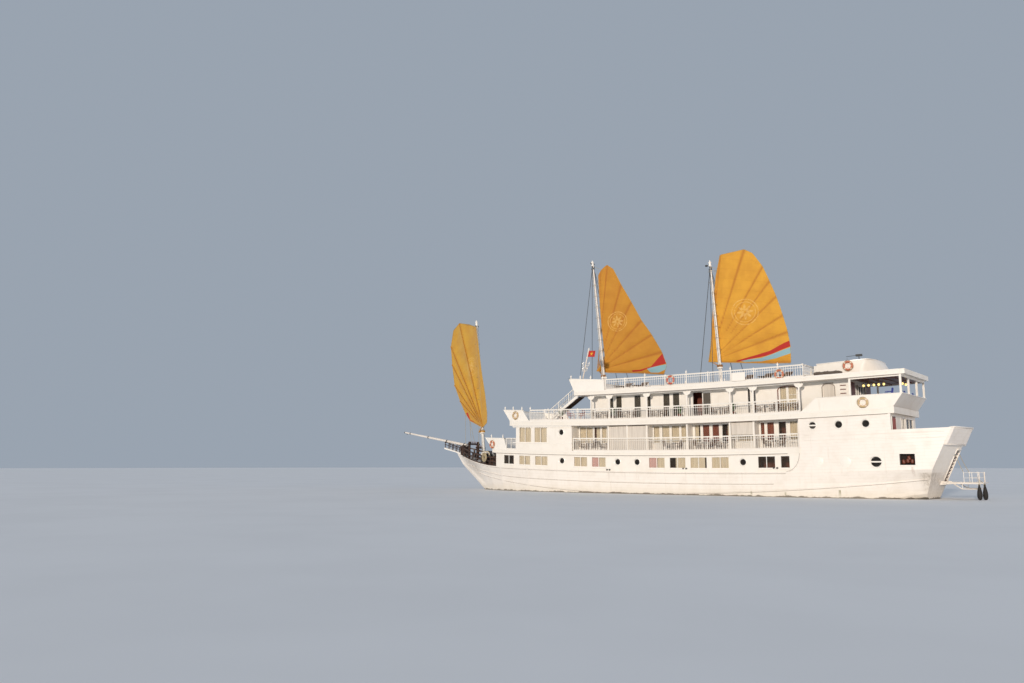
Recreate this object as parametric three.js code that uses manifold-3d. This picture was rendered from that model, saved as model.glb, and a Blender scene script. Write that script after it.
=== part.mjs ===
// Chinese junk cruise ship with four decks and three fan sails, as a 1:2 scale model.
// Lengths in this file are metres of the real ship, and the last group scales them to the
// model's millimetres. +X is the bow, +Y is port, +Z is up. The origin is on the centreline,
// amidships, at the waterline.
import * as THREE from 'three';
import { mergeVertices } from 'three/addons/utils/BufferGeometryUtils.js';
import { ConvexGeometry } from 'three/addons/geometries/ConvexGeometry.js';
import Module from 'manifold-3d';

const wasm = await Module();
wasm.setup();

// Driving dimensions
const MODEL_SCALE = 500;      // model millimetres per real metre, which is 1:2
const GAP = 0.0006;           // between pieces that touch
const BAY = 3.7;              // spacing of the deck pillars
const QUARTER_X = -12.65;     // forward edge of the raised quarter
const AFT_WALL_X = -19.05;    // cabin wall that closes the quarter
const SLAB_OVERHANG = 0.06;   // deck edge beyond the walls
const WALL = 0.12;            // wall thickness
const QUARTER_WALL = 0.16;
const HOUSE_Y = 2.82;         // outer face of the recessed house walls
const RAIL_INSET = 0.12;
const RAIL_THICKNESS = 0.05;
const RAIL_BAR = 0.06;
const POOP_TOP = 5.05;
const SAIL_NEAR = 0.22;       // sail cloth faces, measured from the mast axis
const SAIL_FAR = 0.36;
const BATTEN = { near: SAIL_FAR + GAP, far: SAIL_FAR + 0.075, root: 0.05, tip: 0.025 };
const DOOR_PLAY = 0.012;      // clearance round a door leaf
const MAST_SIDES = 12;
const MAST_TAPER = 0.4;       // share of its foot radius that a mast loses by its head

// Knots of the sheer: between them every deck edge is straight
const BOW_STEP = BAY / 2;
const KNOTS = [];
for (let x = QUARTER_X - 4 * BAY; x < 17; x += BAY) {
  KNOTS.push(x);
}
for (let x = KNOTS[KNOTS.length - 1] + BOW_STEP; x < 28; x += BOW_STEP) {
  KNOTS.push(x);
}

// Straight-line reading of a table of [x, value] rows
function reading(rows) {
  return (x) => {
    if (x <= rows[0][0]) {
      return rows[0][1];
    }
    for (let i = 1; i < rows.length; i += 1) {
      const [x0, v0] = rows[i - 1];
      const [x1, v1] = rows[i];
      if (x <= x1) {
        return v0 + ((x - x0) / (x1 - x0)) * (v1 - v0);
      }
    }
    return rows[rows.length - 1][1];
  };
}
const knotted = (formula) => reading(KNOTS.map((x) => [x, formula(x)]));

// Heights of the deck faces along the ship, each following the sheer
const sheer = (x) => 0.001 * (x + 3) ** 2;
const sunSheer = (x) => 0.0008 * (x + 1) ** 2;
const bowLift = (x) => 0.0165 * Math.max(0, x - 17) ** 2;
const gunwale = knotted((x) => 1.86 + 0.0009 * (x + 5) ** 2 + bowLift(x));
const deck2Under = knotted((x) => 3.22 + sheer(x));
const deck2Top = knotted((x) => 3.57 + sheer(x));
const deck3Under = knotted((x) => 5.83 + sheer(x));
const deck3Top = knotted((x) => 6.31 + sheer(x));
const sunUnder = knotted((x) => 8.6 + sunSheer(x));
const sunTop = knotted((x) => 8.96 + sunSheer(x));
const raised = (line, height) => (x) => line(x) + height;

// Half breadth of the deck edge: x, half breadth
const SIDE = [
  [-24.5, 3.15], [-20.05, 3.65], [-16.35, 3.92], [-12.65, 4.0], [9.55, 4.0], [11.4, 3.93],
  [13.25, 3.76], [15.1, 3.53], [16.95, 3.22], [18.8, 2.75], [20.65, 2.1], [22.5, 1.35],
  [24.35, 0.5], [25.13, 0.12],
];
const breadth = reading(SIDE);

// Raked transom, shallow V in plan
const TRANSOM = { x: -21.15, rake: 0.457, vee: 0.167, thickness: 0.2 };

// Materials
const paint = (color, roughness, metalness = 0) =>
  new THREE.MeshStandardMaterial({ color, roughness, metalness });
const WHITE = paint('#efebe2', 0.45);
const HULL_WHITE = paint('#ece8df', 0.5);
const TIMBER = paint('#4a3226', 0.7);
const CLOTH = paint('#d49a34', 0.85);
const STEEL = paint('#d8d6d0', 0.4, 0.6);
const BRONZE = paint('#a8803f', 0.35, 0.9);
const RUBBER = paint('#1d1c1c', 0.9);
const RED = paint('#b0281e', 0.7);
const DOOR = paint('#a5473a', 0.6);

// Solid helpers
function toSolid(geometry) {
  const bare = geometry.clone();
  bare.deleteAttribute('normal');
  bare.deleteAttribute('uv');
  const merged = mergeVertices(bare, 1e-6);
  return new wasm.Manifold(new wasm.Mesh({
    numProp: 3,
    vertProperties: new Float32Array(merged.attributes.position.array),
    triVerts: new Uint32Array(merged.index.array),
  }));
}

function toGeometry(solid) {
  const mesh = solid.getMesh();
  const geometry = new THREE.BufferGeometry();
  geometry.setAttribute('position', new THREE.BufferAttribute(new Float32Array(mesh.vertProperties), 3));
  geometry.setIndex(new THREE.BufferAttribute(new Uint32Array(mesh.triVerts), 1));
  return geometry;
}

const join = (...solids) => solids.reduce((sum, solid) => sum.add(solid));
const cut = (solid, ...tools) => tools.reduce((rest, tool) => rest.subtract(tool), solid);

const axis = (x, y, z) => new THREE.Vector3(x, y, z);
const SIDE_VIEW = [axis(1, 0, 0), axis(0, 0, 1), axis(0, -1, 0)];
const PLAN_VIEW = [axis(1, 0, 0), axis(0, 1, 0), axis(0, 0, 1)];

// A prism of an outline of [across, up] points, through its plane from near to far
function prism(points, view, near, far) {
  const shape = new THREE.Shape(points.map(([u, v]) => new THREE.Vector2(u, v)));
  const geometry = new THREE.ExtrudeGeometry(shape, { depth: far - near, bevelEnabled: false });
  geometry.translate(0, 0, near);
  geometry.applyMatrix4(new THREE.Matrix4().makeBasis(...view));
  return toSolid(geometry);
}
const sidePrism = (points, halfWidth = 7) => prism(points, SIDE_VIEW, -halfWidth, halfWidth);
const planPrism = (points, z0 = -5, z1 = 30) => prism(points, PLAN_VIEW, z0, z1);

function box(x0, x1, y0, y1, z0, z1) {
  const geometry = new THREE.BoxGeometry(Math.abs(x1 - x0), Math.abs(y1 - y0), Math.abs(z1 - z0));
  geometry.translate((x0 + x1) / 2, (y0 + y1) / 2, (z0 + z1) / 2);
  return toSolid(geometry);
}

// A round bar from one point to another
function bar(from, to, radius, sides = 6, endRadius = radius) {
  const a = axis(...from);
  const b = axis(...to);
  const geometry = new THREE.CylinderGeometry(endRadius, radius, a.distanceTo(b), sides);
  const turn = new THREE.Quaternion().setFromUnitVectors(axis(0, 1, 0), b.clone().sub(a).normalize());
  geometry.applyQuaternion(turn);
  geometry.translate(...a.add(b).multiplyScalar(0.5).toArray());
  return toSolid(geometry);
}

// A body turned about the Z axis from [radius, height] points
function turned(points, sides) {
  const geometry = new THREE.LatheGeometry(points.map(([r, h]) => new THREE.Vector2(r, h)), sides);
  geometry.rotateX(Math.PI / 2);
  return geometry;
}

const stationsWithin = (x0, x1) => [x0, ...KNOTS.filter((x) => x > x0 && x < x1), x1];

// The space between two sheer lines from x0 to x1, right across the ship
function between(lower, upper, x0, x1, halfWidth = 7) {
  const xs = stationsWithin(x0, x1);
  const bottom = xs.map((x) => [x, lower(x)]);
  const top = xs.map((x) => [x, upper(x)]).reverse();
  return sidePrism([...bottom, ...top], halfWidth);
}

// The plan outline of the decks, moved inboard by inset
function plan(inset, x0 = -30, x1 = 25.1) {
  const xs = [x0, ...SIDE.map(([x]) => x).filter((x) => x > x0 && x < x1), x1];
  const port = xs.map((x) => [x, Math.max(0.01, breadth(x) - inset)]);
  const starboard = port.map(([x, y]) => [x, -y]).reverse();
  return planPrism([...port, ...starboard]);
}

const skin = (inset, thickness) => cut(plan(inset), plan(inset + thickness));
const half = (s) => box(-40, 40, 0, 9 * s, -6, 30);

// Everything abaft the transom face, moved forward by advance
function sternSpace(advance) {
  const sides = [1, -1].map((s) => {
    const corners = [];
    for (const y of [0, 7]) {
      for (const z of [-4, 9]) {
        const face = TRANSOM.x - TRANSOM.rake * z + TRANSOM.vee * y + advance;
        corners.push(axis(face, s * y, z), axis(-40, s * y, z));
      }
    }
    return toSolid(new ConvexGeometry(corners));
  });
  return join(...sides);
}

// The assembly
const ship = new THREE.Group();
ship.scale.setScalar(MODEL_SCALE);

function add(name, solid, material, parent = ship) {
  const mesh = new THREE.Mesh(toGeometry(solid), material);
  mesh.name = name;
  parent.add(mesh);
  return mesh;
}
const SIDES = [['port', 1], ['starboard', -1]];

// Hull, a closed loft: x, keel height, half breadth at the waterline, fullness of the bilge
const HULL = [
  [-24, 0.1, 2.2, 1.9], [-20.05, -0.3, 2.75, 2.1], [-18.2, -0.75, 3.15, 2.3], [-16.35, -1.2, 3.45, 2.5],
  [-12.65, -1.75, 3.85, 2.8], [-8.95, -1.95, 3.98, 3], [-1.55, -2, 4, 3.1], [5.85, -2, 4, 3],
  [9.55, -2, 3.92, 2.8], [13.25, -1.95, 3.5, 2.5], [16.95, -1.8, 2.55, 2.2], [18.8, -1.45, 1.75, 2.1],
  [20, -0.95, 1.12, 2], [21.16, -0.13, 0.62, 2], [22.5, 1.0, 0.45, 2], [23.7, 1.95, 0.3, 2],
  [24.35, 2.5, 0.2, 2], [25.13, 3.55, 0.08, 2],
];
const BILGE_STEPS = 6;
const HULL_FLARE = 0.42;
const HULL_TRIM = 0.1;        // the loft stands this much too high before its deck is cut
const STRAKE = 0.05;

// One side of a hull section, from keel to deck edge
function hullSection([x, keel, waterline, fullness]) {
  const top = gunwale(x) + HULL_TRIM;
  const turnTop = Math.max(0.15, keel + 0.35 * (top - keel));
  const edge = breadth(x) + STRAKE;
  const points = [];
  for (let i = 0; i <= BILGE_STEPS; i += 1) {
    const angle = (i / BILGE_STEPS) * (Math.PI / 2);
    const out = waterline * Math.sin(angle) ** (2 / fullness);
    const depth = (turnTop - keel) * Math.cos(angle) ** (2 / fullness);
    points.push([x, out, turnTop - depth]);
  }
  const flare = waterline + HULL_FLARE * (edge - waterline);
  points.push([x, flare, (turnTop + top) / 2], [x, edge, top]);
  return points;
}

function hullLoft() {
  const rings = HULL.map((row) => {
    const port = hullSection(row);
    const starboard = port.slice(1).reverse().map(([x, y, z]) => [x, -y, z]);
    return [...port, ...starboard];
  });
  const count = rings[0].length;
  const positions = rings.flat(2);
  const faces = [];
  for (let i = 0; i + 1 < rings.length; i += 1) {
    for (let j = 0; j < count; j += 1) {
      const a = i * count + j;
      const b = i * count + ((j + 1) % count);
      faces.push(a, b, a + count, b, b + count, a + count);
    }
  }
  const last = (rings.length - 1) * count;
  for (let j = 1; j + 1 < count; j += 1) {
    faces.push(0, j + 1, j, last, last + j, last + j + 1);
  }
  const geometry = new THREE.BufferGeometry();
  geometry.setAttribute('position', new THREE.Float32BufferAttribute(positions, 3));
  geometry.setIndex(faces);
  return toSolid(geometry).intersect(between(() => -3, gunwale, -25, 25.5));
}

// Bar keel with the skeg aft: side outline
const KEEL = [[-17.2, -0.95], [-11, -2.12], [14.5, -2.12], [17.5, -1.5], [0, -1.5], [-17.2, -0.6]];
const KEEL_HALF_WIDTH = 0.12;

// Running gear under the hull
const SHAFT = { y: 1.65, z: -1.32, from: -12, to: -17.95, radius: 0.13 };
const RUDDER = { x: -19.4, y: 1.65, head: -0.72, bossRadius: 0.16 };
const DOOR_SLOT = { halfWidth: 0.6, floor: 1.2, head: 3.45, inner: -19.8 };
const PLATFORM = { hingeX: -21.78, hingeZ: 1.15, beamY: 1.1, lug: 0.09 };

function hull() {
  let body = hullLoft();
  for (const s of [1, -1]) {
    const { x, y, head, bossRadius } = RUDDER;
    const shaft = bar([SHAFT.from, s * SHAFT.y, SHAFT.z], [SHAFT.to, s * SHAFT.y, SHAFT.z], SHAFT.radius, 10);
    const [strutIn, strutOut] = [s * (SHAFT.y - 0.05), s * (SHAFT.y + 0.05)];
    const strut = box(SHAFT.to + 0.05, SHAFT.to + 0.35, strutIn, strutOut, SHAFT.z, 0);
    const boss = bar([x, s * y, head], [x, s * y, 0.4], bossRadius, 10);
    body = join(body, shaft, strut, boss);
  }
  const keel = sidePrism(KEEL, KEEL_HALF_WIDTH);
  const slot = box(-24, DOOR_SLOT.inner, -DOOR_SLOT.halfWidth, DOOR_SLOT.halfWidth, DOOR_SLOT.floor, 4);
  body = cut(join(body, keel), sternSpace(0), slot);
  for (const s of [1, -1]) {
    const inner = PLATFORM.beamY - PLATFORM.lug;
    const lug = sidePrism([
      [-21, PLATFORM.hingeZ - 0.2], [PLATFORM.hingeX - 0.1, PLATFORM.hingeZ - 0.1],
      [PLATFORM.hingeX - 0.1, PLATFORM.hingeZ + 0.1], [-21, PLATFORM.hingeZ + 0.2],
    ], 2).intersect(box(-23, -20, s * (inner - 0.1), s * (inner - GAP), 0, 3));
    body = body.add(lug);
  }
  return body;
}
add('hull', hull(), HULL_WHITE);

// Raised quarter, its forward edge a quarter round
const QUARTER_ROUND = { x: -11.45, width: 1.1, height: 1.5 };
function quarterRegion(forward = 0) {
  const { x, width, height } = QUARTER_ROUND;
  const floor = gunwale(x);
  const round = [];
  for (let i = 0; i <= 5; i += 1) {
    const angle = (i / 5) * (Math.PI / 2);
    round.push([x + forward - width * Math.sin(angle), floor + height * (1 - Math.cos(angle))]);
  }
  const xs = stationsWithin(-24.5, x + forward - 0.01);
  const keelLine = xs.map((station) => [station, gunwale(station) + GAP]);
  const headLine = stationsWithin(AFT_WALL_X, QUARTER_X + 0.1 + forward)
    .map((station) => [station, deck3Under(station) - GAP])
    .reverse();
  return sidePrism([
    ...keelLine, ...round, ...headLine, [AFT_WALL_X, 4.92], [-24.5, POOP_TOP],
  ]);
}
const sternFace = sternSpace(0);
const quarterSkin = skin(0, QUARTER_WALL);
const portholeHole = (x, z, radius, s) => bar([x, s * 2.9, z], [x, s * 4.5, z], radius, 12);

// Quarter openings: x, z, radius
const QUARTER_PORTS = [[-17.92, 2.65, 0.4], [-13.56, 5.36, 0.29], [-15.47, 5.38, 0.29], [-17.36, 5.4, 0.29]];
for (const [side, s] of SIDES) {
  let wall = quarterRegion().intersect(quarterSkin).intersect(half(s)).subtract(sternFace);
  for (const [x, z, radius] of QUARTER_PORTS) {
    wall = wall.subtract(portholeHole(x, z, radius, s));
  }
  wall = wall.subtract(box(-20.5, -19.5, s * 2.9, s * 4.5, 2.42, 3.2));
  add(`quarter_${side}`, wall, HULL_WHITE);
}

// Transom plate between the quarters, with the stern door
function transom() {
  const inside = plan(QUARTER_WALL + GAP);
  const plate = cut(sternSpace(TRANSOM.thickness), sternFace).intersect(inside);
  const band = between(raised(gunwale, GAP), () => POOP_TOP, -27, -19);
  const door = box(-26, -18, -DOOR_SLOT.halfWidth, DOOR_SLOT.halfWidth, 0, DOOR_SLOT.head);
  return plate.intersect(band).subtract(door);
}
add('transom', transom(), HULL_WHITE);

// Deck 1 windows: x from, x to
const DECK1_WINDOWS = [
  [14.95, 16.35], [12.85, 14.27], [10.75, 12.27], [6.43, 7.84], [4.52, 5.96], [-1.21, 0.29], [-3.1, -1.65],
  [-4.98, -3.52], [-6.86, -5.39], [-10.62, -9.24], [-11.75, -11.04],
];
const DECK1_PORTHOLES = [9.16, 3.34, 1.44, -8.01];
const LOWER_FRONT_X = 17.5;
const deck1Sill = raised(gunwale, 0.3);
const deck1Head = raised(deck2Under, -0.17);

function lowerWalls(s) {
  const region = between(raised(gunwale, GAP), raised(deck2Under, -GAP), QUARTER_X, LOWER_FRONT_X);
  let wall = region.intersect(skin(0, WALL)).intersect(half(s)).subtract(quarterRegion(GAP));
  for (const [x0, x1] of DECK1_WINDOWS) {
    wall = wall.subtract(between(deck1Sill, deck1Head, x0, x1).intersect(half(s)));
  }
  for (const x of DECK1_PORTHOLES) {
    wall = wall.subtract(portholeHole(x, gunwale(x) + 0.78, 0.28, s));
  }
  return wall;
}
for (const [side, s] of SIDES) {
  add(`lower_wall_${side}`, lowerWalls(s), WHITE);
}
const lowerFront = between(
  raised(gunwale, GAP), raised(deck2Under, -GAP), LOWER_FRONT_X - WALL, LOWER_FRONT_X,
);
add('lower_front', lowerFront.intersect(plan(WALL + GAP)), WHITE);

// Deck slabs
const DECK2_FRONT = 18.05;
const DECK3_AFT = -19.35;
const DECK3_FRONT = 15.5;
const SUN_AFT = -20.2;
const SUN_FRONT = 7.75;
function deck2Slab() {
  const slab = between(deck2Under, deck2Top, -24, DECK2_FRONT);
  const wide = slab.intersect(plan(-SLAB_OVERHANG)).subtract(quarterRegion(GAP));
  const inner = slab.intersect(plan(QUARTER_WALL + GAP)).subtract(sternSpace(TRANSOM.thickness + GAP));
  return join(wide.intersect(box(-12.7, 20, -6, 6, 0, 8)), inner);
}
add('deck_2', deck2Slab(), WHITE);
const edgeLine = plan(-SLAB_OVERHANG);
add('deck_3', between(deck3Under, deck3Top, DECK3_AFT, DECK3_FRONT).intersect(edgeLine), WHITE);
add('sun_deck', between(sunUnder, sunTop, SUN_AFT, SUN_FRONT).intersect(edgeLine), WHITE);

// Deck 2 house: a flush cabin forward, then a recessed wall with balcony partitions
const FLUSH_AFT = 8.05;
const FLUSH_FRONT = 14.7;
const FIN_OUT = 3.8;
const FINS = [4.35, 2.45, 0.55, -3.2, -6.94, -8.92];
const FIN_THICKNESS = 0.14;
const deck2Sill = raised(deck2Top, 0.72);
const deck2Head = raised(deck3Under, -0.1);
// Deck 2 glazing: x from, x to
const FLUSH_WINDOWS = [[12.73, 14.25], [10.83, 12.33]];
const DECK2_WINDOWS = [
  [6.53, 7.95], [5.76, 6.4], [4.6, 5.6], [-0.18, 0.4], [-1.12, -0.4], [-2.03, -1.3], [-2.9, -2.2],
  [-3.96, -3.45], [-4.77, -4.15], [-5.61, -5.0], [-6.5, -5.85], [-8.6, -7.2],
  [-9.44, -9.1], [-10.21, -9.62], [-11.17, -10.55], [-12.06, -11.45],
];
function deck2House(s) {
  const storey = between(raised(deck2Top, GAP), raised(deck3Under, -GAP), -14, FLUSH_FRONT);
  const flush = storey.intersect(skin(0, WALL)).intersect(box(FLUSH_AFT, 20, 0, 6 * s, 0, 10));
  const shoulder = storey.intersect(box(FLUSH_AFT, FLUSH_AFT + WALL, s * (HOUSE_Y - WALL), s * 3.95, 0, 10));
  const inner = s * (HOUSE_Y - WALL);
  const recessed = storey.intersect(box(AFT_WALL_X, FLUSH_AFT + 0.05, inner, s * HOUSE_Y, 0, 10));
  const aft = storey.intersect(box(QUARTER_X - 0.2, QUARTER_X - 0.08, s * (HOUSE_Y - 0.02), s * 3.8, 0, 10));
  let house = join(flush, shoulder, recessed, aft);
  for (const x of FINS) {
    const fin = box(x - FIN_THICKNESS / 2, x + FIN_THICKNESS / 2, s * (HOUSE_Y - 0.02), s * FIN_OUT, 0, 10);
    house = house.add(storey.intersect(fin));
  }
  const flushWall = box(9, 16, s * 3, s * 5, 0, 10);
  for (const [x0, x1] of FLUSH_WINDOWS) {
    house = house.subtract(between(deck2Sill, deck2Head, x0, x1).intersect(flushWall));
  }
  const recessedWall = box(-13, 8, s * 2.5, s * 2.9, 0, 10);
  for (const [x0, x1] of DECK2_WINDOWS) {
    house = house.subtract(between(deck2Sill, deck2Head, x0, x1).intersect(recessedWall));
  }
  return house.subtract(portholeHole(9.22, 5.39, 0.28, s));
}
for (const [side, s] of SIDES) {
  add(`deck2_house_${side}`, deck2House(s), WHITE);
}

// Deck 2 front wall: windows y from, y to
const FRONT_WINDOWS = [[-2.9, -1.9], [-1.4, -0.6], [0.6, 1.4], [1.9, 2.9]];
function frontWall(x, lower, upper, halfWidth, sill, head, doorHalf) {
  let wall = between(raised(lower, GAP), raised(upper, -GAP), x - WALL, x, halfWidth);
  for (const [y0, y1] of FRONT_WINDOWS) {
    if (Math.max(Math.abs(y0), Math.abs(y1)) < halfWidth - 0.1) {
      wall = wall.subtract(box(x - 1, x + 1, y0, y1, lower(x) + sill, upper(x) - head));
    }
  }
  return wall.subtract(box(x - 1, x + 1, -doorHalf, doorHalf, lower(x) + 0.15, upper(x) - 0.35));
}
const flushInner = breadth(FLUSH_FRONT) - WALL - 0.01;
add('deck2_front', frontWall(FLUSH_FRONT, deck2Top, deck3Under, flushInner, 0.9, 0.3, 0.4), WHITE);

// Aft wall under the gallery, with the door to the poop deck: opening y from, y to
const AFT_DOOR = { y0: 2.25, y1: 3.3, height: 1.95, sill: 0.1, thickness: 0.06 };
const AFT_OPENINGS = [[-0.35, 0.65], [-2.9, -0.75]];
const aftDoorFoot = deck2Top(AFT_WALL_X) + AFT_DOOR.sill;
function aftWall() {
  const x = AFT_WALL_X;
  const inside = plan(QUARTER_WALL + GAP);
  let wall = between(raised(deck2Top, GAP), raised(deck3Under, -GAP), x, x + WALL).intersect(inside);
  for (const [y0, y1] of AFT_OPENINGS) {
    wall = wall.subtract(box(x - 1, x + 1, y0, y1, aftDoorFoot + 0.6, aftDoorFoot + AFT_DOOR.height));
  }
  const opening = box(
    x - 1, x + 1, AFT_DOOR.y0 - DOOR_PLAY, AFT_DOOR.y1 + DOOR_PLAY,
    aftDoorFoot - GAP, aftDoorFoot + AFT_DOOR.height + DOOR_PLAY,
  );
  return wall.subtract(opening);
}
add('aft_deck_wall', aftWall(), WHITE);
add('aft_deck_door', box(
  AFT_WALL_X, AFT_WALL_X + AFT_DOOR.thickness, AFT_DOOR.y0, AFT_DOOR.y1,
  aftDoorFoot, aftDoorFoot + AFT_DOOR.height,
), DOOR);

// Deck 3 house: x from, x to of each French window, and the saloon's sliding door
const DECK3_FRONT_WALL = 6.66;
const DECK3_AFT_WALL = -16.1;
const DECK3_WINDOWS = [
  [4.36, 4.83], [3.48, 4.07], [1.58, 2.23], [0.6, 0.95], [-1.21, -0.59], [-2.12, -1.5], [-8.36, -8.14],
  [-8.77, -8.6], [-11.31, -10.78], [-12.1, -11.45], [-14.93, -14.15],
];
const SLIDE = { x0: -5.05, x1: -3.35, leaf: 0.82, sill: 0.16, head: 2.12, thickness: 0.05 };
const slideFoot = deck3Top(SLIDE.x0) + SLIDE.sill;
const slideHead = deck3Top(SLIDE.x0) + SLIDE.head;
function deck3House(s) {
  const storey = between(raised(deck3Top, GAP), raised(sunUnder, -GAP), DECK3_AFT_WALL, DECK3_FRONT_WALL);
  let wall = storey.intersect(box(-20, 10, s * (HOUSE_Y - WALL), s * HOUSE_Y, 0, 12));
  for (const [x0, x1] of DECK3_WINDOWS) {
    const opening = between(raised(deck3Top, 0.2), raised(sunUnder, -0.12), x0, x1);
    wall = wall.subtract(opening.intersect(box(-20, 10, 0, 6 * s, 0, 12)));
  }
  wall = wall.subtract(box(SLIDE.x0, SLIDE.x1, s * 2.5, s * 3, slideFoot, slideHead));
  const trackFace = HOUSE_Y + DOOR_PLAY + SLIDE.thickness;
  const track = box(
    SLIDE.x0 - 0.1, SLIDE.x1 + 0.1, s * (HOUSE_Y - 0.02), s * trackFace,
    slideHead + GAP, slideHead + 0.08,
  );
  return wall.add(track);
}
for (const [side, s] of SIDES) {
  add(`deck3_house_${side}`, deck3House(s), WHITE);
  const near = HOUSE_Y + DOOR_PLAY;
  add(`sliding_door_${side}`, box(
    SLIDE.x0, SLIDE.x0 + SLIDE.leaf, s * near, s * (near + SLIDE.thickness), slideFoot - 0.02, slideHead,
  ), STEEL);
}
const houseInner = HOUSE_Y - WALL - 0.01;
add('deck3_front', frontWall(DECK3_FRONT_WALL, deck3Top, sunUnder, houseInner, 0.7, 0.25, 0.45), WHITE);
const deck3AftFace = DECK3_AFT_WALL + WALL;
add('deck3_aft_wall', frontWall(deck3AftFace, deck3Top, sunUnder, houseInner, 0.7, 0.25, 0.6), WHITE);

// Pillars and head beam along the deck 3 walkway
const PILLARS = [6.1, 4.2, 0.5, -3.28, -7.03, -8.95, -12.6];
const PILLAR = 0.11;
const PILLAR_INSET = 0.2;
for (const [side, s] of SIDES) {
  const line = skin(PILLAR_INSET, PILLAR).intersect(half(s));
  const head = between(raised(sunUnder, -0.12), raised(sunUnder, -GAP), -12.7, 6.2);
  const walkway = between(raised(deck3Top, GAP), raised(sunUnder, -GAP), -12.7, 6.2);
  const posts = PILLARS.map((x) => walkway.intersect(box(x - PILLAR / 2, x + PILLAR / 2, 0, 6 * s, 0, 12)));
  add(`deck3_pillars_${side}`, join(head, ...posts).intersect(line), WHITE);
}

// Gallery bulwark round the stern of deck 3, its foot on the slab edge
const GALLERY = { front: -12.75, frontTop: -13.9, aft: -19.3, aftTop: -19.95, top: 7.5, thickness: 0.12 };
function galleryBlock(shrink) {
  const foot = stationsWithin(GALLERY.aft + shrink, GALLERY.front).map((x) => [x, deck3Top(x) + GAP]);
  const front = shrink > 0
    ? [[GALLERY.front + 1, deck3Top(GALLERY.front)], [GALLERY.front + 1, GALLERY.top + 0.1]]
    : [[GALLERY.frontTop, GALLERY.top - 0.12]];
  const outline = [...foot, ...front, [GALLERY.aftTop + shrink, GALLERY.top + (shrink > 0 ? 0.1 : 0)]];
  return sidePrism(outline);
}
const galleryPlan = plan(-0.02);
const galleryInner = plan(GALLERY.thickness);
add('gallery_bulwark', cut(
  galleryBlock(0).intersect(galleryPlan),
  galleryBlock(GALLERY.thickness).intersect(galleryInner),
), WHITE);

// Gallery frame: posts on the bulwark under a head beam
const GALLERY_POSTS = [-16.4, -19.85];
const GALLERY_AFT_POSTS = [-1.25, 1.25];
const POST = 0.14;
function galleryFrame() {
  const x0 = -19.92;
  const x1 = -16.33;
  const roofGap = raised(sunUnder, -GAP);
  const outer = plan(0.04).intersect(between(raised(sunUnder, -0.14), roofGap, x0, x1));
  const inner = plan(0.04 + POST).intersect(box(x0 + POST, x1 + 1, -6, 6, 0, 12));
  const storey = between(() => GALLERY.top + GAP, roofGap, x0, x1);
  const shell = storey.intersect(plan(0.04));
  const posts = [];
  for (const [, s] of SIDES) {
    for (const x of GALLERY_POSTS) {
      const y = breadth(x) - 0.04;
      posts.push(shell.intersect(box(x - POST / 2, x + POST / 2, s * (y - POST), s * (y + 1), 0, 12)));
    }
  }
  for (const y of GALLERY_AFT_POSTS) {
    posts.push(storey.intersect(box(x0, x0 + POST, y - POST / 2, y + POST / 2, 0, 12)));
  }
  return join(cut(outer, inner), ...posts);
}
add('gallery_frame', galleryFrame(), WHITE);

// Rails: a frame of posts between a bottom and a top bar
function railFrame(line, height, x0, x1, pitch, s, inset = RAIL_INSET) {
  const band = between(raised(line, GAP), raised(line, height), x0, x1);
  let rail = band.intersect(skin(inset, RAIL_THICKNESS)).intersect(half(s));
  const bays = Math.round((x1 - x0) / pitch);
  const step = (x1 - x0 - RAIL_BAR) / bays;
  for (let i = 0; i < bays; i += 1) {
    const from = x0 + i * step + RAIL_BAR;
    const to = x0 + (i + 1) * step;
    const opening = between(raised(line, 0.12), raised(line, height - RAIL_BAR), from, to);
    rail = rail.subtract(opening.intersect(half(s)));
  }
  return rail;
}
for (const [side, s] of SIDES) {
  add(`deck2_rail_${side}`, railFrame(deck2Top, 1.13, -12.45, 8.0, BAY / 2, s), WHITE);
  add(`deck3_rail_${side}`, railFrame(deck3Top, 1.0, -12.7, 13.0, BAY / 2, s), WHITE);
}
const SUN_RAIL = { aft: -13.05, front: 4.5, height: 0.94 };
function sunRails() {
  const { aft, front, height } = SUN_RAIL;
  const sides = SIDES.map(([, s]) => railFrame(sunTop, height, aft, front, BAY / 2, s));
  const reach = breadth(aft) - RAIL_INSET;
  const x1 = aft + RAIL_THICKNESS;
  let cross = between(raised(sunTop, GAP), raised(sunTop, height), aft, x1, reach);
  const bays = 4;
  const step = (2 * reach - RAIL_BAR) / bays;
  for (let i = 0; i < bays; i += 1) {
    const from = -reach + i * step + RAIL_BAR;
    const lower = sunTop(aft) + 0.12;
    const upper = sunTop(aft) + height - RAIL_BAR;
    cross = cross.subtract(box(aft - 1, x1 + 1, from, from + step - RAIL_BAR, lower, upper));
  }
  return join(...sides, cross);
}
add('sun_rails', sunRails(), WHITE);

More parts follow.
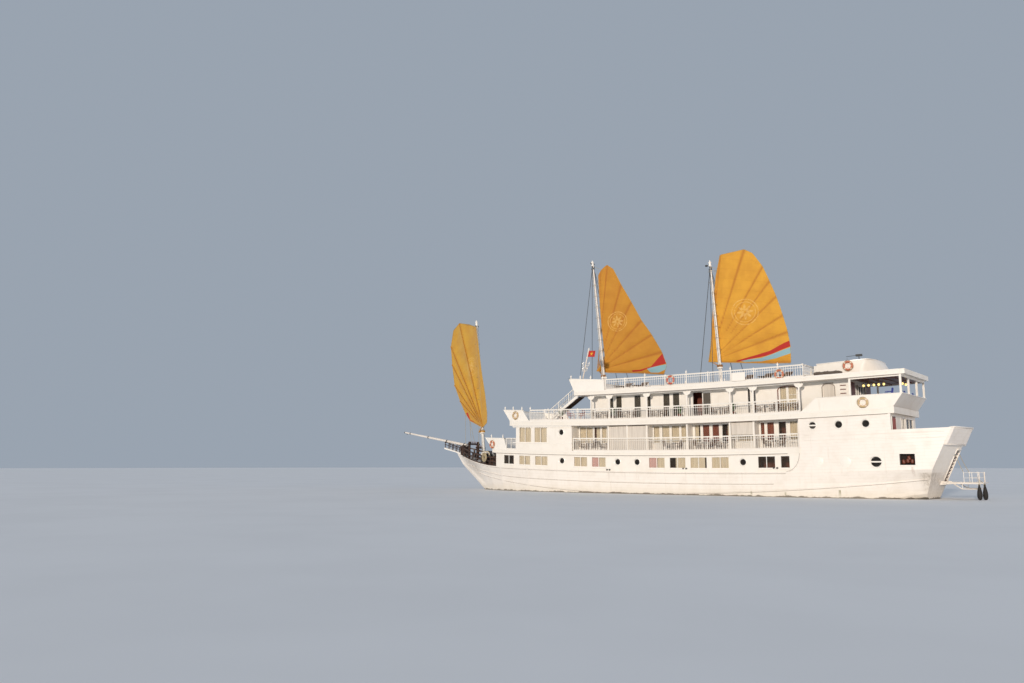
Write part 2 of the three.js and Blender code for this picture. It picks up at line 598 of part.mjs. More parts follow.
// Forward bulwarks, flared like a prow: name, deck line, x of the aft foot, of the aft top, of
// the front foot and of the tip, then the height of the top aft and at the tip
const PROWS = [
  ['deck2_prow', deck2Top, 15.9, 16.35, 18.05, 19.2, 4.98, 5.1],
  ['deck3_prow', deck3Top, 13.05, 13.8, 15.5, 16.35, 7.56, 7.7],
  ['sun_prow', sunTop, 4.55, 4.6, 7.72, 8.25, 9.89, 10.18],
];
const STAIR = { y0: 2.15, y1: 3.1, foot: 11.35, stringer: 0.07, steps: 9 };
for (const [name, line, aft, aftTop, foot, tip, top, tipTop] of PROWS) {
  const floor = (x0, x1) => stationsWithin(x0, x1).map((x) => [x, line(x) + GAP]);
  const outer = sidePrism([...floor(aft, foot), [tip, tipTop], [aftTop, top]]).intersect(plan(-0.02));
  const inner = sidePrism([
    [aft - 2, 0], [foot - 0.14, 0], [foot - 0.14, line(foot)], [tip - 0.14, tipTop + 0.01],
    [tip - 0.2, 15], [aft - 2, 15],
  ]).intersect(plan(0.1));
  let prow = cut(outer, inner);
  if (name === 'sun_prow') {
    const sill = line(foot) + 0.12;
    prow = prow.subtract(box(foot - 0.6, tip + 1, STAIR.y0 - 0.05, STAIR.y1 + 0.05, sill, 12));
  }
  if (name === 'deck2_prow') {
    for (const s of [1, -1]) {
      prow = prow.add(railFrame(line, 1.1, FLUSH_FRONT + GAP, aft + 0.15, 0.65, s, 0.03));
    }
  }
  add(name, prow, WHITE);
}

// Stair from deck 3 to the sun deck
function stair() {
  const floor = deck3Top(STAIR.foot) + 0.02;
  const landing = sunTop(SUN_FRONT) - 0.05;
  const x0 = SUN_FRONT + GAP * 2;
  const solids = [];
  for (const y of [STAIR.y0, STAIR.y1 - STAIR.stringer]) {
    const outline = [
      [x0, landing - 0.3], [STAIR.foot - 0.32, floor], [STAIR.foot, floor], [x0 + 0.02, landing],
      [x0, landing],
    ];
    solids.push(sidePrism(outline).intersect(box(x0, 13, y, y + STAIR.stringer, 0, 12)));
    const rail = outline.map(([x, z]) => [x, z + 0.85]);
    rail[0][1] = rail[4][1] - 0.06;
    rail[1] = [STAIR.foot - 0.06, floor + 0.85];
    solids.push(sidePrism(rail).intersect(box(x0, 13, y, y + 0.05, 0, 12)));
    for (const part of [0.02, 0.34, 0.66, 0.98]) {
      const x = x0 + part * (STAIR.foot - x0 - 0.1);
      const z = landing - part * (landing - floor);
      solids.push(box(x, x + 0.05, y, y + 0.05, z - 0.15, z + 0.85));
    }
  }
  for (let i = 1; i < STAIR.steps; i += 1) {
    const part = i / STAIR.steps;
    const x = x0 + part * (STAIR.foot - x0 - 0.2);
    const z = landing - 0.1 - part * (landing - floor);
    solids.push(box(x, x + 0.26, STAIR.y0, STAIR.y1, z - 0.04, z));
  }
  const floorCut = between(() => 0, raised(deck3Top, GAP), 0, 20);
  return join(...solids).subtract(floorCut);
}
add('bow_stair', stair(), WHITE);

// Deckhouse on the sun deck: side outline of its roof, from the front foot aft
const DECKHOUSE = [[-13.35, 9.4], [-13.65, 10.12], [-17.0, 10.28], [-17.85, 10.13], [-18.46, 9.35]];
function deckhouse() {
  const foot = stationsWithin(-18.5, -13.3).map((x) => [x, sunTop(x) + GAP]);
  return sidePrism([...foot, ...DECKHOUSE], 2.5);
}
add('deckhouse', deckhouse(), WHITE);

// Foredeck: timber rail on the gunwale, with the bitts that carry the bowsprit
const TIMBER_RAIL = { aft: 17.62, front: 24.4, height: 0.85 };
const BOWSPRIT = { heel: [23.9, 0, 4.5], tip: [33.0, 0, 6.05], radius: 0.15, tipRadius: 0.08 };
function foredeckRail() {
  const { aft, front, height } = TIMBER_RAIL;
  const line = gunwale;
  const band = between(raised(line, GAP), raised(line, height), aft, front);
  let rail = band.intersect(skin(0.08, 0.1));
  const bays = 8;
  const step = (front - aft - 0.12) / bays;
  for (let i = 0; i < bays; i += 1) {
    const from = aft + i * step + 0.12;
    for (const [low, high] of [[0.1, 0.36], [0.46, height - 0.12]]) {
      rail = rail.subtract(between(raised(line, low), raised(line, high), from, aft + (i + 1) * step));
    }
  }
  const bitts = between(raised(line, GAP), () => BOWSPRIT.heel[2], 23.95, 24.2, 0.45);
  return rail.add(bitts);
}
const bowsprit = bar(BOWSPRIT.heel, BOWSPRIT.tip, BOWSPRIT.radius, 10, BOWSPRIT.tipRadius);
const sprit = bar(BOWSPRIT.heel, BOWSPRIT.tip, BOWSPRIT.radius + GAP, 10, BOWSPRIT.tipRadius + GAP);
add('foredeck_rail', foredeckRail().subtract(sprit), TIMBER);
add('bowsprit', bowsprit, WHITE);
const PLANK = { aft: 24.42, tip: 26.7, tipTop: 4.3, thickness: 0.16, halfWidth: 0.42 };
function prowPlank() {
  const foot = gunwale(PLANK.aft) + GAP;
  const top = foot + PLANK.thickness;
  const outline = [
    [PLANK.aft, foot], [25.15, gunwale(25.15) + GAP], [PLANK.tip, PLANK.tipTop - PLANK.thickness],
    [PLANK.tip, PLANK.tipTop], [PLANK.aft, top],
  ];
  return sidePrism(outline, PLANK.halfWidth).subtract(hullLoft());
}
add('prow_plank', prowPlank(), WHITE);

// Windlass on the foredeck: a barrel between two cheeks, with a warping end outside each
const WINDLASS = {
  x: 20.62, cheekY: 0.62, cheek: 0.1, axle: 0.72, barrel: 0.3, shaft: 0.09, end: 0.42, reach: 1.16,
};
const drumZ = gunwale(WINDLASS.x) + WINDLASS.axle;
const axlePoint = (y) => [WINDLASS.x, y, drumZ];
const across = (y0, y1, radius, sides) => bar(axlePoint(y0), axlePoint(y1), radius, sides);
function windlassFrame() {
  const { x, cheekY, cheek, axle, shaft } = WINDLASS;
  const solids = [between(raised(gunwale, GAP), raised(gunwale, 0.1), x - 0.45, x + 0.45, cheekY + cheek)];
  for (const s of [1, -1]) {
    const block = between(raised(gunwale, GAP), raised(gunwale, axle + 0.22), x - 0.2, x + 0.2);
    solids.push(block.intersect(box(x - 1, x + 1, s * cheekY, s * (cheekY + cheek), 0, 9)));
  }
  return join(...solids).subtract(across(-2, 2, shaft + 0.025, 12));
}
function windlassDrum() {
  const { cheekY, cheek, barrel, shaft, end, reach } = WINDLASS;
  const inner = cheekY + cheek + 0.03;
  const drum = across(GAP - cheekY, cheekY - GAP, barrel, 12);
  const solids = [drum, across(-inner - 0.1, inner + 0.1, shaft, 8)];
  for (const s of [1, -1]) {
    solids.push(across(s * inner, s * reach, end, 14));
  }
  return join(...solids);
}
add('windlass_frame', windlassFrame(), TIMBER);
add('windlass_drum', windlassDrum(), TIMBER);

// Propellers and rudders, one pair
const PROPELLER = { hub: 0.14, radius: 0.5, blades: 4 };
function propeller(y) {
  const x = SHAFT.to - GAP;
  let screw = bar([x, y, SHAFT.z], [x - 0.34, y, SHAFT.z], PROPELLER.hub, 10, 0.06);
  for (let i = 0; i < PROPELLER.blades; i += 1) {
    const blade = new THREE.BoxGeometry(0.03, 0.26, PROPELLER.radius - 0.05);
    blade.translate(0, 0, (PROPELLER.radius + 0.05) / 2);
    blade.rotateZ(0.6);
    blade.rotateX((i * 2 * Math.PI) / PROPELLER.blades + 0.3);
    blade.translate(x - 0.16, y, SHAFT.z);
    screw = screw.add(toSolid(blade));
  }
  return screw;
}
function rudder(y) {
  const { x, head } = RUDDER;
  const stock = bar([x, y, head - GAP], [x, y, head - 0.5], 0.07, 10);
  const blade = sidePrism([[x + 0.3, -1.85], [x + 0.3, -0.95], [x - 0.7, -0.9], [x - 0.75, -1.85]], 0.04);
  const geometry = toGeometry(blade).translate(0, y, 0);
  return stock.add(toSolid(geometry));
}
for (const [side, s] of SIDES) {
  add(`propeller_${side}`, propeller(s * SHAFT.y), BRONZE);
  add(`rudder_${side}`, rudder(s * RUDDER.y), STEEL);
}

// Boarding platform hinged on the transom, with its fender
const DECK_FRAME = { aft: -24.05, beam: 0.1, trussZ: 0.75, postTop: 1.9, slats: 6, pitch: 0.36 };
function sternPlatform() {
  const { hingeX, hingeZ, beamY, lug } = PLATFORM;
  const { aft, beam, trussZ, postTop, slats, pitch } = DECK_FRAME;
  const solids = [];
  for (const s of [1, -1]) {
    const inner = beamY - lug;
    const middle = s * (inner + beam / 2);
    const knee = [hingeX - 1.1, middle, trussZ];
    solids.push(box(hingeX + 0.1, aft, s * inner, s * (inner + beam), hingeZ - 0.06, hingeZ + 0.06));
    solids.push(bar([hingeX - 0.5, middle, hingeZ], knee, 0.04));
    solids.push(bar(knee, [aft + 0.05, middle, trussZ], 0.04));
    solids.push(bar([aft + 0.06, middle, trussZ - 0.05], [aft + 0.06, middle, postTop], 0.045));
  }
  const reach = beamY - lug + 0.01;
  for (let i = 0; i < slats; i += 1) {
    const x = hingeX - 0.35 - i * pitch;
    solids.push(box(x, x - pitch + 0.06, -reach, reach, hingeZ - 0.02, hingeZ + 0.05));
  }
  for (const y of [-0.55, 0, 0.55]) {
    solids.push(box(hingeX - 0.3, aft + 0.02, y - 0.05, y + 0.05, hingeZ - 0.07, hingeZ - 0.01));
  }
  solids.push(box(aft + 0.1, aft, -reach, reach, hingeZ - 0.06, hingeZ + 0.05));
  return join(...solids);
}
add('stern_platform', sternPlatform(), STEEL);
const FENDER = { y0: 0.35, y1: 0.75, thickness: 0.35, top: 1.12, foot: -0.02 };
add('stern_fender', box(
  DECK_FRAME.aft - GAP, DECK_FRAME.aft - FENDER.thickness, FENDER.y0, FENDER.y1, FENDER.foot, FENDER.top,
), RUBBER);

// Signal mast with its flag, on the port side of the sun deck
const SIGNAL = { x: 7.5, y: 3.4, foot: 8.9, head: 12.85, lean: -0.253, radius: 0.06 };
const FLAG = { fly: 0.75, foot: 12.15, head: 12.72, thickness: 0.08 };
const sunFloor = between(() => 0, raised(sunTop, GAP), -20, 7.9);
const signalX = (z) => SIGNAL.x + SIGNAL.lean * (z - SIGNAL.foot);
const signalPoint = (z) => [signalX(z), SIGNAL.y, z];
const signalPole = bar(signalPoint(SIGNAL.foot), signalPoint(SIGNAL.head), SIGNAL.radius, 8);
add('signal_mast', signalPole.subtract(sunFloor), WHITE);
const hoistSpace = bar(signalPoint(SIGNAL.foot), signalPoint(SIGNAL.head), SIGNAL.radius + GAP, 8);
const flag = prism([
  [signalX(FLAG.foot), FLAG.foot], [signalX(FLAG.head), FLAG.head],
  [signalX(FLAG.head) - FLAG.fly, FLAG.head], [signalX(FLAG.foot) - FLAG.fly, FLAG.foot],
], SIDE_VIEW, -SIGNAL.y - FLAG.thickness / 2, -SIGNAL.y + FLAG.thickness / 2);
add('flag', flag.subtract(hoistSpace), RED);

// Masts and their fan sails. Each outline runs in mast coordinates: distance aft along the
// boom, then height up the mast, from the head of the luff round the leech and back.
// The numbers after it are the outline points where the battens end.
const RIGS = [
  {
    name: 'fore', foot: [21.53, 0, 2.6], rake: 4.5, boom: -22, length: 14.95, radius: 0.17, neck: 3.2,
    outline: [
      [-0.48, 14.28], [1.0, 14.87], [3.25, 15.5], [4.8, 15.0], [5.58, 13.37], [5.51, 11.32], [5.17, 8.95],
      [4.06, 7.05], [2.92, 5.47], [2.04, 4.71], [0.05, 4.03], [-0.84, 3.67], [-1.68, 4.02], [-1.8, 5.0],
      [-1.63, 6.9], [-1.14, 9.5], [-0.72, 12.8],
    ],
    tack: 11, battens: [2, 4, 5, 6, 7, 9],
  },
  {
    name: 'main', foot: [6.88, 0, 8.9], rake: 5.5, boom: 195, length: 13.0, radius: 0.16, neck: 1.72,
    outline: [
      [0.67, 12.15], [1.33, 12.59], [1.9, 12.07], [2.53, 10.39], [3.33, 8.55], [4.11, 6.63], [4.92, 5.13],
      [5.69, 3.37], [5.98, 2.13], [5.65, 1.27], [3.57, 1.66], [0.47, 2.12], [-0.76, 2.45], [0.21, 3.58],
      [0.18, 6.26], [0.22, 8.66], [0.35, 11.7],
    ],
    tack: 12, battens: [1, 3, 4, 5, 6, 7, 9],
  },
  {
    name: 'aft', foot: [-4.74, 0, 8.9], rake: 3.8, boom: 195, length: 11.2, radius: 0.15, neck: 1.85,
    outline: [
      [0.88, 11.8], [3.0, 11.97], [3.65, 11.52], [4.39, 10.2], [4.81, 8.86], [5.22, 7.45], [5.58, 5.74],
      [5.82, 4.3], [5.91, 3.07], [5.8, 1.62], [4.23, 1.75], [0.7, 2.22], [-0.99, 2.45], [-0.66, 3.85],
      [-0.43, 5.43], [-0.09, 7.61], [0.34, 9.96],
    ],
    tack: 12, battens: [1, 3, 4, 5, 6, 7, 9],
  },
];
const NECK = { height: 0.2, clearance: 0.03, wall: 0.07 };

function mastGroup({ foot, rake }) {
  const group = new THREE.Group();
  group.position.set(...foot);
  group.rotation.y = THREE.MathUtils.degToRad(rake);
  ship.add(group);
  return group;
}

// The mast: a tapered pole with the collar that carries the gooseneck
function mast({ foot, rake, length, radius, neck }) {
  const collar = neck - GAP;
  const at = (h) => radius - (MAST_TAPER * radius * h) / length;
  const profile = [
    [0, -0.6], [at(0), -0.6], [at(collar), collar - 0.12], [radius + 0.1, collar - 0.12],
    [radius + 0.1, collar], [at(collar), collar], [at(length), length], [0, length],
  ];
  const geometry = turned(profile, MAST_SIDES);
  geometry.rotateY(THREE.MathUtils.degToRad(rake));
  geometry.translate(...foot);
  return toSolid(geometry);
}

// The gooseneck ring, its arm, and the battens that fan out from the tack
function battens({ outline, tack, battens: ends, radius, neck }) {
  const inner = radius + NECK.clearance;
  const outer = inner + NECK.wall;
  const profile = [[inner, neck], [outer, neck], [outer, neck + NECK.height], [inner, neck + NECK.height]];
  const ring = toSolid(turned([...profile, profile[0]], MAST_SIDES));
  const [tackU, tackV] = outline[tack];
  const hub = [tackU + 0.1, tackV + 0.02];
  const fan = ends.map((index) => {
    const [u, v] = outline[index];
    const reach = Math.hypot(u - hub[0], v - hub[1]);
    const along = [(u - hub[0]) / reach, (v - hub[1]) / reach];
    const point = (distance, offset) => [
      hub[0] + distance * along[0] - offset * along[1],
      hub[1] + distance * along[1] + offset * along[0],
    ];
    const end = reach - 0.06;
    const { root, tip } = BATTEN;
    const edges = [point(0, -root), point(end, -tip), point(end, tip), point(0, root)];
    return prism(edges, SIDE_VIEW, -BATTEN.far, -BATTEN.near);
  });
  const arm = box(-0.06, 0.06, outer - 0.03, BATTEN.far, neck, neck + 0.12);
  const stay = prism([
    [-0.06, neck], [0.06, neck], [0.06, neck + 0.12], [hub[0] + 0.15, hub[1]], [hub[0] + 0.05, hub[1]],
    [-0.06, neck + 0.05],
  ], SIDE_VIEW, -BATTEN.far, -BATTEN.near);
  return join(ring, arm, stay, ...fan);
}

// Main stays: a band near the masthead and two shrouds down to each deck edge
function shrouds(rig, line, spread) {
  const { foot, rake, length, radius } = rig;
  const lean = THREE.MathUtils.degToRad(rake);
  const high = length - 0.6;
  const low = high - 0.14;
  const at = (h) => radius - (MAST_TAPER * radius * h) / length + GAP * 1.5;
  const profile = [[at(low), low], [at(low) + 0.05, low], [at(high) + 0.05, high], [at(high), high]];
  const geometry = turned([...profile, profile[0]], MAST_SIDES);
  geometry.rotateY(lean);
  geometry.translate(...foot);
  const solids = [toSolid(geometry)];
  const middle = (low + high) / 2;
  const top = [foot[0] + middle * Math.sin(lean), 0, foot[2] + middle * Math.cos(lean)];
  for (const s of [1, -1]) {
    for (const dx of spread) {
      const x = foot[0] + dx;
      const y = s * (breadth(x) - 0.25);
      solids.push(bar([x, y, line(x) - 0.05], [top[0], s * (at(low) + 0.03), top[2]], 0.025, 6));
    }
  }
  return join(...solids).subtract(between(() => 0, raised(line, GAP), -15, SUN_FRONT + 5));
}

const deckCut = {
  fore: between(() => 0, raised(gunwale, GAP), 20, 23),
  main: sunFloor,
  aft: sunFloor,
};
for (const rig of RIGS) {
  add(`${rig.name}_mast`, mast(rig).subtract(deckCut[rig.name]), WHITE);
  const swing = new THREE.Group();
  swing.rotation.z = THREE.MathUtils.degToRad(rig.boom);
  mastGroup(rig).add(swing);
  add(`${rig.name}_battens`, battens(rig), TIMBER, swing);
  const cloth = prism(rig.outline, SIDE_VIEW, -SAIL_FAR, -SAIL_NEAR);
  add(`${rig.name}_sail`, cloth, CLOTH, swing);
}
add('main_shrouds', shrouds(RIGS[1], sunTop, [-0.9, 0.55]), STEEL);
add('aft_shrouds', shrouds(RIGS[2], sunTop, [-0.9, 0.3]), STEEL);

export default ship;
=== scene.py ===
"""Dress of a three-masted passenger junk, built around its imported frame.

Sizes and places are metres of the real ship, and MODEL_SCALE turns them into the metres of
the 1:2 model. +X is the bow, +Y is port, +Z is up, and z = 0 is the waterline.
"""

from __future__ import annotations

import logging
import math
import random
from collections.abc import Callable, Iterable, Sequence
from dataclasses import dataclass
from enum import Enum

import bmesh
import bpy
from mathutils import Matrix, Vector, noise
from mathutils.bvhtree import BVHTree

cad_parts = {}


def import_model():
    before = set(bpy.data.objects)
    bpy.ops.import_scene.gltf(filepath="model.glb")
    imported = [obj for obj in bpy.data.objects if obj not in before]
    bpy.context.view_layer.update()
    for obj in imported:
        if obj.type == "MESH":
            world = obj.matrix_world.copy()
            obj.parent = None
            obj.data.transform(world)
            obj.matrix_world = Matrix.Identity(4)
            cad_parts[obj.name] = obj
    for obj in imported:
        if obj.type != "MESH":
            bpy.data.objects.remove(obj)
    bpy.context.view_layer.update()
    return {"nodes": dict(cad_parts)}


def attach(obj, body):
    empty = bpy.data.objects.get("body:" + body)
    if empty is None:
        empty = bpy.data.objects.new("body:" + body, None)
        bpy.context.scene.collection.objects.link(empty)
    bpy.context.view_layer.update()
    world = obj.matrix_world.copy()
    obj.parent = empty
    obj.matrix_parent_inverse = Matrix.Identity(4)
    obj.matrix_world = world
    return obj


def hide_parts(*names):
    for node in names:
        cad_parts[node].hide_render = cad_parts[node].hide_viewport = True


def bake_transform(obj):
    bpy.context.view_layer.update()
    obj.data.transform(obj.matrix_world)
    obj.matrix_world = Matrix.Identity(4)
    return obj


LOG = logging.getLogger("junk")

MODEL_SCALE = 0.5  # model metres per real metre
GAP = 0.012  # clearance between a deck and what stands on it
FRAME_WIDTH = 1024  # pixels of the photograph's frame
BAY = 3.7  # spacing of the deck pillars
QUARTER_X = -12.65  # forward edge of the raised quarter
AFT_WALL_X = -19.05  # the wall that closes deck 2 aft
FRONT_X = 17.5  # the wall that closes deck 1 forward
HOUSE_Y = 2.82  # outer face of the recessed house walls
RAIL_Y_INSET = 0.145  # middle of a deck rail, inboard of the deck edge
SIDES = (("port", 1), ("starboard", -1))

Point = tuple[float, float, float]
Line = Callable[[float], float]


def reading(rows: Sequence[tuple[float, float]]) -> Line:
    """Reads a table of (x, value) rows by straight lines.

    Args:
        rows: The table, in rising x.

    Returns:
        A function that gives the value at any x.
    """

    def value(x: float) -> float:
        """The value at x."""
        if x <= rows[0][0]:
            return rows[0][1]
        for (x0, v0), (x1, v1) in zip(rows, rows[1:]):
            if x <= x1:
                return v0 + (x - x0) / (x1 - x0) * (v1 - v0)
        return rows[-1][1]

    return value


def knot_places() -> list[float]:
    """The places along the ship where the deck edges bend."""
    places = [QUARTER_X + BAY * i for i in range(-4, 9)]
    while places[-1] < 28:
        places.append(places[-1] + BAY / 2)
    return places


KNOTS = knot_places()


def knotted(formula: Line) -> Line:
    """A formula read straight from knot to knot."""
    return reading([(x, formula(x)) for x in KNOTS])


def raised(line: Line, height: float) -> Line:
    """A line moved up by a height."""
    return lambda x: line(x) + height


gunwale = knotted(lambda x: 1.86 + 0.0009 * (x + 5) ** 2 + 0.0165 * max(0, x - 17) ** 2)
deck2_under = knotted(lambda x: 3.22 + 0.001 * (x + 3) ** 2)
deck2_top = knotted(lambda x: 3.57 + 0.001 * (x + 3) ** 2)
deck3_under = knotted(lambda x: 5.83 + 0.001 * (x + 3) ** 2)
deck3_top = knotted(lambda x: 6.31 + 0.001 * (x + 3) ** 2)
sun_under = knotted(lambda x: 8.6 + 0.0008 * (x + 1) ** 2)
sun_top = knotted(lambda x: 8.96 + 0.0008 * (x + 1) ** 2)
breadth = reading([
    (-24.5, 3.15), (-20.05, 3.65), (-16.35, 3.92), (-12.65, 4.0), (9.55, 4.0), (11.4, 3.93),
    (13.25, 3.76), (15.1, 3.53), (16.95, 3.22), (18.8, 2.75), (20.65, 2.1), (22.5, 1.35),
    (24.35, 0.5), (25.13, 0.12),
])


def spaced(start: float, end: float, count: int) -> list[float]:
    """The ends of a stretch and the places that part it into count even steps."""
    return [start + (end - start) * i / count for i in range(count + 1)]


def circle(count: int) -> list[float]:
    """Even angles round a circle."""
    return [2 * math.pi * i / count for i in range(count)]


def transom_x(y: float, z: float) -> float:
    """The x of the raked transom at y and z."""
    return -21.15 - 0.457 * z + 0.167 * abs(y)


def stations(x0: float, x1: float) -> list[float]:
    """The ends of a stretch and the bends of deck edges and sides between them."""
    bends = KNOTS + [-20.05, -16.35, 9.55, 11.4, 13.25, 15.1, 24.35]
    return sorted({x0, x1, *(x for x in bends if x0 < x < x1)})


# Geometry


class Sketch:
    """The faces of one piece, in real metres, before they become a mesh."""

    def __init__(self) -> None:
        """Starts an empty sketch."""
        self.points: list[Point] = []
        self.faces: list[tuple[int, ...]] = []
        self.finish_of: list[int] = []
        self.finish = 0

    def add(self, points: Iterable[Sequence[float]], faces: Iterable[Sequence[int]]) -> None:
        """Adds points and the faces on them.

        Args:
            points: Corners in real metres.
            faces: Rings of indices into those points.
        """
        base = len(self.points)
        self.points.extend((p[0], p[1], p[2]) for p in points)
        for ring in faces:
            self.faces.append(tuple(base + i for i in ring))
            self.finish_of.append(self.finish)

    def block(self, low: Sequence[Point], high: Sequence[Point]) -> None:
        """A six-sided block from two facing rings of four corners."""
        self.add(
            [*low, *high],
            [(3, 2, 1, 0), (4, 5, 6, 7), (0, 1, 5, 4), (1, 2, 6, 5), (2, 3, 7, 6), (3, 0, 4, 7)],
        )

    def box(self, x0: float, x1: float, y0: float, y1: float, z0: float, z1: float) -> None:
        """An upright box between two corners, whose x and y may come in either order."""
        (x0, x1), (y0, y1) = sorted((x0, x1)), sorted((y0, y1))
        low = [(x0, y0, z0), (x1, y0, z0), (x1, y1, z0), (x0, y1, z0)]
        self.block(low, [(x, y, z1) for x, y, _ in low])

    def panel(self, x0: float, x1: float, lower: Line, upper: Line, outer: Line, inner: Line) -> None:
        """A plate along the ship between two sheer lines.

        Args:
            x0: Its aft end.
            x1: Its forward end.
            lower: Height of its foot.
            upper: Height of its head.
            outer: y of its outer face.
            inner: y of its inner face.
        """
        foot = [(x, y(x), lower(x)) for x, y in ((x0, outer), (x1, outer), (x1, inner), (x0, inner))]
        head = [(x, y, upper(x)) for x, y, _ in foot]
        self.block(foot, head)

    def loft(self, rings: Sequence[Sequence[Sequence[float]]]) -> None:
        """A closed body through rings of equal count, capped at both ends."""
        count, last = len(rings[0]), len(rings) - 1
        faces: list[Sequence[int]] = [range(count - 1, -1, -1), range(last * count, (last + 1) * count)]
        for i in range(last):
            for j in range(count):
                k = (j + 1) % count
                faces.append((i * count + j, i * count + k, (i + 1) * count + k, (i + 1) * count + j))
        self.add([p for ring in rings for p in ring], faces)

    def band(self, x0: float, x1: float, lower: Line, upper: Line, outer: Line, inner: Line) -> None:
        """A strip along the ship that bends where the deck edges bend."""
        self.loft([
            [
                (x, outer(x), lower(x)), (x, outer(x), upper(x)), (x, inner(x), upper(x)),
                (x, inner(x), lower(x)),
            ]
            for x in stations(x0, x1)
        ])

    def stamp(self, other: Sketch, where: Sequence[float], heading: float = 0.0) -> None:
        """Copies another sketch to a place, turned by heading degrees about the upright."""
        turn = Matrix.Rotation(math.radians(heading), 3, "Z")
        base = len(self.points)
        self.points.extend(tuple(turn @ Vector(p) + Vector(where)) for p in other.points)
        self.faces.extend(tuple(base + i for i in face) for face in other.faces)
        self.finish_of.extend(other.finish_of)

    def prism(self, outline: Sequence[Sequence[float]], push: Sequence[float]) -> None:
        """A flat outline pushed along a vector, closed at both ends."""
        count = len(outline)
        far = [tuple(a + b for a, b in zip(p, push)) for p in outline]
        sides = [(i, (i + 1) % count, count + (i + 1) % count, count + i) for i in range(count)]
        self.add([*outline, *far], [range(count - 1, -1, -1), range(count, 2 * count), *sides])

    def hoops(self, points: Sequence[Vector], sides: int, closed: bool = False) -> None:
        """Joins hoops of points, and closes the ends or joins the last hoop to the first."""
        count = len(points) // sides
        faces: list[Sequence[int]] = [] if closed else [range(sides - 1, -1, -1)]
        for i in range(count if closed else count - 1):
            a, b = i * sides, ((i + 1) % count) * sides
            faces += [(a + j, a + (j + 1) % sides, b + (j + 1) % sides, b + j) for j in range(sides)]
        if not closed:
            faces.append(range((count - 1) * sides, count * sides))
        self.add(points, faces)

    def tube(
        self, path: Sequence[Sequence[float]], radius: float | Sequence[float],
        sides: int = 8, closed: bool = False,
    ) -> None:
        """A round bar along a path.

        Args:
            path: The points it follows.
            radius: One radius, or one for each point.
            sides: Faces round the bar.
            closed: Whether the last point joins the first.
        """
        places = [Vector(p) for p in path]
        count = len(places)
        radii = [radius] * count if isinstance(radius, (int, float)) else list(radius)
        normal = None
        points: list[Vector] = []
        for i, place in enumerate(places):
            before = places[i - 1] if i > 0 or closed else place
            after = places[(i + 1) % count] if i + 1 < count or closed else place
            along = (after - before).normalized()
            if normal is None:
                helper = Vector((0, 0, 1)) if abs(along.z) < 0.9 else Vector((1, 0, 0))
                normal = along.cross(helper)
            normal = (normal - along * normal.dot(along)).normalized()
            side = along.cross(normal)
            for angle in circle(sides):
                reach = normal * math.cos(angle) + side * math.sin(angle)
                points.append(place + reach * radii[i])
        self.hoops(points, sides, closed)

    def turned(
        self, profile: Sequence[tuple[float, float]], foot: Sequence[float],
        axis: Sequence[float] = (0, 0, 1), sides: int = 12,
    ) -> None:
        """A body turned round an axis.

        Args:
            profile: (radius, distance along the axis) from end to end.
            foot: Where the axis starts.
            axis: Its direction.
            sides: Faces round the body.
        """
        turn = Vector((0, 0, 1)).rotation_difference(Vector(axis))
        points = []
        for radius, rise in profile:
            for angle in circle(sides):
                spoke = Vector((radius * math.cos(angle), radius * math.sin(angle), rise))
                points.append(Vector(foot) + turn @ spoke)
        self.hoops(points, sides)

    def ring(
        self, centre: Sequence[float], axis: Sequence[float], radius: float, thickness: float,
        steps: int = 20, sides: int = 8,
    ) -> None:
        """A round ring about an axis.

        Args:
            centre: Its middle.
            axis: The direction it faces.
            radius: From its middle to the middle of its section.
            thickness: Radius of its section.
            steps: Faces round the ring.
            sides: Faces round its section.
        """
        turn = Vector((0, 0, 1)).rotation_difference(Vector(axis))
        spokes = [Vector((math.cos(angle), math.sin(angle), 0)) for angle in circle(steps)]
        path = [Vector(centre) + turn @ spoke * radius for spoke in spokes]
        self.tube(path, thickness, sides, closed=True)

    def shell(self, rows: Sequence[Sequence[Sequence[float]]], thickness: float) -> None:
        """A thin closed sheet over a grid of points.

        Args:
            rows: Rows of points, all of one length.
            thickness: Distance between its two faces.
        """
        high, wide = len(rows), len(rows[0])
        grid = [[Vector(p) for p in row] for row in rows]
        front, back = [], []
        for i in range(high):
            for j in range(wide):
                down = grid[min(i + 1, high - 1)][j] - grid[max(i - 1, 0)][j]
                right = grid[i][min(j + 1, wide - 1)] - grid[i][max(j - 1, 0)]
                normal = right.cross(down).normalized() * (thickness / 2)
                front.append(grid[i][j] + normal)
                back.append(grid[i][j] - normal)
        size = high * wide
        faces = []
        for i in range(high - 1):
            for j in range(wide - 1):
                a = i * wide + j
                faces.append((a, a + wide, a + wide + 1, a + 1))
                faces.append((size + a, size + a + 1, size + a + wide + 1, size + a + wide))
        rim = list(range(wide))
        rim += [i * wide + wide - 1 for i in range(1, high)]
        rim += [(high - 1) * wide + j for j in range(wide - 2, -1, -1)]
        rim += [i * wide for i in range(high - 2, 0, -1)]
        for a, b in zip(rim, rim[1:] + rim[:1]):
            faces.append((a, b, size + b, size + a))
        self.add([*front, *back], faces)


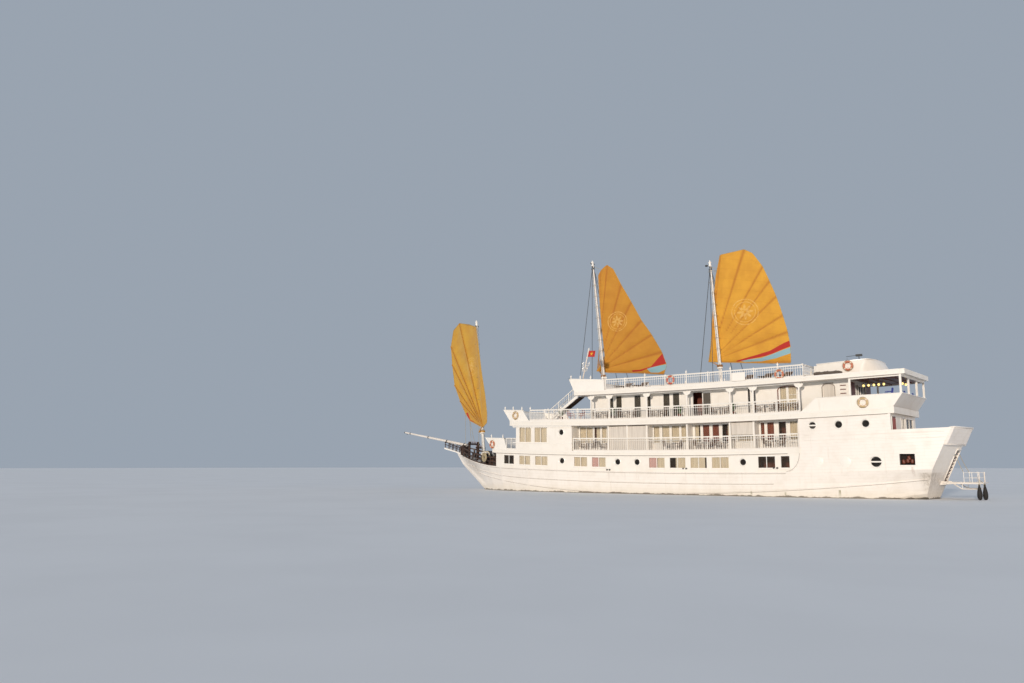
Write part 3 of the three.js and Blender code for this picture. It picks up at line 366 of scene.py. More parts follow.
class Piece:
    """Turns a sketch into a finished object on a body of the frame."""

    @staticmethod
    def link(data: bpy.types.ID, name: str) -> bpy.types.Object:
        """Puts a mesh, camera or lamp into the scene as an object at the origin."""
        made = bpy.data.objects.new(name, data)
        bpy.context.scene.collection.objects.link(made)
        return made

    @staticmethod
    def settle(made: bpy.types.Object, body: str, slot: str) -> bpy.types.Object:
        """Lets an object ride on a body and reports it."""
        if body:
            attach(made, body)
        LOG.info("%s: %d faces", made.name, len(made.data.polygons))
        return made

    @staticmethod
    def make(
        name: str, sketch: Sketch, finishes: Sequence[bpy.types.Material], slot: str,
        body: str = "root", sharp: float = 35, bevel: float = 0,
    ) -> bpy.types.Object:
        """Makes a piece of a sketch.

        Args:
            name: The piece's name.
            sketch: Its faces.
            finishes: Its materials, by the sketch's finish number.
            slot: The record's material slot; not used.
            body: The body it rides on, or "" for none yet.
            sharp: Edges turned by more degrees than this stay sharp.
            bevel: Width of a chamfer on its sharp edges, in real metres.

        Returns:
            The object, at the origin.
        """
        mesh = bpy.data.meshes.new(name)
        mesh.from_pydata([Vector(p) * MODEL_SCALE for p in sketch.points], [], sketch.faces)
        mesh.polygons.foreach_set("material_index", sketch.finish_of)
        for finish in finishes:
            mesh.materials.append(finish)
        solid = bmesh.new()
        solid.from_mesh(mesh)
        bmesh.ops.recalc_face_normals(solid, faces=solid.faces)
        solid.to_mesh(mesh)
        solid.free()
        mesh.shade_smooth()
        mesh.set_sharp_from_angle(angle=math.radians(sharp))
        made = Piece.link(mesh, name)
        if bevel:
            chamfer = made.modifiers.new("chamfer", "BEVEL")
            chamfer.width = bevel * MODEL_SCALE
            chamfer.segments = 1
            chamfer.limit_method = "ANGLE"
            chamfer.angle_limit = math.radians(sharp)
        return Piece.settle(made, body, slot)


class HullSurface:
    """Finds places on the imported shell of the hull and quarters."""

    def __init__(self, nodes: dict[str, bpy.types.Object], names: Sequence[str]) -> None:
        """Gathers the triangles of the named nodes."""
        points: list[Vector] = []
        faces: list[tuple[int, ...]] = []
        for name in names:
            mesh = nodes[name].data
            base = len(points)
            points += [v.co.copy() for v in mesh.vertices]
            faces += [tuple(base + i for i in p.vertices) for p in mesh.polygons]
        self.tree = BVHTree.FromPolygons(points, faces)

    def beam(self, x: float, z: float, side: int, fallback: float = 3.5) -> float:
        """The y of the shell's outer face at x and z on one side."""
        start = Vector((x, 9.0 * side, z)) * MODEL_SCALE
        hit = self.tree.ray_cast(start, Vector((0, -side, 0)))[0]
        return hit.y / MODEL_SCALE if hit else fallback * side


# Finishes


def linear(code: str, alpha: float = 1.0) -> tuple[float, float, float, float]:
    """Turns an sRGB hex colour into linear values.

    Args:
        code: Six hex digits after a hash.
        alpha: The fourth value.

    Returns:
        Linear red, green, blue, and alpha.
    """
    parts = [int(code[i:i + 2], 16) / 255 for i in (1, 3, 5)]
    low = [c / 12.92 if c <= 0.04045 else ((c + 0.055) / 1.055) ** 2.4 for c in parts]
    return (low[0], low[1], low[2], alpha)


def per_metre(millimetres: float) -> float:
    """The texture scale, on the model's metres, of a pattern of that real size."""
    return 1000 / (millimetres * MODEL_SCALE)


Settings = dict[str | int, object]
Source = bpy.types.NodeSocket | bpy.types.Node


class Graph:
    """Draws on a node tree: plain nodes, arithmetic, mixed colours, noise and relief."""

    def __init__(self, tree: bpy.types.NodeTree) -> None:
        """Takes the tree to draw on."""
        self.tree = tree
        self.shader: bpy.types.Node | None = None

    def add(self, kind: str, *inputs: Source | float | Settings) -> bpy.types.Node:
        """Adds a node with its settings and links.

        Args:
            kind: The node's type name, or in capitals the operation of a maths node.
            inputs: Constants or sources in the order of the node's inputs, or tables of
                them by input number, input name or property name.

        Returns:
            The node, which stands for its first output wherever a source is asked for.
        """
        made = self.tree.nodes.new("ShaderNodeMath" if kind.isupper() else kind)
        table: Settings = {"operation": kind} if kind.isupper() else {}
        for index, value in enumerate(inputs):
            table.update(value if isinstance(value, dict) else {index: value})
        for key, value in table.items():
            if isinstance(value, (bpy.types.NodeSocket, bpy.types.Node)):
                self.join(value, made.inputs[key])
            elif isinstance(key, str) and hasattr(made, key):
                setattr(made, key, value)
            else:
                made.inputs[key].default_value = value
        return made

    def join(self, source: Source, target: bpy.types.NodeSocket) -> None:
        """Links a socket, or a node's first output, to an input."""
        self.tree.links.new(source.outputs[0] if isinstance(source, bpy.types.Node) else source, target)

    def feed(self, name: str, source: Source) -> None:
        """Links a socket to an input of the shader."""
        self.join(source, self.shader.inputs[name])

    def fed(self, name: str) -> Source:
        """The socket that feeds an input of the shader."""
        return self.shader.inputs[name].links[0].from_socket

    def hold(self, **values: object) -> None:
        """Sets inputs of the shader, each named with underscores for its spaces."""
        for name, value in values.items():
            self.shader.inputs[name.replace("_", " ")].default_value = value

    def paint(self, factor: Source, low: Source | str, high: Source | str) -> None:
        """Mixes two colours by a factor and feeds them to the shader."""
        self.feed("Base Color", self.blend(factor, low, high))

    def dull(self, mask: Source, low: float, high: float) -> None:
        """Feeds the shader a roughness that runs from low to high over a mask."""
        self.feed("Roughness", self.add("ShaderNodeMapRange", {0: mask, 3: low, 4: high}))

    def place(self, stretch: Point = (1, 1, 1)) -> Source:
        """Object coordinates, squeezed along each axis by stretch."""
        where = self.add("ShaderNodeTexCoord").outputs["Object"]
        return self.add("ShaderNodeMapping", where, {"Scale": stretch})

    def blend(self, factor: Source, low: Source | str, high: Source | str) -> Source:
        """Mixes two colours, each a socket or a hex code, by a factor."""
        first, second = (linear(c) if isinstance(c, str) else c for c in (low, high))
        return self.add("ShaderNodeMix", {"data_type": "RGBA", 0: factor, 6: first, 7: second}).outputs[2]

    def speckle(
        self, size: float, low: float, high: float, stretch: Point = (1, 1, 1), detail: float = 3,
    ) -> Source:
        """Noise of a real size in millimetres, spread from 0 at low to 1 at high."""
        where = self.place(stretch)
        settings: Settings = {"Vector": where, "Scale": per_metre(size), "Detail": detail, "Roughness": 0.6}
        return self.spread(self.add("ShaderNodeTexNoise", settings), low, high)

    def spread(self, value: Source, low: float, high: float) -> Source:
        """Maps low to high onto 0 to 1, held at both ends."""
        return self.add("ShaderNodeMapRange", value, low, high, {"interpolation_type": "SMOOTHSTEP"})

    def emboss(self, height: Source, depth: float, strength: float = 1.0) -> None:
        """Bumps the surface by a height, depth in real millimetres."""
        distance = depth * MODEL_SCALE / 1000
        self.feed(
            "Normal",
            self.add("ShaderNodeBump", {"Height": height, "Strength": strength, "Distance": distance}),
        )


@dataclass(frozen=True)
class Finish:
    """What every finish has: a name, a colour and a roughness."""

    name: str
    colour: str
    roughness: float = 0.5

    def material(self) -> bpy.types.Material:
        """Makes the material with its own node tree."""
        made = bpy.data.materials.new(self.name)
        made.use_nodes = True
        made.diffuse_color = linear(self.colour)
        made.node_tree.nodes.clear()
        graph = Graph(made.node_tree)
        base: Settings = {"Roughness": self.roughness, "Base Color": linear(self.colour)}
        graph.shader = graph.add("ShaderNodeBsdfPrincipled", base)
        graph.add("ShaderNodeOutputMaterial", graph.shader)
        self.dress(graph)
        return made

    def dress(self, graph: Graph) -> None:
        """Adds what this finish shows beyond its colour."""
        raise NotImplementedError


@dataclass(frozen=True)
class Enamel(Finish):
    """Marine enamel brushed on timber: satin, with rain streaks and faint patches."""

    shade: str = "#d9cfbe"
    streaks: float = 0.35

    def dress(self, graph: Graph) -> None:
        """Streaks run down the walls; patches and brush marks break the gloss."""
        patches = graph.speckle(900, 0.42, 0.72)
        runs = graph.speckle(260, 0.52, 0.8, (1, 1, 0.12), 5)
        wear = graph.add("MAXIMUM", graph.add("MULTIPLY", patches, 0.6), runs)
        factor = graph.add("MULTIPLY", wear, self.streaks)
        graph.paint(factor, self.colour, self.shade)
        graph.dull(wear, self.roughness - 0.08, self.roughness + 0.12)
        brush = graph.speckle(22, 0.3, 0.7, (0.15, 0.15, 1), 2)
        graph.emboss(brush, 0.6, 0.5)


@dataclass(frozen=True)
class ShellRun:
    """A darker run down the shell, where it starts, how far and wide it goes: most are rust and weed marks,
    and two paint shade.
    """

    x: float
    top: float
    length: float
    width: float
    strength: float = 1.0
    colour: str = "#8a5a34"


@dataclass(frozen=True)
class HullEnamel(Enamel):
    """Enamel on a planked hull: seams along the sheer, weed at the water, rust runs and runs of painted
    shade.
    """

    weed: str = "#c3b184"
    scum: str = "#4f4433"
    bottom: str = "#6b2b22"
    shell_runs: tuple[ShellRun, ...] = ()
    plank: float = 0.24

    def dress(self, graph: Graph) -> None:
        """Planks follow the sheer, grime gathers at the waterline, rust, weed and painted shade run down."""
        super().dress(graph)
        worn = graph.fed("Base Color")
        where = graph.add("ShaderNodeSeparateXYZ", graph.place((1 / MODEL_SCALE,) * 3))
        x, z = where.outputs[0], where.outputs[2]
        run = graph.add("POWER", graph.add("ABSOLUTE", graph.add("ADD", x, 2.0)), 2.0)
        course = graph.add("SUBTRACT", z, graph.add("MULTIPLY", run, 0.0012))
        part = graph.add("FRACT", graph.add("DIVIDE", course, self.plank))
        away = graph.add("ABSOLUTE", graph.add("SUBTRACT", part, 0.5))
        seam = graph.spread(away, 0.46, 0.5)
        colour = graph.blend(graph.add("MULTIPLY", seam, 0.4), worn, self.shade)
        for shell_run in self.shell_runs:
            colour = graph.blend(self.run_down(graph, x, z, shell_run), colour, shell_run.colour)
        wave = graph.speckle(700, 0.3, 0.7, (1, 1, 0.5))
        level = graph.add("SUBTRACT", z, graph.add("MULTIPLY", wave, 0.12))
        grime = graph.add("ShaderNodeMapRange", level, 0.75, 0.0, 0.0, 0.26)
        colour = graph.blend(grime, colour, self.weed)
        line = graph.add("MULTIPLY", graph.spread(level, 0.07, 0.01), 0.8)
        colour = graph.blend(line, colour, self.scum)
        below = graph.spread(z, -0.05, -0.09)
        graph.paint(below, colour, self.bottom)
        brush = graph.fed("Normal").node
        brush.inputs["Distance"].default_value = 0.004
        graph.join(graph.add("SUBTRACT", 1.0, seam), brush.inputs["Height"])

    @staticmethod
    def run_down(graph: Graph, x: Source, z: Source, shell_run: ShellRun) -> Source:
        """The mask of one run, strongest at its head and fraying below."""
        fray = graph.add("MULTIPLY", graph.speckle(120, 0.3, 0.7, (1, 1, 0.2)), 0.7)
        away = graph.add("ABSOLUTE", graph.add("SUBTRACT", x, shell_run.x))
        across = graph.spread(away, shell_run.width, shell_run.width * 0.25)
        start = graph.spread(z, shell_run.top + 0.02, shell_run.top - 0.05)
        end = graph.spread(z, shell_run.top - shell_run.length, shell_run.top - shell_run.length * 0.2)
        mask = graph.add("MULTIPLY", across, graph.add("MULTIPLY", start, end))
        thin = graph.add("SUBTRACT", 1.0, fray)
        return graph.add("MULTIPLY", mask, graph.add("MULTIPLY", thin, shell_run.strength))


@dataclass(frozen=True)
class DeckEnamel(Enamel):
    """A deck slab: white edges and ceiling, worn boards on top."""

    board: str = "#8d7358"
    dark: str = "#57422f"
    width: float = 110.0

    def dress(self, graph: Graph) -> None:
        """Boards with dark caulked seams lie wherever the slab faces up."""
        super().dress(graph)
        worn = graph.fed("Base Color")
        settings: Settings = {
            "Scale": 1.0, "Color1": linear(self.board), "Color2": linear("#a08566"),
            "Mortar": linear(self.dark), "Mortar Size": 0.006 * MODEL_SCALE, "Mortar Smooth": 0.2,
            "Brick Width": 3.0 * MODEL_SCALE, "Row Height": self.width / 1000 * MODEL_SCALE,
        }
        boards = graph.add("ShaderNodeTexBrick", graph.place(), settings)
        grain = graph.speckle(60, 0.3, 0.75, (0.06, 1, 1), 5)
        wood = graph.blend(graph.add("MULTIPLY", grain, 0.45), boards.outputs["Color"], self.dark)
        normal = graph.add("ShaderNodeNewGeometry")
        up = graph.add("ShaderNodeSeparateXYZ", normal.outputs["Normal"])
        top = graph.spread(up.outputs[2], 0.6, 0.8)
        graph.paint(top, worn, wood)


@dataclass(frozen=True)
class Timber(Finish):
    """Stained hardwood: long grain, paler where its dark colour has worn through."""

    pale: str = "#7a5138"
    grain: Point = (0.08, 1, 1)

    def dress(self, graph: Graph) -> None:
        """Grain runs along the piece and lifts the surface a little."""
        lines = graph.speckle(30, 0.35, 0.75, self.grain, 6)
        worn = graph.speckle(350, 0.5, 0.8)
        factor = graph.add("ADD", graph.add("MULTIPLY", lines, 0.4), graph.add("MULTIPLY", worn, 0.35))
        graph.paint(factor, self.colour, self.pale)
        graph.emboss(lines, 1.5, 0.6)


@dataclass(frozen=True)
class Metal(Finish):
    """Bare or plated metal with handling marks: bronze, wire, stainless steel."""

    metallic: float = 1.0
    shade: str = "#4a4a48"
    patina: float = 0.4

    def dress(self, graph: Graph) -> None:
        """Patina gathers in patches and dulls the shine."""
        graph.hold(Metallic=self.metallic)
        spots = graph.speckle(90, 0.4, 0.75)
        factor = graph.add("MULTIPLY", spots, self.patina)
        graph.paint(factor, self.colour, self.shade)
        graph.dull(spots, self.roughness, min(1.0, self.roughness + 0.25))


@dataclass(frozen=True)
class Glass(Finish):
    """Window glass: dark and glossy, with a little of the room behind showing."""

    alpha: float = 0.55

    def dress(self, graph: Graph) -> None:
        """Salt dust breaks the gloss in faint patches."""
        graph.hold(Alpha=self.alpha)
        graph.hold(IOR=1.52)
        dust = graph.speckle(300, 0.45, 0.8)
        graph.paint(graph.add("MULTIPLY", dust, 0.2), self.colour, "#8a8a84")
        graph.dull(dust, self.roughness, self.roughness + 0.15)


@dataclass(frozen=True)
class Cloth(Finish):
    """Woven cloth: soft folds and a thread pattern drawn coarse enough to show."""

    shade: str = "#9a8a68"
    thread: float = 14.0
    sheen: float = 0.3

    def dress(self, graph: Graph) -> None:
        """Fold shadows run down the cloth over its weave."""
        graph.hold(Sheen_Weight=self.sheen)
        folds = graph.speckle(110, 0.35, 0.7, (1, 1, 0.05))
        graph.paint(graph.add("MULTIPLY", folds, 0.45), self.colour, self.shade)
        weave = graph.speckle(self.thread, 0.3, 0.7, detail=1)
        graph.emboss(weave, 1.2, 0.5)


@dataclass(frozen=True)
class Plain(Finish):
    """Moulded rubber, plastic, leaves and rope: mottled colour on a fine grain."""

    shade: str = "#808080"
    mottle: float = 60.0
    amount: float = 0.5
    relief: float = 1.5
    stretch: Point = (1, 1, 1)

    def dress(self, graph: Graph) -> None:
        """Mottling in colour and relief at one real size."""
        spots = graph.speckle(self.mottle, 0.35, 0.7, self.stretch)
        graph.paint(graph.add("MULTIPLY", spots, self.amount), self.colour, self.shade)
        graph.emboss(spots, self.relief, 0.6)


@dataclass(frozen=True)
class SailCloth(Finish):
    """Dyed canvas in sewn panels: puffs catch the light, and painted shade darkens the dips at the battens.
    """

    # The colour of the painted shade in the dips, also the dark end of the weathering and of the seams.
    valley_shade: str = "#a8641a"
    pale: str = "#e9c072"
    red: str = "#b3261c"
    blue: str = "#8db4be"
    centre: tuple[float, float] = (2.0, 6.5)
    radius: float = 0.95
    panel: float = 0.9

    def dress(self, graph: Graph) -> None:
        """Seams, weather, painted shade in the dips, corner bands and a plain rosette, laid out in the sail's
        own metres.
        """
        graph.hold(Sheen_Weight=0.25)
        flat = graph.add("ShaderNodeUVMap", {"uv_map": "cloth"})
        axes = graph.add("ShaderNodeSeparateXYZ", flat)
        along, up = axes.outputs[0], axes.outputs[1]
        # The attribute read here is painted shade, darkest where the canvas dips to a batten.
        fold = graph.add("ShaderNodeAttribute", {"attribute_name": "valley_shade"}).outputs["Fac"]
        weather = graph.speckle(1400, 0.35, 0.7)
        tone = graph.blend(graph.add("MULTIPLY", weather, 0.28), self.colour, self.valley_shade)
        tone = graph.blend(graph.add("MULTIPLY", fold, 0.72), tone, self.valley_shade)
        slant = graph.add("ADD", up, graph.add("MULTIPLY", along, 0.25))
        part = graph.add("FRACT", graph.add("DIVIDE", slant, self.panel))
        edge = graph.add("ABSOLUTE", graph.add("SUBTRACT", part, 0.5))
        seam = graph.spread(edge, 0.47, 0.495)
        tone = graph.blend(graph.add("MULTIPLY", seam, 0.22), tone, self.valley_shade)
        for name, colour in (("blue", self.blue), ("red", self.red)):
            inside = graph.add("ShaderNodeAttribute", {"attribute_name": name}).outputs["Fac"]
            tone = graph.blend(graph.spread(inside, -0.02, 0.02), tone, colour)
        mark = graph.add("MULTIPLY", self.rosette(graph, along, up), 0.5)
        graph.paint(mark, tone, self.pale)
        weave = graph.speckle(16, 0.3, 0.7, detail=1)
        height = graph.add("ADD", graph.add("MULTIPLY", weave, 0.25), seam)
        graph.emboss(height, 5, 0.6)

    def rosette(self, graph: Graph, along: Source, up: Source) -> Source:
        """A plain double ring round eight petals, rubbed thin in places."""
        u = graph.add("SUBTRACT", along, self.centre[0])
        v = graph.add("SUBTRACT", up, self.centre[1])
        square = graph.add("ADD", graph.add("POWER", u, 2.0), graph.add("POWER", v, 2.0))
        away = graph.add("DIVIDE", graph.add("SQRT", square), self.radius)
        turn = graph.add("MULTIPLY", graph.add("ARCTAN2", v, u), 8.0)
        petal = graph.add("MULTIPLY", graph.add("COSINE", turn), 0.17)
        mask = graph.spread(graph.add("SUBTRACT", away, petal), 0.46, 0.4)
        for ring, width in ((0.96, 0.05), (0.76, 0.035)):
            off = graph.add("ABSOLUTE", graph.add("SUBTRACT", away, ring))
            mask = graph.add("MAXIMUM", mask, graph.spread(off, width, width * 0.6))
        hub = graph.spread(away, 0.12, 0.09)
        mask = graph.add("SUBTRACT", mask, hub)
        rubbed = graph.speckle(180, 0.3, 0.55)
        return graph.add("MULTIPLY", mask, rubbed)


@dataclass(frozen=True)
class Glow(Finish):
    """A lamp shade of opal glass, lit from inside."""

    strength: float = 1.5

    def dress(self, graph: Graph) -> None:
        """The shade glows evenly and is a little cloudy."""
        graph.hold(Emission_Color=linear(self.colour))
        graph.hold(Emission_Strength=self.strength)
        cloud = graph.speckle(80, 0.3, 0.7)
        graph.paint(cloud, self.colour, "#e9d9a8")


class Palette:
    """Every material of the ship, made once."""

    def __init__(self) -> None:
        """Makes the materials."""
        weed = "#6d6a3a"
        shell_runs = (
            ShellRun(-15.21, 0.62, 0.7, 0.13, 1.0, weed), ShellRun(-11.27, 0.4, 0.45, 0.09, 0.8, weed),
            ShellRun(-8.6, 0.42, 0.45, 0.11, 0.7, weed), ShellRun(-20.3, 2.3, 1.0, 0.14, 0.35),
            # The wide grey-brown run at the stern's lower turn paints shade, and the wide grey run at the bow
            # paints the bow's shade over weathered streaks.
            ShellRun(-21.2, 1.9, 1.9, 0.75, 0.6, "#8d7c64"), ShellRun(21.6, 2.5, 1.3, 0.1, 0.4),
            ShellRun(22.4, 3.3, 3.2, 2.2, 0.55, "#9f9587"),
            ShellRun(2.6, 1.85, 0.9, 0.1, 0.12), ShellRun(-3.1, 1.95, 1.0, 0.1, 0.15),
            ShellRun(4.2, 1.8, 0.9, 0.1, 0.15),
        )
        self.hull = HullEnamel("hull_enamel", "#f4ede4", 0.42, shade="#cfc3b0", shell_runs=shell_runs).material()
        self.enamel = Enamel("house_enamel", "#f4eee4", 0.4, shade="#d9cebc").material()
        self.trim = Enamel("trim_enamel", "#f6f1e8", 0.3, shade="#ddd3c3", streaks=0.25).material()
        self.grey = Enamel("shaded_panel_enamel", "#e6ded4", 0.5, shade="#c2b5a4", streaks=0.5).material()
        self.deck = DeckEnamel("deck_slab", "#f1ebe0", 0.45, shade="#d5cab8").material()
        self.timber = Timber("stained_hardwood", "#2e211a", 0.55).material()
        self.batten = Timber("varnished_bamboo", "#8f5f2c", 0.5, pale="#b98a4a", grain=(1, 1, 0.1)).material()
        self.cabin = Timber("rosewood_joinery", "#6a3424", 0.45, pale="#8b5136", grain=(1, 1, 0.1)).material()
        self.door = Timber("painted_door", "#9b3f31", 0.45, pale="#b25a49", grain=(1, 1, 0.1)).material()
        self.wire = Metal("galvanised_wire", "#6f7376", 0.45, shade="#3d4043").material()
        self.steel = Metal("polished_stainless_steel", "#c9ccce", 0.25, shade="#8d9194").material()
        self.bronze = Metal("cast_bronze", "#a87a3c", 0.35, shade="#5b5a3a", patina=0.6).material()
        self.oxide = Plain("antifouling_paint", "#6b2b22", 0.7, shade="#4a211c", mottle=200).material()
        self.rubber = Plain("black_rubber", "#1c1a19", 0.75, shade="#35302c", mottle=120).material()
        self.rope = Plain(
            "laid_rope", "#b7a888", 0.85, shade="#7d6f55", mottle=30, relief=6, stretch=(1, 1, 0.5),
        ).material()
        self.leaf = Plain("glossy_leaf", "#4f7a2c", 0.45, shade="#27461a", mottle=90, amount=0.8).material()
        self.clay = Plain("glazed_pot", "#8a4a33", 0.35, shade="#5f3226", mottle=80).material()
        self.orange = Plain("buoy_shell", "#c97452", 0.4, shade="#b0654a", mottle=150, relief=0.5).material()
        self.buoy_white = Plain(
            "buoy_shell_white", "#e4cdb6", 0.4, shade="#cfb398", mottle=150, relief=0.5,
        ).material()
        self.buoy_tan = Plain(
            "buoy_shell_faded", "#cbb083", 0.5, shade="#b3946a", mottle=150, relief=0.5,
        ).material()
        self.cane = Timber("woven_cane", "#5a3d28", 0.6, pale="#8f6a48", grain=(1, 1, 1)).material()
        self.blue_cane = Timber("lacquered_cane", "#2c3d94", 0.5, pale="#4a59ad", grain=(1, 1, 1)).material()
        self.red_shell = Plain(
            "buoy_shell_red", "#c4503a", 0.4, shade="#dba292", mottle=220, relief=0.5,
        ).material()
        self.gear = Metal("painted_iron", "#4b4a48", 0.5, metallic=0.3, shade="#2f2c2a").material()
        self.pale = Timber("bare_hardwood", "#d4c5a3", 0.6, pale="#b8a47c", grain=(1, 1, 1)).material()
        self.awning = Timber("tarred_case", "#5a5048", 0.8, pale="#7b7066", grain=(0.1, 1, 1)).material()
        self.gold_batten = Timber("pale_bamboo", "#c08a36", 0.5, pale="#d2a052", grain=(1, 1, 0.1)).material()
        self.smoked = Glass("smoked_glass", "#5d554a", 0.08, alpha=1.0).material()
        # Painted shadow: the grey of the thin strips under the wales and deck slabs and beside the quarter's
        # edge; the panel's arched frame takes it too.
        self.seam = Enamel("paint_shadow_line", "#a2968a", 0.6, shade="#857a6e", streaks=0.5).material()
        self.curtain = Cloth("curtain_linen", "#f0e2c6", 0.9, shade="#cdb68e").material()
        self.rose_curtain = Cloth("rose_curtain_linen", "#ecc4ba", 0.9, shade="#c99a8c").material()
        self.brown_curtain = Cloth("brown_curtain_linen", "#94492f", 0.9, shade="#5f2c1d").material()
        self.screen = Cloth("screen_cloth", "#dbd2c6", 0.9, shade="#b5aa9c", thread=20).material()
        self.flag_red = Cloth("flag_cloth", "#c2261b", 0.8, shade="#8a1912").material()
        self.flag_gold = Cloth("flag_star_cloth", "#eab92e", 0.8, shade="#c4912a").material()
        self.glass = Glass("dark_window_glass", "#2a241e", 0.06, alpha=0.5).material()
        self.clear = Glass("clear_window_glass", "#6a6257", 0.05, alpha=0.12).material()
        self.lamp = Glow("opal_lamp_glass", "#f0d27c", 0.15).material()
        # Painted shade: the near-black backing inside the mooring ports and the risers of the boarding steps.
        self.shadow = Plain("painted_shade_backing", "#2a2320", 0.9, shade="#1a1513", mottle=400).material()
        self.floor = Plain(
            "studio_floor", "#e4e6e8", 0.9, shade="#dcdee0", mottle=9000, relief=0.1,
        ).material()

    @staticmethod
    def sail(rig: Rig) -> bpy.types.Material:
        """The canvas of one sail, with its own dye and rosette."""
        return SailCloth(
            f"{rig.name}_canvas", rig.dye, 0.8, centre=rig.mark, radius=rig.mark_radius,
        ).material()


# Things repeated along a line


class Item(Enum):
    """What a row repeats."""

    BALUSTER = "baluster"
    BLOCK = "block"
    BALL = "ball"


@dataclass
class Row:
    """Items set at an even pitch along lines, by Geometry Nodes."""

    item: Item
    pitch: float
    width: float
    height: float
    lift: float = 0.0

    def tree(self, finish: bpy.types.Material) -> bpy.types.NodeTree:
        """Builds the node tree of this row.

        Args:
            finish: The items' material.

        Returns:
            A tree with inputs for the geometry, pitch, width, height and lift.
        """
        made = bpy.data.node_groups.new(f"row_of_{self.item.value}s", "GeometryNodeTree")
        made.interface.new_socket("Geometry", in_out="INPUT", socket_type="NodeSocketGeometry")
        for name in ("Pitch", "Width", "Height", "Lift"):
            made.interface.new_socket(name, in_out="INPUT", socket_type="NodeSocketFloat")
        made.interface.new_socket("Geometry", in_out="OUTPUT", socket_type="NodeSocketGeometry")
        graph = Graph(made)
        given = graph.add("NodeGroupInput")
        pitch, width, height, lift = (given.outputs[n] for n in ("Pitch", "Width", "Height", "Lift"))
        line = graph.add("GeometryNodeMeshToCurve", given.outputs["Geometry"])
        places = graph.add("GeometryNodeCurveToPoints", line, {"mode": "LENGTH", "Length": pitch})
        item = self.model(graph, width, height)
        offset = graph.add("ShaderNodeCombineXYZ", {2: lift})
        seated = graph.add("GeometryNodeTransform", item, {"Translation": offset})
        tangent = places.outputs["Tangent"]
        level = graph.add("ShaderNodeVectorMath", tangent, {1: (1, 1, 0), "operation": "MULTIPLY"})
        heading: Settings = {"Vector": level, "axis": "X", "pivot_axis": "Z"}
        turn = graph.add("FunctionNodeAlignEulerToVector", heading)
        spread = graph.add("GeometryNodeInstanceOnPoints", places, {"Instance": seated, "Rotation": turn})
        real = graph.add("GeometryNodeRealizeInstances", spread)
        graph.add("NodeGroupOutput", graph.add("GeometryNodeSetMaterial", real, {"Material": finish}))
        return made

    def model(self, graph: Graph, width: Source, height: Source) -> Source:
        """The item itself, standing on the line."""
        if self.item is Item.BLOCK:
            return graph.add("GeometryNodeMeshCube", graph.add("ShaderNodeCombineXYZ", width, width, height))
        if self.item is Item.BALL:
            return graph.add("GeometryNodeMeshUVSphere", {"Segments": 10, "Rings": 6, "Radius": width})
        stem = graph.add("GeometryNodeMeshCylinder", {"Vertices": 6, "Radius": width, "Depth": height})
        girth = graph.add("MULTIPLY", width, 2.0)
        bead = graph.add("GeometryNodeMeshUVSphere", {"Segments": 6, "Rings": 4, "Radius": girth})
        cone: Settings = {"Vertices": 6, "Radius Top": 0.002, "Radius Bottom": girth}
        foot = graph.add("GeometryNodeMeshCone", cone, {"Depth": graph.add("MULTIPLY", height, 0.35)})
        drop = graph.add("ShaderNodeCombineXYZ", {2: graph.add("MULTIPLY", height, -0.5)})
        seated = graph.add("GeometryNodeTransform", foot, {"Translation": drop})
        both = graph.add("GeometryNodeJoinGeometry")
        for part in (stem, bead, seated):
            graph.join(part, both.inputs[0])
        return both

    def along(
        self, name: str, lines: Sequence[Sequence[Point]], finish: bpy.types.Material,
        slot: str, body: str = "root",
    ) -> bpy.types.Object:
        """Sets the items along lines and makes them one plain mesh.

        Args:
            name: The piece's name.
            lines: Each a row of points in real metres.
            finish: The items' material.
            slot: The record's material slot; not used.
            body: The body the piece rides on.

        Returns:
            The finished piece.
        """
        points = [Vector(p) * MODEL_SCALE for line in lines for p in line]
        edges = []
        start = 0
        for line in lines:
            edges += [(start + i, start + i + 1) for i in range(len(line) - 1)]
            start += len(line)
        mesh = bpy.data.meshes.new(name)
        mesh.from_pydata(points, edges, [])
        made = Piece.link(mesh, name)
        tree = self.tree(finish)
        nodes = made.modifiers.new("row", "NODES")
        nodes.node_group = tree
        sizes = {"Pitch": self.pitch, "Width": self.width, "Height": self.height, "Lift": self.lift}
        for socket in tree.interface.items_tree:
            if socket.name in sizes:
                nodes[socket.identifier] = sizes[socket.name] * MODEL_SCALE
        ready = made.evaluated_get(bpy.context.evaluated_depsgraph_get())
        plain = bpy.data.meshes.new_from_object(ready)
        made.modifiers.remove(nodes)
        made.data = plain
        made.data.shade_smooth()
        made.data.set_sharp_from_angle(angle=math.radians(50))
        return Piece.settle(made, body, slot)


# The ship's parts


@dataclass
class Frame:
    """What every part needs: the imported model, the finishes and the shell's shape."""

    nodes: dict[str, bpy.types.Object]
    palette: Palette
    hull: HullSurface

    def dress(self, finish: bpy.types.Material, *names: str) -> None:
        """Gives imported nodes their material."""
        for name in names:
            mesh = self.nodes[name].data
            mesh.materials.clear()
            mesh.materials.append(finish)


@dataclass(frozen=True)
class Rig:
    """One mast with its sail: sizes in the mast's own frame, u along the boom and v up the mast."""

    name: str
    foot: Point
    rake: float
    boom: float
    outline: tuple[tuple[float, float], ...]
    tack: int
    battens: tuple[int, ...]
    yard: int
    mark: tuple[float, float]
    mark_radius: float
    red: tuple[tuple[float, float], ...]
    blue: tuple[tuple[float, float], ...]
    mast_length: float
    mast_radius: float
    dye: str
    # How strongly the painted shade in the dips shows on this sail.
    crease: float

    def turn(self) -> Matrix:
        """From the mast's frame to the ship's."""
        lean = Matrix.Rotation(math.radians(self.rake), 4, "Y")
        return Matrix.Translation(self.foot) @ lean @ Matrix.Rotation(math.radians(self.boom), 4, "Z")

    def world(self, u: float, y: float, v: float) -> Vector:
        """A place in the ship's frame."""
        return self.turn() @ Vector((u, y, v))


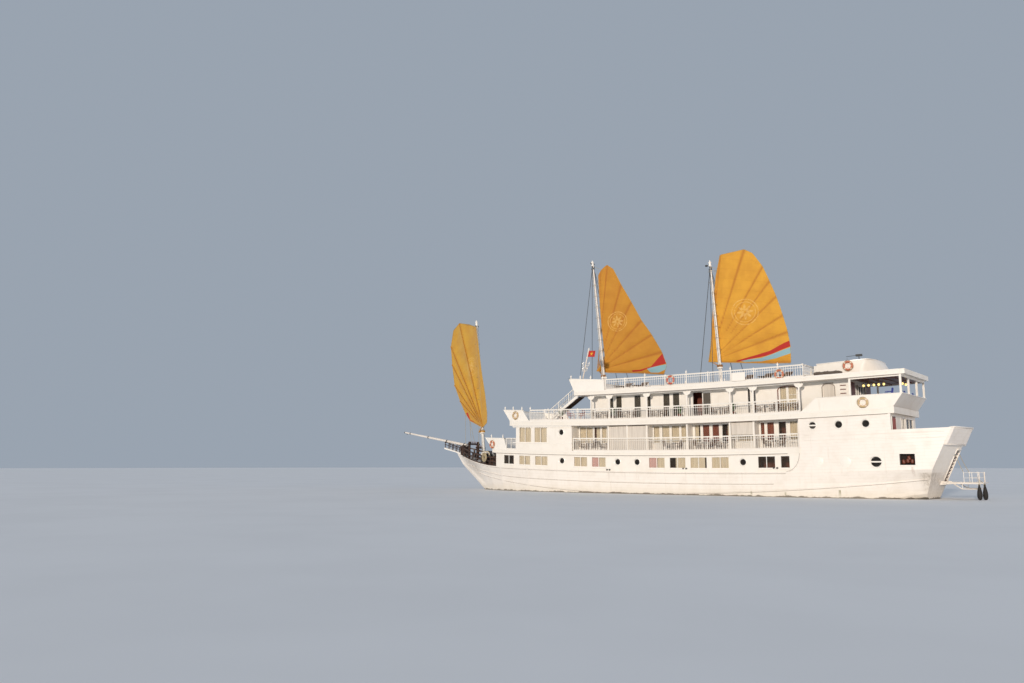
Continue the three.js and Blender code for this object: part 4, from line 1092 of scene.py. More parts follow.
RIGS = (
    Rig(
        "fore", (21.53, 0, 2.6), 4.5, -22,
        ((-0.48, 14.28), (1.0, 14.87), (3.25, 15.5), (4.8, 15.0), (5.58, 13.37), (5.51, 11.32),
         (5.17, 8.95), (4.06, 7.05), (2.92, 5.47), (2.04, 4.71), (0.05, 4.03), (-0.84, 3.67),
         (-1.68, 4.02), (-1.8, 5.0), (-1.63, 6.9), (-1.14, 9.5), (-0.72, 12.8)),
        11, (2, 4, 5, 6, 7, 9), 0, (1.22, 10.29), 1.0,
        ((2.9, 5.6), (2.55, 5.6), (1.95, 4.75), (1.2, 4.5), (0.9, 4.25), (2.1, 4.68)), (),
        14.95, 0.17, "#cd9d2f", 0.4,
    ),
    Rig(
        "main", (6.88, 0, 8.9), 5.5, 195,
        ((0.67, 12.15), (1.33, 12.59), (1.9, 12.07), (2.53, 10.39), (3.33, 8.55), (4.11, 6.63),
         (4.92, 5.13), (5.69, 3.37), (5.98, 2.13), (5.65, 1.27), (3.57, 1.66), (0.47, 2.12),
         (-0.76, 2.45), (0.21, 3.58), (0.18, 6.26), (0.22, 8.66), (0.35, 11.7)),
        12, (1, 3, 4, 5, 6, 7, 9), 0, (1.8, 6.88), 0.95,
        (
            (5.78, 3.3), (4.57, 2.16), (3.46, 1.99), (2.7, 2.05), (2.7, 1.9), (3.57, 1.86), (4.5, 2.05),
            (5.95, 2.25),
        ),
        ((6.2, 2.2), (4.13, 2.02), (4.4, 1.62), (5.2, 1.5), (6.1, 1.8)),
        13.0, 0.16, "#c48926", 1.25,
    ),
    Rig(
        "aft", (-4.74, 0, 8.9), 3.8, 195,
        ((0.88, 11.8), (3.0, 11.97), (3.65, 11.52), (4.39, 10.2), (4.81, 8.86), (5.22, 7.45),
         (5.58, 5.74), (5.82, 4.3), (5.91, 3.07), (5.8, 1.62), (4.23, 1.75), (0.7, 2.22),
         (-0.99, 2.45), (-0.66, 3.85), (-0.43, 5.43), (-0.09, 7.61), (0.34, 9.96)),
        12, (1, 3, 4, 5, 6, 7, 9), 0, (2.52, 6.43), 1.15,
        (
            (6.1, 3.59), (5.5, 3.4), (4.22, 2.82), (3.39, 2.65), (1.43, 2.3), (1.3, 2.2), (2.53, 2.3),
            (3.78, 2.42), (4.4, 2.55), (6.1, 3.1),
        ),
        (
            (6.1, 3.02), (4.19, 2.46), (3.48, 2.3), (1.6, 2.28), (2.1, 2.12), (3.48, 2.02), (4.65, 2.14),
            (6.1, 2.5),
        ),
        11.2, 0.15, "#d99e2e", 1.1,
    ),
)


def polyline_at(points: Sequence[tuple[float, float]], share: float) -> tuple[float, float]:
    """The place at a share of a flat line's length.

    Args:
        points: The line's corners.
        share: From 0, its start, to 1, its end.

    Returns:
        The place as (u, v).
    """
    spans = [math.dist(a, b) for a, b in zip(points, points[1:])]
    reach = share * sum(spans)
    for (a, b), span in zip(zip(points, points[1:]), spans):
        if reach <= span or (a, b) == (points[-2], points[-1]):
            part = min(1.0, reach / span)
            return (a[0] + (b[0] - a[0]) * part, a[1] + (b[1] - a[1]) * part)
        reach -= span
    return points[-1]


def side_of(points: Sequence[tuple[float, float]], u: float, v: float) -> float:
    """How far inside a flat ring (u, v) lies: positive inside, negative outside."""
    inside = False
    nearest = 1e9
    for (ax, ay), (bx, by) in zip(points, [*points[1:], points[0]]):
        if (ay > v) != (by > v) and u < (bx - ax) * (v - ay) / (by - ay) + ax:
            inside = not inside
        span = (bx - ax) ** 2 + (by - ay) ** 2
        part = max(0.0, min(1.0, ((u - ax) * (bx - ax) + (v - ay) * (by - ay)) / span))
        nearest = min(nearest, math.hypot(u - ax - part * (bx - ax), v - ay - part * (by - ay)))
    return nearest if inside else -nearest


@dataclass
class BattenSail:
    """A junk sail: canvas pulled flat at its battens and puffed between them."""

    frame: Frame
    rig: Rig
    cloth_y: float = 0.352
    puff: float = 0.15
    thickness: float = 0.008
    rows: int = 150
    columns: int = 56

    def edges(self) -> tuple[list[tuple[float, float]], list[tuple[float, float]]]:
        """The sail's short luff and its long foot and leech, both from tack to head."""
        ring, tack = self.rig.outline, self.rig.tack
        luff = [ring[i % len(ring)] for i in range(tack, len(ring) + 1)]
        rest = [ring[i] for i in range(tack, -1, -1)]
        return luff, rest

    def hub(self) -> tuple[float, float]:
        """Where the battens fan out from."""
        u, v = self.rig.outline[self.rig.tack]
        return (u + 0.1, v + 0.02)

    def bearing(self, u: float, v: float) -> float:
        """The angle of a place seen from the hub."""
        return math.atan2(v - self.hub()[1], u - self.hub()[0])

    def ribs(self) -> list[float]:
        """The bearings of the foot, the battens and the yard, in rising order."""
        ring = self.rig.outline
        return sorted(self.bearing(*ring[i]) for i in (*self.rig.battens, self.rig.yard))

    def bulge(self, u: float, v: float) -> tuple[float, float]:
        """How far the canvas puffs at a place, and how much painted shade it takes where it dips.

        Args:
            u: Along the boom.
            v: Up the mast.

        Returns:
            The puff in metres and the painted shade from 0 to 1.
        """
        ribs = self.ribs()
        angle = self.bearing(u, v)
        away = math.hypot(u - self.hub()[0], v - self.hub()[1])
        if angle < ribs[0] or angle > ribs[-1]:
            return (0.0, 0.4)
        for low, high in zip(ribs, ribs[1:]):
            if low <= angle <= high:
                part = (angle - low) / (high - low)
                width = away * (high - low)
                full = math.sin(math.pi * part) ** 0.75 * (1 + 0.35 * (0.5 - part))
                crease = 0.016 * math.sin(away * 5.1 + 9 * high) * math.sin(math.pi * part) ** 0.5
                crumple = noise.noise(Vector((u * 0.9, v * 0.9, 3.1 + high))) * 0.02
                height = min(self.puff, 0.13 * width) * full + (crease + crumple) * min(1.0, width)
                # Painted shade: darkest where the canvas dips to a batten, fading as the puff rises.
                shade = (1 - min(1.0, math.sin(math.pi * part) * 3.2)) * min(1.0, width * 1.6)
                return (height, shade)
        return (0.0, 0.0)

    def build(self) -> None:
        """Makes the canvas, its bolt rope and the lacing loops round the mast."""
        rig = self.rig
        luff, rest = self.edges()
        sketch = Sketch()
        grid, marks = [], []
        for i in range(self.rows + 1):
            share = i / self.rows
            a, b = polyline_at(luff, share), polyline_at(rest, share)
            line = []
            for j in range(self.columns + 1):
                part = j / self.columns
                u, v = a[0] + (b[0] - a[0]) * part, a[1] + (b[1] - a[1]) * part
                height, shade = self.bulge(u, v)
                hem = min(1.0, 7 * part, 7 * (1 - part) + 0.1)
                line.append(rig.world(u, self.cloth_y - height * hem - 0.012, v))
                red = side_of(rig.red, u, v) if rig.red else -1.0
                blue = side_of(rig.blue, u, v) if rig.blue else -1.0
                # The third value is the painted shade of the dip.
                marks.append((u, v, shade * rig.crease, red, blue))
            grid.append(line)
        sketch.shell(grid, self.thickness)
        sail = Piece.make(
            f"{rig.name}_sail_canvas", sketch, [Palette.sail(rig)], "sailcloth", f"{rig.name}_rig", sharp=70,
        )
        self.mark(sail, marks + marks)
        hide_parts(f"{rig.name}_sail")
        rope = self.rope(luff, rest)

    @staticmethod
    def mark(sail: bpy.types.Object, marks: Sequence[tuple[float, ...]]) -> None:
        """Stores the flat places, the painted shade of the dips and the coloured bands of the canvas on its
        points.
        """
        mesh = sail.data
        flat = mesh.uv_layers.new(name="cloth")
        for loop in mesh.loops:
            flat.data[loop.index].uv = marks[loop.vertex_index][:2]
        for name, index in (("valley_shade", 2), ("red", 3), ("blue", 4)):
            layer = mesh.attributes.new(name, "FLOAT", "POINT")
            layer.data.foreach_set("value", [m[index] for m in marks])

    def rope(
        self, luff: Sequence[tuple[float, float]], rest: Sequence[tuple[float, float]],
    ) -> bpy.types.Object:
        """The bolt rope round the sail, with loops that hold the luff to the mast."""
        rig = self.rig
        sketch = Sketch()
        ring = [*luff, *reversed(rest[1:-1])]
        count = 150
        path = []
        for i in range(count):
            u, v = polyline_at([*ring, ring[0]], i / count)
            path.append(rig.world(u, self.cloth_y - 0.012, v))
        sketch.tube(path, 0.024, 6, closed=True)
        for i in range(1, 9):
            u, v = polyline_at(luff, i / 9.5)
            loop = []
            for angle in circle(16):
                low, high = -0.24, max(u + 0.03, 0.24)
                across = (low + high) / 2 + (high - low) / 2 * math.cos(angle)
                loop.append(rig.world(across, 0.05 + 0.28 * math.sin(angle), v))
            sketch.tube(loop, 0.012, 5, closed=True)
        return Piece.make(
            f"{rig.name}_bolt_rope", sketch, [self.frame.palette.rope], "sailcloth", f"{rig.name}_rig",
            sharp=60,
        )


def on_side(line: Line, side: int, shift: float = 0.0) -> Line:
    """A half breadth turned into the y of one side, moved outboard by shift."""
    return lambda x: side * (line(x) + shift)


def level(value: float) -> Line:
    """A line that stays at one value."""
    return lambda x: value


@dataclass
class HullTrim:
    """Wales, ledges, port rims and the stern's mouldings on the white hull, with thin grey strips that paint
    the wales' shadows.
    """

    frame: Frame
    ports: tuple[tuple[float, float, float, bool], ...] = (
        (-17.92, 2.65, 0.4, True), (-13.56, 5.36, 0.29, True), (-15.47, 5.38, 0.29, False),
        (-17.36, 5.4, 0.29, False),
    )
    lids: tuple[tuple[float, float], ...] = ((-13.85, 2.65), (-15.82, 2.65))
    quarter_lines: tuple[float, ...] = (4.62, 4.25)
    mooring: tuple[float, float, float, float] = (-20.5, -19.5, 2.42, 3.2)

    def wale_lines(self) -> list[tuple[float, float, Line, float]]:
        """Each wale: aft end, forward end, height and radius."""
        low = lambda x: 0.1 + (0.0025 if x < 2 else 0.0042) * (x - 2) ** 2
        middle = lambda x: 0.95 + 0.0012 * (x + 3) ** 2 + 0.008 * max(0.0, x - 14) ** 2
        return [
            (-21.1, 21.4, low, 0.055), (-10.4, 23.4, middle, 0.04),
            (-11.4, 24.3, raised(gunwale, -0.07), 0.05),
        ]

    def build(self) -> None:
        """Makes the hull's trim on both sides."""
        palette = self.frame.palette
        for name, side in SIDES:
            wales, rims, dark = Sketch(), Sketch(), Sketch()
            for x0, x1, height, radius in self.wale_lines():
                xs = spaced(x0, x1, 60)
                # Each wale, then a thin grey strip just under it that paints the wale's shadow.
                for finish, drop, thick in ((0, 0.0, radius), (1, radius + 0.006, 0.016)):
                    wales.finish = finish
                    under = raised(height, -drop)
                    wales.tube([(x, self.frame.hull.beam(x, under(x), side), under(x)) for x in xs], thick, 8)
            wales.finish = 0
            self.quarter_mouldings(wales, side)
            Piece.make(f"hull_wales_{name}", wales, [palette.hull, palette.seam], "hull_paint", sharp=50)
            for x, z, radius, barred in self.ports:
                self.port(
                    rims, dark, x, self.frame.hull.beam(x, z + radius + 0.05, side), z, radius, side, barred,
                )
            for x, z in self.lids:
                y = self.frame.hull.beam(x, z, side)
                rims.ring((x, y, z), (0, side, 0), 0.46, 0.016, 32, 6)
                rims.turned([(0.4, -0.03), (0.4, 0.004), (0.39, 0.008)], (x, y, z), (0, side, 0), 32)
            for x in (9.16, 3.34, 1.44, -8.01):
                self.port(rims, dark, x, side * breadth(x), gunwale(x) + 0.78, 0.28, side, False)
            self.port(rims, dark, 9.22, side * breadth(9.22), 5.39, 0.28, side, False)
            self.mooring_port(rims, dark, side)
            Piece.make(f"port_rims_{name}", rims, [palette.trim], "window_frame", sharp=40)
            Piece.make(
                f"port_glass_{name}", dark, [palette.glass, palette.cabin, palette.shadow], "glass", sharp=40,
            )
        self.transom()

    def quarter_mouldings(self, sketch: Sketch, side: int) -> None:
        """Two beads along the raised quarter, and a bead that rounds the quarter's forward edge up to deck 3,
        with a thin grey strip beside it that paints its shadow.
        """
        for z in self.quarter_lines:
            xs = [-22.9 + 11.4 * i / 24 for i in range(25)]
            path = [(x, self.frame.hull.beam(x, z, side), z + 0.001 * (x + 12) ** 2) for x in xs if x > -22.9]
            sketch.tube(path, 0.02, 6)
        # The bead round the quarter's edge, then a thin grey strip beside it that paints its shadow.
        for finish, shift, thick in ((0, 0.0, 0.035), (1, 0.045, 0.016)):
            sketch.finish = finish
            edge = []
            for i in range(15):
                angle = math.pi / 2 * i / 14
                x, z = -11.45 - 1.1 * math.sin(angle), gunwale(-11.45) + 1.5 * (1 - math.cos(angle))
                edge.append(
                    (x + shift * math.sin(angle), side * (breadth(x) + 0.005), z + shift * math.cos(angle)),
                )
            if shift == 0:
                edge.append((-12.55, edge[-1][1], deck2_top(-12.55) + 2.2))
            sketch.tube(edge, thick, 8)

    @staticmethod
    def port(
        rims: Sketch, glass: Sketch, x: float, y: float, z: float, radius: float, side: int, barred: bool,
    ) -> None:
        """A round port: raised rim, inner ring, glass, and a bar where one has it.

        Args:
            rims: Takes the white rings.
            glass: Takes the glass and its dark backing.
            x: Middle of the port.
            y: The shell's face there.
            z: Middle of the port.
            radius: Radius of the hole.
            side: 1 to port, -1 to starboard.
            barred: Whether a bar crosses it.
        """
        rims.ring((x, y, z), (0, side, 0), radius + 0.03, 0.045, 28, 8)
        rims.ring((x, y - side * 0.07, z), (0, side, 0), radius - 0.015, 0.03, 28, 6)
        glass.finish = 0
        glass.turned([(radius, -0.006), (radius, 0.006)], (x, y - side * 0.085, z), (0, side, 0), 24)
        if barred:
            rims.box(x - radius, x + radius, y - side * 0.06, y, z - 0.05, z + 0.05)
        for i in range(8):
            angle = 2 * math.pi * (i + 0.5) / 8
            bolt = (
                x + (radius + 0.03) * math.cos(angle), y + side * 0.035,
                z + (radius + 0.03) * math.sin(angle),
            )
            rims.turned([(0.018, 0), (0.018, 0.018), (0.009, 0.024)], bolt, (0, side, 0), 6)

    def mooring_port(self, rims: Sketch, dark: Sketch, side: int) -> None:
        """The rounded mooring port with its roller frame, and a near-black backing inside that paints its
        shade.
        """
        x0, x1, z0, z1 = self.mooring
        y = lambda x: self.frame.hull.beam(x0 - 0.3, z1, side) + (x - x0 + 0.3) * 0.085 * side
        border = 0.09
        strips = (
            (x0 - border, x1 + border, z1, z1 + border), (x0 - border, x1 + border, z0 - border, z0),
            (x0 - border, x0, z0, z1), (x1, x1 + border, z0, z1),
        )
        for a, b, low, high in strips:
            rims.panel(a, b, level(low), level(high), on_side(y, 1, side * 0.05), on_side(y, 1, -side * 0.06))
        # A near-black sheet deep inside paints the shade of the port's recess.
        dark.finish = 2
        back = on_side(y, 1, -side * 0.55)
        dark.panel(x0 - 0.1, x1 + 0.1, level(z0 - 0.1), level(z1 + 0.1), back, on_side(back, 1, -side * 0.03))
        dark.finish = 1
        for i, (x, z) in enumerate(((-20.25, 2.62), (-19.98, 2.66), (-19.72, 2.6), (-20.1, 2.86))):
            foot = (x, y(x) - side * 0.3, z - 0.12)
            dark.turned(
                [(0.03, 0), (0.12, 0.05), (0.14, 0.16), (0.11, 0.3), (0.03, 0.34)], foot, (0.1 * i, 0, 1), 10,
            )

    def transom(self) -> None:
        """The stern's proud upper band, its cap and the framed boarding slot with its treads, whose risers
        paint the shade under each tread.
        """
        palette = self.frame.palette
        sketch = Sketch()
        half = 3.33
        for low, high, proud in ((3.85, 4.98, 0.2), (4.98, 5.08, 0.24), (3.8, 3.87, 0.22)):
            for s in (1, -1):
                ring = []
                for y in (0.0, half * s):
                    for z in (low, high):
                        ring.append((transom_x(y, z), y, z))
                inner = [(x + 0.1, y, z) for x, y, z in (ring[0], ring[2], ring[3], ring[1])]
                outer = [(x - proud, y, z) for x, y, z in (ring[0], ring[2], ring[3], ring[1])]
                sketch.block(inner, outer)
        for y in (-0.66, 0.66):
            self.raked(sketch, y - 0.04, y + 0.04, 1.15, 3.55, 0.05)
        self.raked(sketch, -0.6, 0.6, 3.45, 3.57, 0.09)
        Piece.make("transom_band", sketch, [palette.hull], "hull_paint", bevel=0.04)
        steps = Sketch()
        for i in range(9):
            z = 1.32 + i * 0.235
            steps.finish = 0
            x = transom_x(0, z) + 0.12
            steps.box(x, x + 0.3, -0.59, 0.59, z, z + 0.045)
            # Each riser takes the near-black finish, which paints the shade under its tread.
            steps.finish = 1
            steps.box(x + 0.27, x + 0.3, -0.59, 0.59, z - 0.19, z)
        Piece.make("boarding_treads", steps, [palette.cabin, palette.shadow], "dark_timber", bevel=0.008)

    @staticmethod
    def raked(sketch: Sketch, y0: float, y1: float, z0: float, z1: float, proud: float) -> None:
        """A strip lying on the raked transom."""
        corners = [(y0, z0), (y1, z0), (y1, z1), (y0, z1)]
        inner = [(transom_x(y, z) + 0.04, y, z) for y, z in corners]
        sketch.block(inner, [(transom_x(y, z) - proud, y, z) for y, z in corners])


@dataclass
class DeckEdges:
    """Mouldings along the white deck slabs, with a row of dentils under the forward deck 3."""

    frame: Frame

    def build(self) -> None:
        """Makes the lips and beads of every slab, a thin grey strip under each that paints its shadow, and
        the ledge over the lower wall.
        """
        palette = self.frame.palette
        slabs = (
            (deck2_under, deck2_top, -11.6, 17.6), (deck3_under, deck3_top, -18.9, 15.2),
            (sun_under, sun_top, -19.8, 7.6),
        )
        for name, side in SIDES:
            sketch = Sketch()
            for under, top, x0, x1 in slabs:
                edge = on_side(breadth, side, 0.03)
                sketch.band(x0, x1, raised(top, -0.07), raised(top, 0.006), on_side(breadth, side, 0.1), edge)
                sketch.band(
                    x0, x1, raised(top, -0.13), raised(top, -0.07), on_side(breadth, side, 0.08), edge,
                )
                sketch.band(x0, x1, under, raised(under, 0.06), on_side(breadth, side, 0.09), edge)
                # A thin grey strip under the slab's edge paints the shadow it casts.
                sketch.finish = 1
                sketch.band(
                    x0, x1, raised(under, -0.045), under, on_side(breadth, side, 0.05),
                    on_side(breadth, side, 0.005),
                )
                sketch.finish = 0
            sketch.band(
                8.05, 15.1, raised(deck2_top, 0.62), raised(deck2_top, 0.7),
                on_side(breadth, side, 0.05), on_side(breadth, side, -0.02),
            )
            sketch.band(
                8.05, 15.1, raised(deck3_under, -0.1), raised(deck3_under, -0.02),
                on_side(breadth, side, 0.07), on_side(breadth, side, -0.02),
            )
            Piece.make(
                f"deck_mouldings_{name}", sketch, [palette.trim, palette.seam], "house_paint", sharp=30,
            )
            line = [(x, side * (breadth(x) + 0.03), deck3_under(x) - 0.16) for x in stations(8.15, 15.0)]
            Row(Item.BLOCK, 0.2, 0.07, 0.1).along(f"dentils_{name}", [line], palette.trim, "house_paint")


@dataclass
class Railings:
    """Balusters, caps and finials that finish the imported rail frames."""

    frame: Frame
    pitch: float = BAY / 20
    runs: tuple[tuple[str, Line, float, float, float, float], ...] = (
        ("deck2", deck2_top, 1.13, -12.4, 7.95, 99.0), ("deck3", deck3_top, 1.0, -12.6, 12.95, 6.3),
        ("sun", sun_top, 0.94, -13.0, 4.45, -99.0),
    )
    knob: tuple[tuple[float, float], ...] = (
        (0.05, 0.0), (0.07, 0.03), (0.035, 0.06), (0.035, 0.09), (0.075, 0.13), (0.085, 0.18), (0.06, 0.235),
        (0.022, 0.27), (0.018, 0.33), (0.004, 0.36),
    )

    def build(self) -> None:
        """Finishes every run on both sides, and the cross rail aft on the sun deck."""
        palette = self.frame.palette
        for deck, line, height, x0, x1, open_from in self.runs:
            rows = []
            sketch = Sketch()
            for _, side in SIDES:
                middle = lambda x, s=side: s * (breadth(x) - RAIL_Y_INSET)
                rows.append([(x, middle(x), line(x)) for x in stations(x0, x1)])
                for low, high, wide in (
                    (height, height + 0.035, 0.062), (height - 0.24, height - 0.205, 0.018),
                ):
                    sketch.band(
                        x0, x1, raised(line, low), raised(line, high),
                        lambda x, m=middle, w=wide: m(x) + w, lambda x, m=middle, w=wide: m(x) - w,
                    )
                count = round((x1 - x0) / (BAY / 2))
                for i in range(count + 1):
                    x = x0 + (x1 - x0) * i / count
                    foot = (x, middle(x), line(x) + height)
                    if x > open_from and i % 2 == count % 2:
                        sketch.turned(self.knob, foot, sides=10)
                    elif x > open_from:
                        sketch.turned([(0.09, 0.02), (0.09, 0.05), (0.03, 0.09)], foot, sides=8)
                        for way in (-1, 1):
                            arm = [
                                (x, middle(x), line(x) + height - 0.26),
                                (x + way * 0.3, middle(x + way * 0.3), line(x) + height),
                            ]
                            sketch.tube(arm, 0.015, 5)
            if deck == "sun":
                y = breadth(x0) - RAIL_Y_INSET
                rows.append([(x0, -y, line(x0)), (x0, y, line(x0))])
                sketch.box(x0 - 0.06, x0 + 0.06, -y, y, line(x0) + height, line(x0) + height + 0.035)
            Piece.make(f"{deck}_rail_caps", sketch, [palette.trim], "rail_paint", sharp=40)
            tall = height - 0.18
            row = Row(Item.BALUSTER, self.pitch, 0.017, tall, 0.12 + tall / 2)
            row.along(f"{deck}_balusters", rows, palette.trim, "rail_paint")


class Shade(Enum):
    """What hangs behind a window."""

    LINEN = 0
    ROSE = 1
    BROWN = 2


@dataclass(frozen=True)
class Window:
    """One window: its ends along the ship, its panes and its curtains, each over a share of it."""

    x0: float
    x1: float
    panes: int = 1
    curtains: tuple[tuple[float, float, Shade], ...] = ((0.0, 1.0, Shade.LINEN),)


@dataclass(frozen=True)
class WindowRow:
    """Windows that share a wall, a sill and a head."""

    name: str
    wall: Line
    sill: Line
    head: Line
    windows: tuple[Window, ...]
    dark: bool = False
    ledge: float = 0.06


BROWN = ((0.0, 1.0, Shade.BROWN),)
HALF_ROSE = ((0.5, 1.0, Shade.ROSE), (0.0, 0.5, Shade.LINEN))
WINDOW_ROWS = (
    WindowRow(
        "deck1", breadth, raised(gunwale, 0.3), raised(deck2_under, -0.17),
        (
            Window(14.95, 16.35, 2, ()), Window(12.85, 14.27, 2), Window(10.75, 12.27, 2),
            Window(6.43, 7.84, 2), Window(4.52, 5.96, 2, HALF_ROSE), Window(-1.21, 0.29, 2, HALF_ROSE),
            Window(-3.1, -1.65, 2, ((0.0, 0.66, Shade.LINEN),)),
            Window(-4.98, -3.52, 2, ((0.16, 1.0, Shade.LINEN),)),
            Window(-6.86, -5.39, 2), Window(-10.62, -9.24, 2, ()), Window(-11.75, -11.04, 1, ()),
        ),
    ),
    WindowRow(
        "deck2", level(HOUSE_Y), raised(deck2_top, 0.72), raised(deck3_under, -0.1),
        (
            Window(6.53, 7.95, 2), Window(5.76, 6.4, 1, ((0.0, 0.7, Shade.LINEN),)), Window(4.6, 5.6, 2),
            Window(-0.18, 0.4), Window(-1.12, -0.4), Window(-2.03, -1.3), Window(-2.9, -2.2),
            Window(-3.96, -3.45, 1, ((0.4, 1.0, Shade.LINEN),)), Window(-4.77, -4.15, 1, BROWN),
            Window(-5.61, -5.0, 1, BROWN), Window(-6.5, -5.85, 1, ((0.0, 0.35, Shade.LINEN),)),
            Window(-8.6, -7.2, 2),
            Window(-9.44, -9.1, 1, BROWN), Window(-10.21, -9.62, 1, BROWN), Window(-11.17, -10.55, 1, ()),
            Window(-12.06, -11.45),
        ),
    ),
    WindowRow(
        "deck2_bow", breadth, raised(deck2_top, 0.72), raised(deck3_under, -0.1),
        (Window(12.73, 14.25, 2), Window(10.83, 12.33, 2)),
    ),
    WindowRow(
        "deck3", level(HOUSE_Y), raised(deck3_top, 0.2), raised(sun_under, -0.12),
        (
            Window(4.36, 4.83), Window(3.48, 4.07), Window(1.58, 2.23), Window(0.6, 0.95),
            Window(-1.21, -0.59),
            Window(-2.12, -1.5), Window(-8.36, -8.14, 1, ()), Window(-8.77, -8.6, 1, ()),
        ),
        dark=True, ledge=0.03,
    ),
    WindowRow(
        "deck3_entrance", level(HOUSE_Y), raised(deck3_top, 0.2), raised(sun_under, -0.12),
        (Window(-11.31, -10.78), Window(-12.1, -11.45)), ledge=0.03,
    ),
)


@dataclass
class Windows:
    """Frames, panes and curtains of the long rows on both sides."""

    frame: Frame
    border: float = 0.06
    proud: float = 0.03
    glass_depth: float = 0.015
    curtain_depth: float = 0.14
    pleat: float = 0.16
    swing: float = 0.035

    def build(self) -> None:
        """Makes each row on both sides; a row's curtains are one hung sheet a side."""
        palette = self.frame.palette
        for row in WINDOW_ROWS:
            for name, side in SIDES:
                frames, panes, cloth = Sketch(), Sketch(), Sketch()
                height = 1.0
                for window in row.windows:
                    self.casement(frames, panes, row, window, side)
                    for start, end, shade in window.curtains:
                        cloth.finish = shade.value
                        length, height = self.curtain(cloth, row, window, start, end, side)
                Piece.make(
                    f"{row.name}_window_frames_{name}", frames, [palette.trim], "window_frame", sharp=30,
                )
                glass = palette.glass if row.dark else palette.clear
                Piece.make(f"{row.name}_panes_{name}", panes, [glass], "glass")
                linens = [palette.curtain, palette.rose_curtain, palette.brown_curtain]
                drapes = Piece.make(f"{row.name}_curtains_{name}", cloth, linens, "curtain", sharp=80)

    def casement(self, frames: Sketch, panes: Sketch, row: WindowRow, window: Window, side: int) -> None:
        """The white frame of one window with its mullions, sill and glass."""
        depths = (0.0, 0.002, 0.005, -0.07, self.proud, self.proud + row.ledge)
        wall, foot, post, back, out, ledge = (on_side(row.wall, side, d) for d in depths)
        glass, pane = (on_side(row.wall, side, -self.glass_depth - d) for d in (0.0, 0.012))
        x0, x1, edge = window.x0, window.x1, self.border
        for a, b in ((x0 - edge, x0 + 0.01), (x1 - 0.01, x1 + edge)):
            frames.panel(a, b, raised(row.sill, -edge), raised(row.head, edge), out, foot)
        for low, high in (
            (raised(row.head, -0.01), raised(row.head, edge)), (raised(row.sill, -edge), row.sill),
        ):
            frames.panel(x0, x1, low, high, out, foot)
        frames.panel(
            x0 - edge - 0.03, x1 + edge + 0.03, raised(row.sill, -edge - 0.04), raised(row.sill, -edge),
            ledge, wall,
        )
        step = (x1 - x0) / window.panes
        for i in range(window.panes):
            a, b = x0 + i * step, x0 + (i + 1) * step
            for c, d in ((a, a + 0.025), (b - 0.025, b)):
                frames.panel(c, d, row.sill, row.head, post, back)
            for low, high in ((row.sill, raised(row.sill, 0.03)), (raised(row.head, -0.03), row.head)):
                frames.panel(a + 0.025, b - 0.025, low, high, wall, back)
            panes.panel(a + 0.015, b - 0.015, row.sill, row.head, glass, pane)

    def curtain(
        self, cloth: Sketch, row: WindowRow, window: Window, start: float, end: float, side: int,
    ) -> tuple[float, float]:
        """The pleated curtain of one window.

        Args:
            cloth: Takes the curtain.
            row: Its row.
            window: Its window.
            start: Share of the window's width where it starts.
            end: Share where it ends.
            side: 1 to port, -1 to starboard.

        Returns:
            Its flat width and its height.
        """
        x0, x1 = (window.x0 - 0.04 + (window.x1 - window.x0 + 0.08) * share for share in (start, end))
        count = max(6, round((x1 - x0) / self.pleat) * 6)
        middle = (x0 + x1) / 2
        low, high = row.sill(middle) - 0.04, row.head(middle) + 0.03
        line, flat = [], 0.0
        for x in spaced(x0, x1, count):
            fold = math.sin(2 * math.pi * (x - x0) / self.pleat + window.x0)
            y = side * (row.wall(x) - self.curtain_depth + self.swing * fold)
            if line:
                flat += math.dist(line[-1], (x, y))
            line.append((x, y))
        cloth.shell([[(x, y, high) for x, y in line], [(x, y, low) for x, y in line]], 0.008)
        return flat, high - low


@dataclass
class Cabins:
    """Dark panelled bulkheads behind the windows, so that the rooms read as rooms."""

    frame: Frame
    thickness: float = 0.06

    def build(self) -> None:
        """Makes the corridor walls and the cross walls of each deck."""
        rooms = (
            ("deck1", raised(gunwale, 0.01), raised(deck2_under, -0.01), -13.0, 16.9, 1.3, 2.9),
            ("deck2", raised(deck2_top, 0.01), raised(deck3_under, -0.01), -13.6, 14.3, 1.3, 2.66),
            ("deck3", raised(deck3_top, 0.01), raised(sun_under, -0.01), -15.8, 6.4, 1.3, 2.66),
        )
        for name, low, high, x0, x1, inner, outer in rooms:
            sketch = Sketch()
            for side in (1, -1):
                sketch.band(x0, x1, low, high, level(side * inner), level(side * (inner + self.thickness)))
                for i in range(-3, 9):
                    x = QUARTER_X + BAY * i + 0.45
                    if x0 + 0.3 < x < x1 - 0.3:
                        y0, y1 = side * (inner + self.thickness), side * min(outer, breadth(x + 1) - 0.3)
                        sketch.box(x, x + self.thickness, y0, y1, low(x), high(x))
            Piece.make(f"{name}_bulkheads", sketch, [self.frame.palette.cabin], "dark_timber")


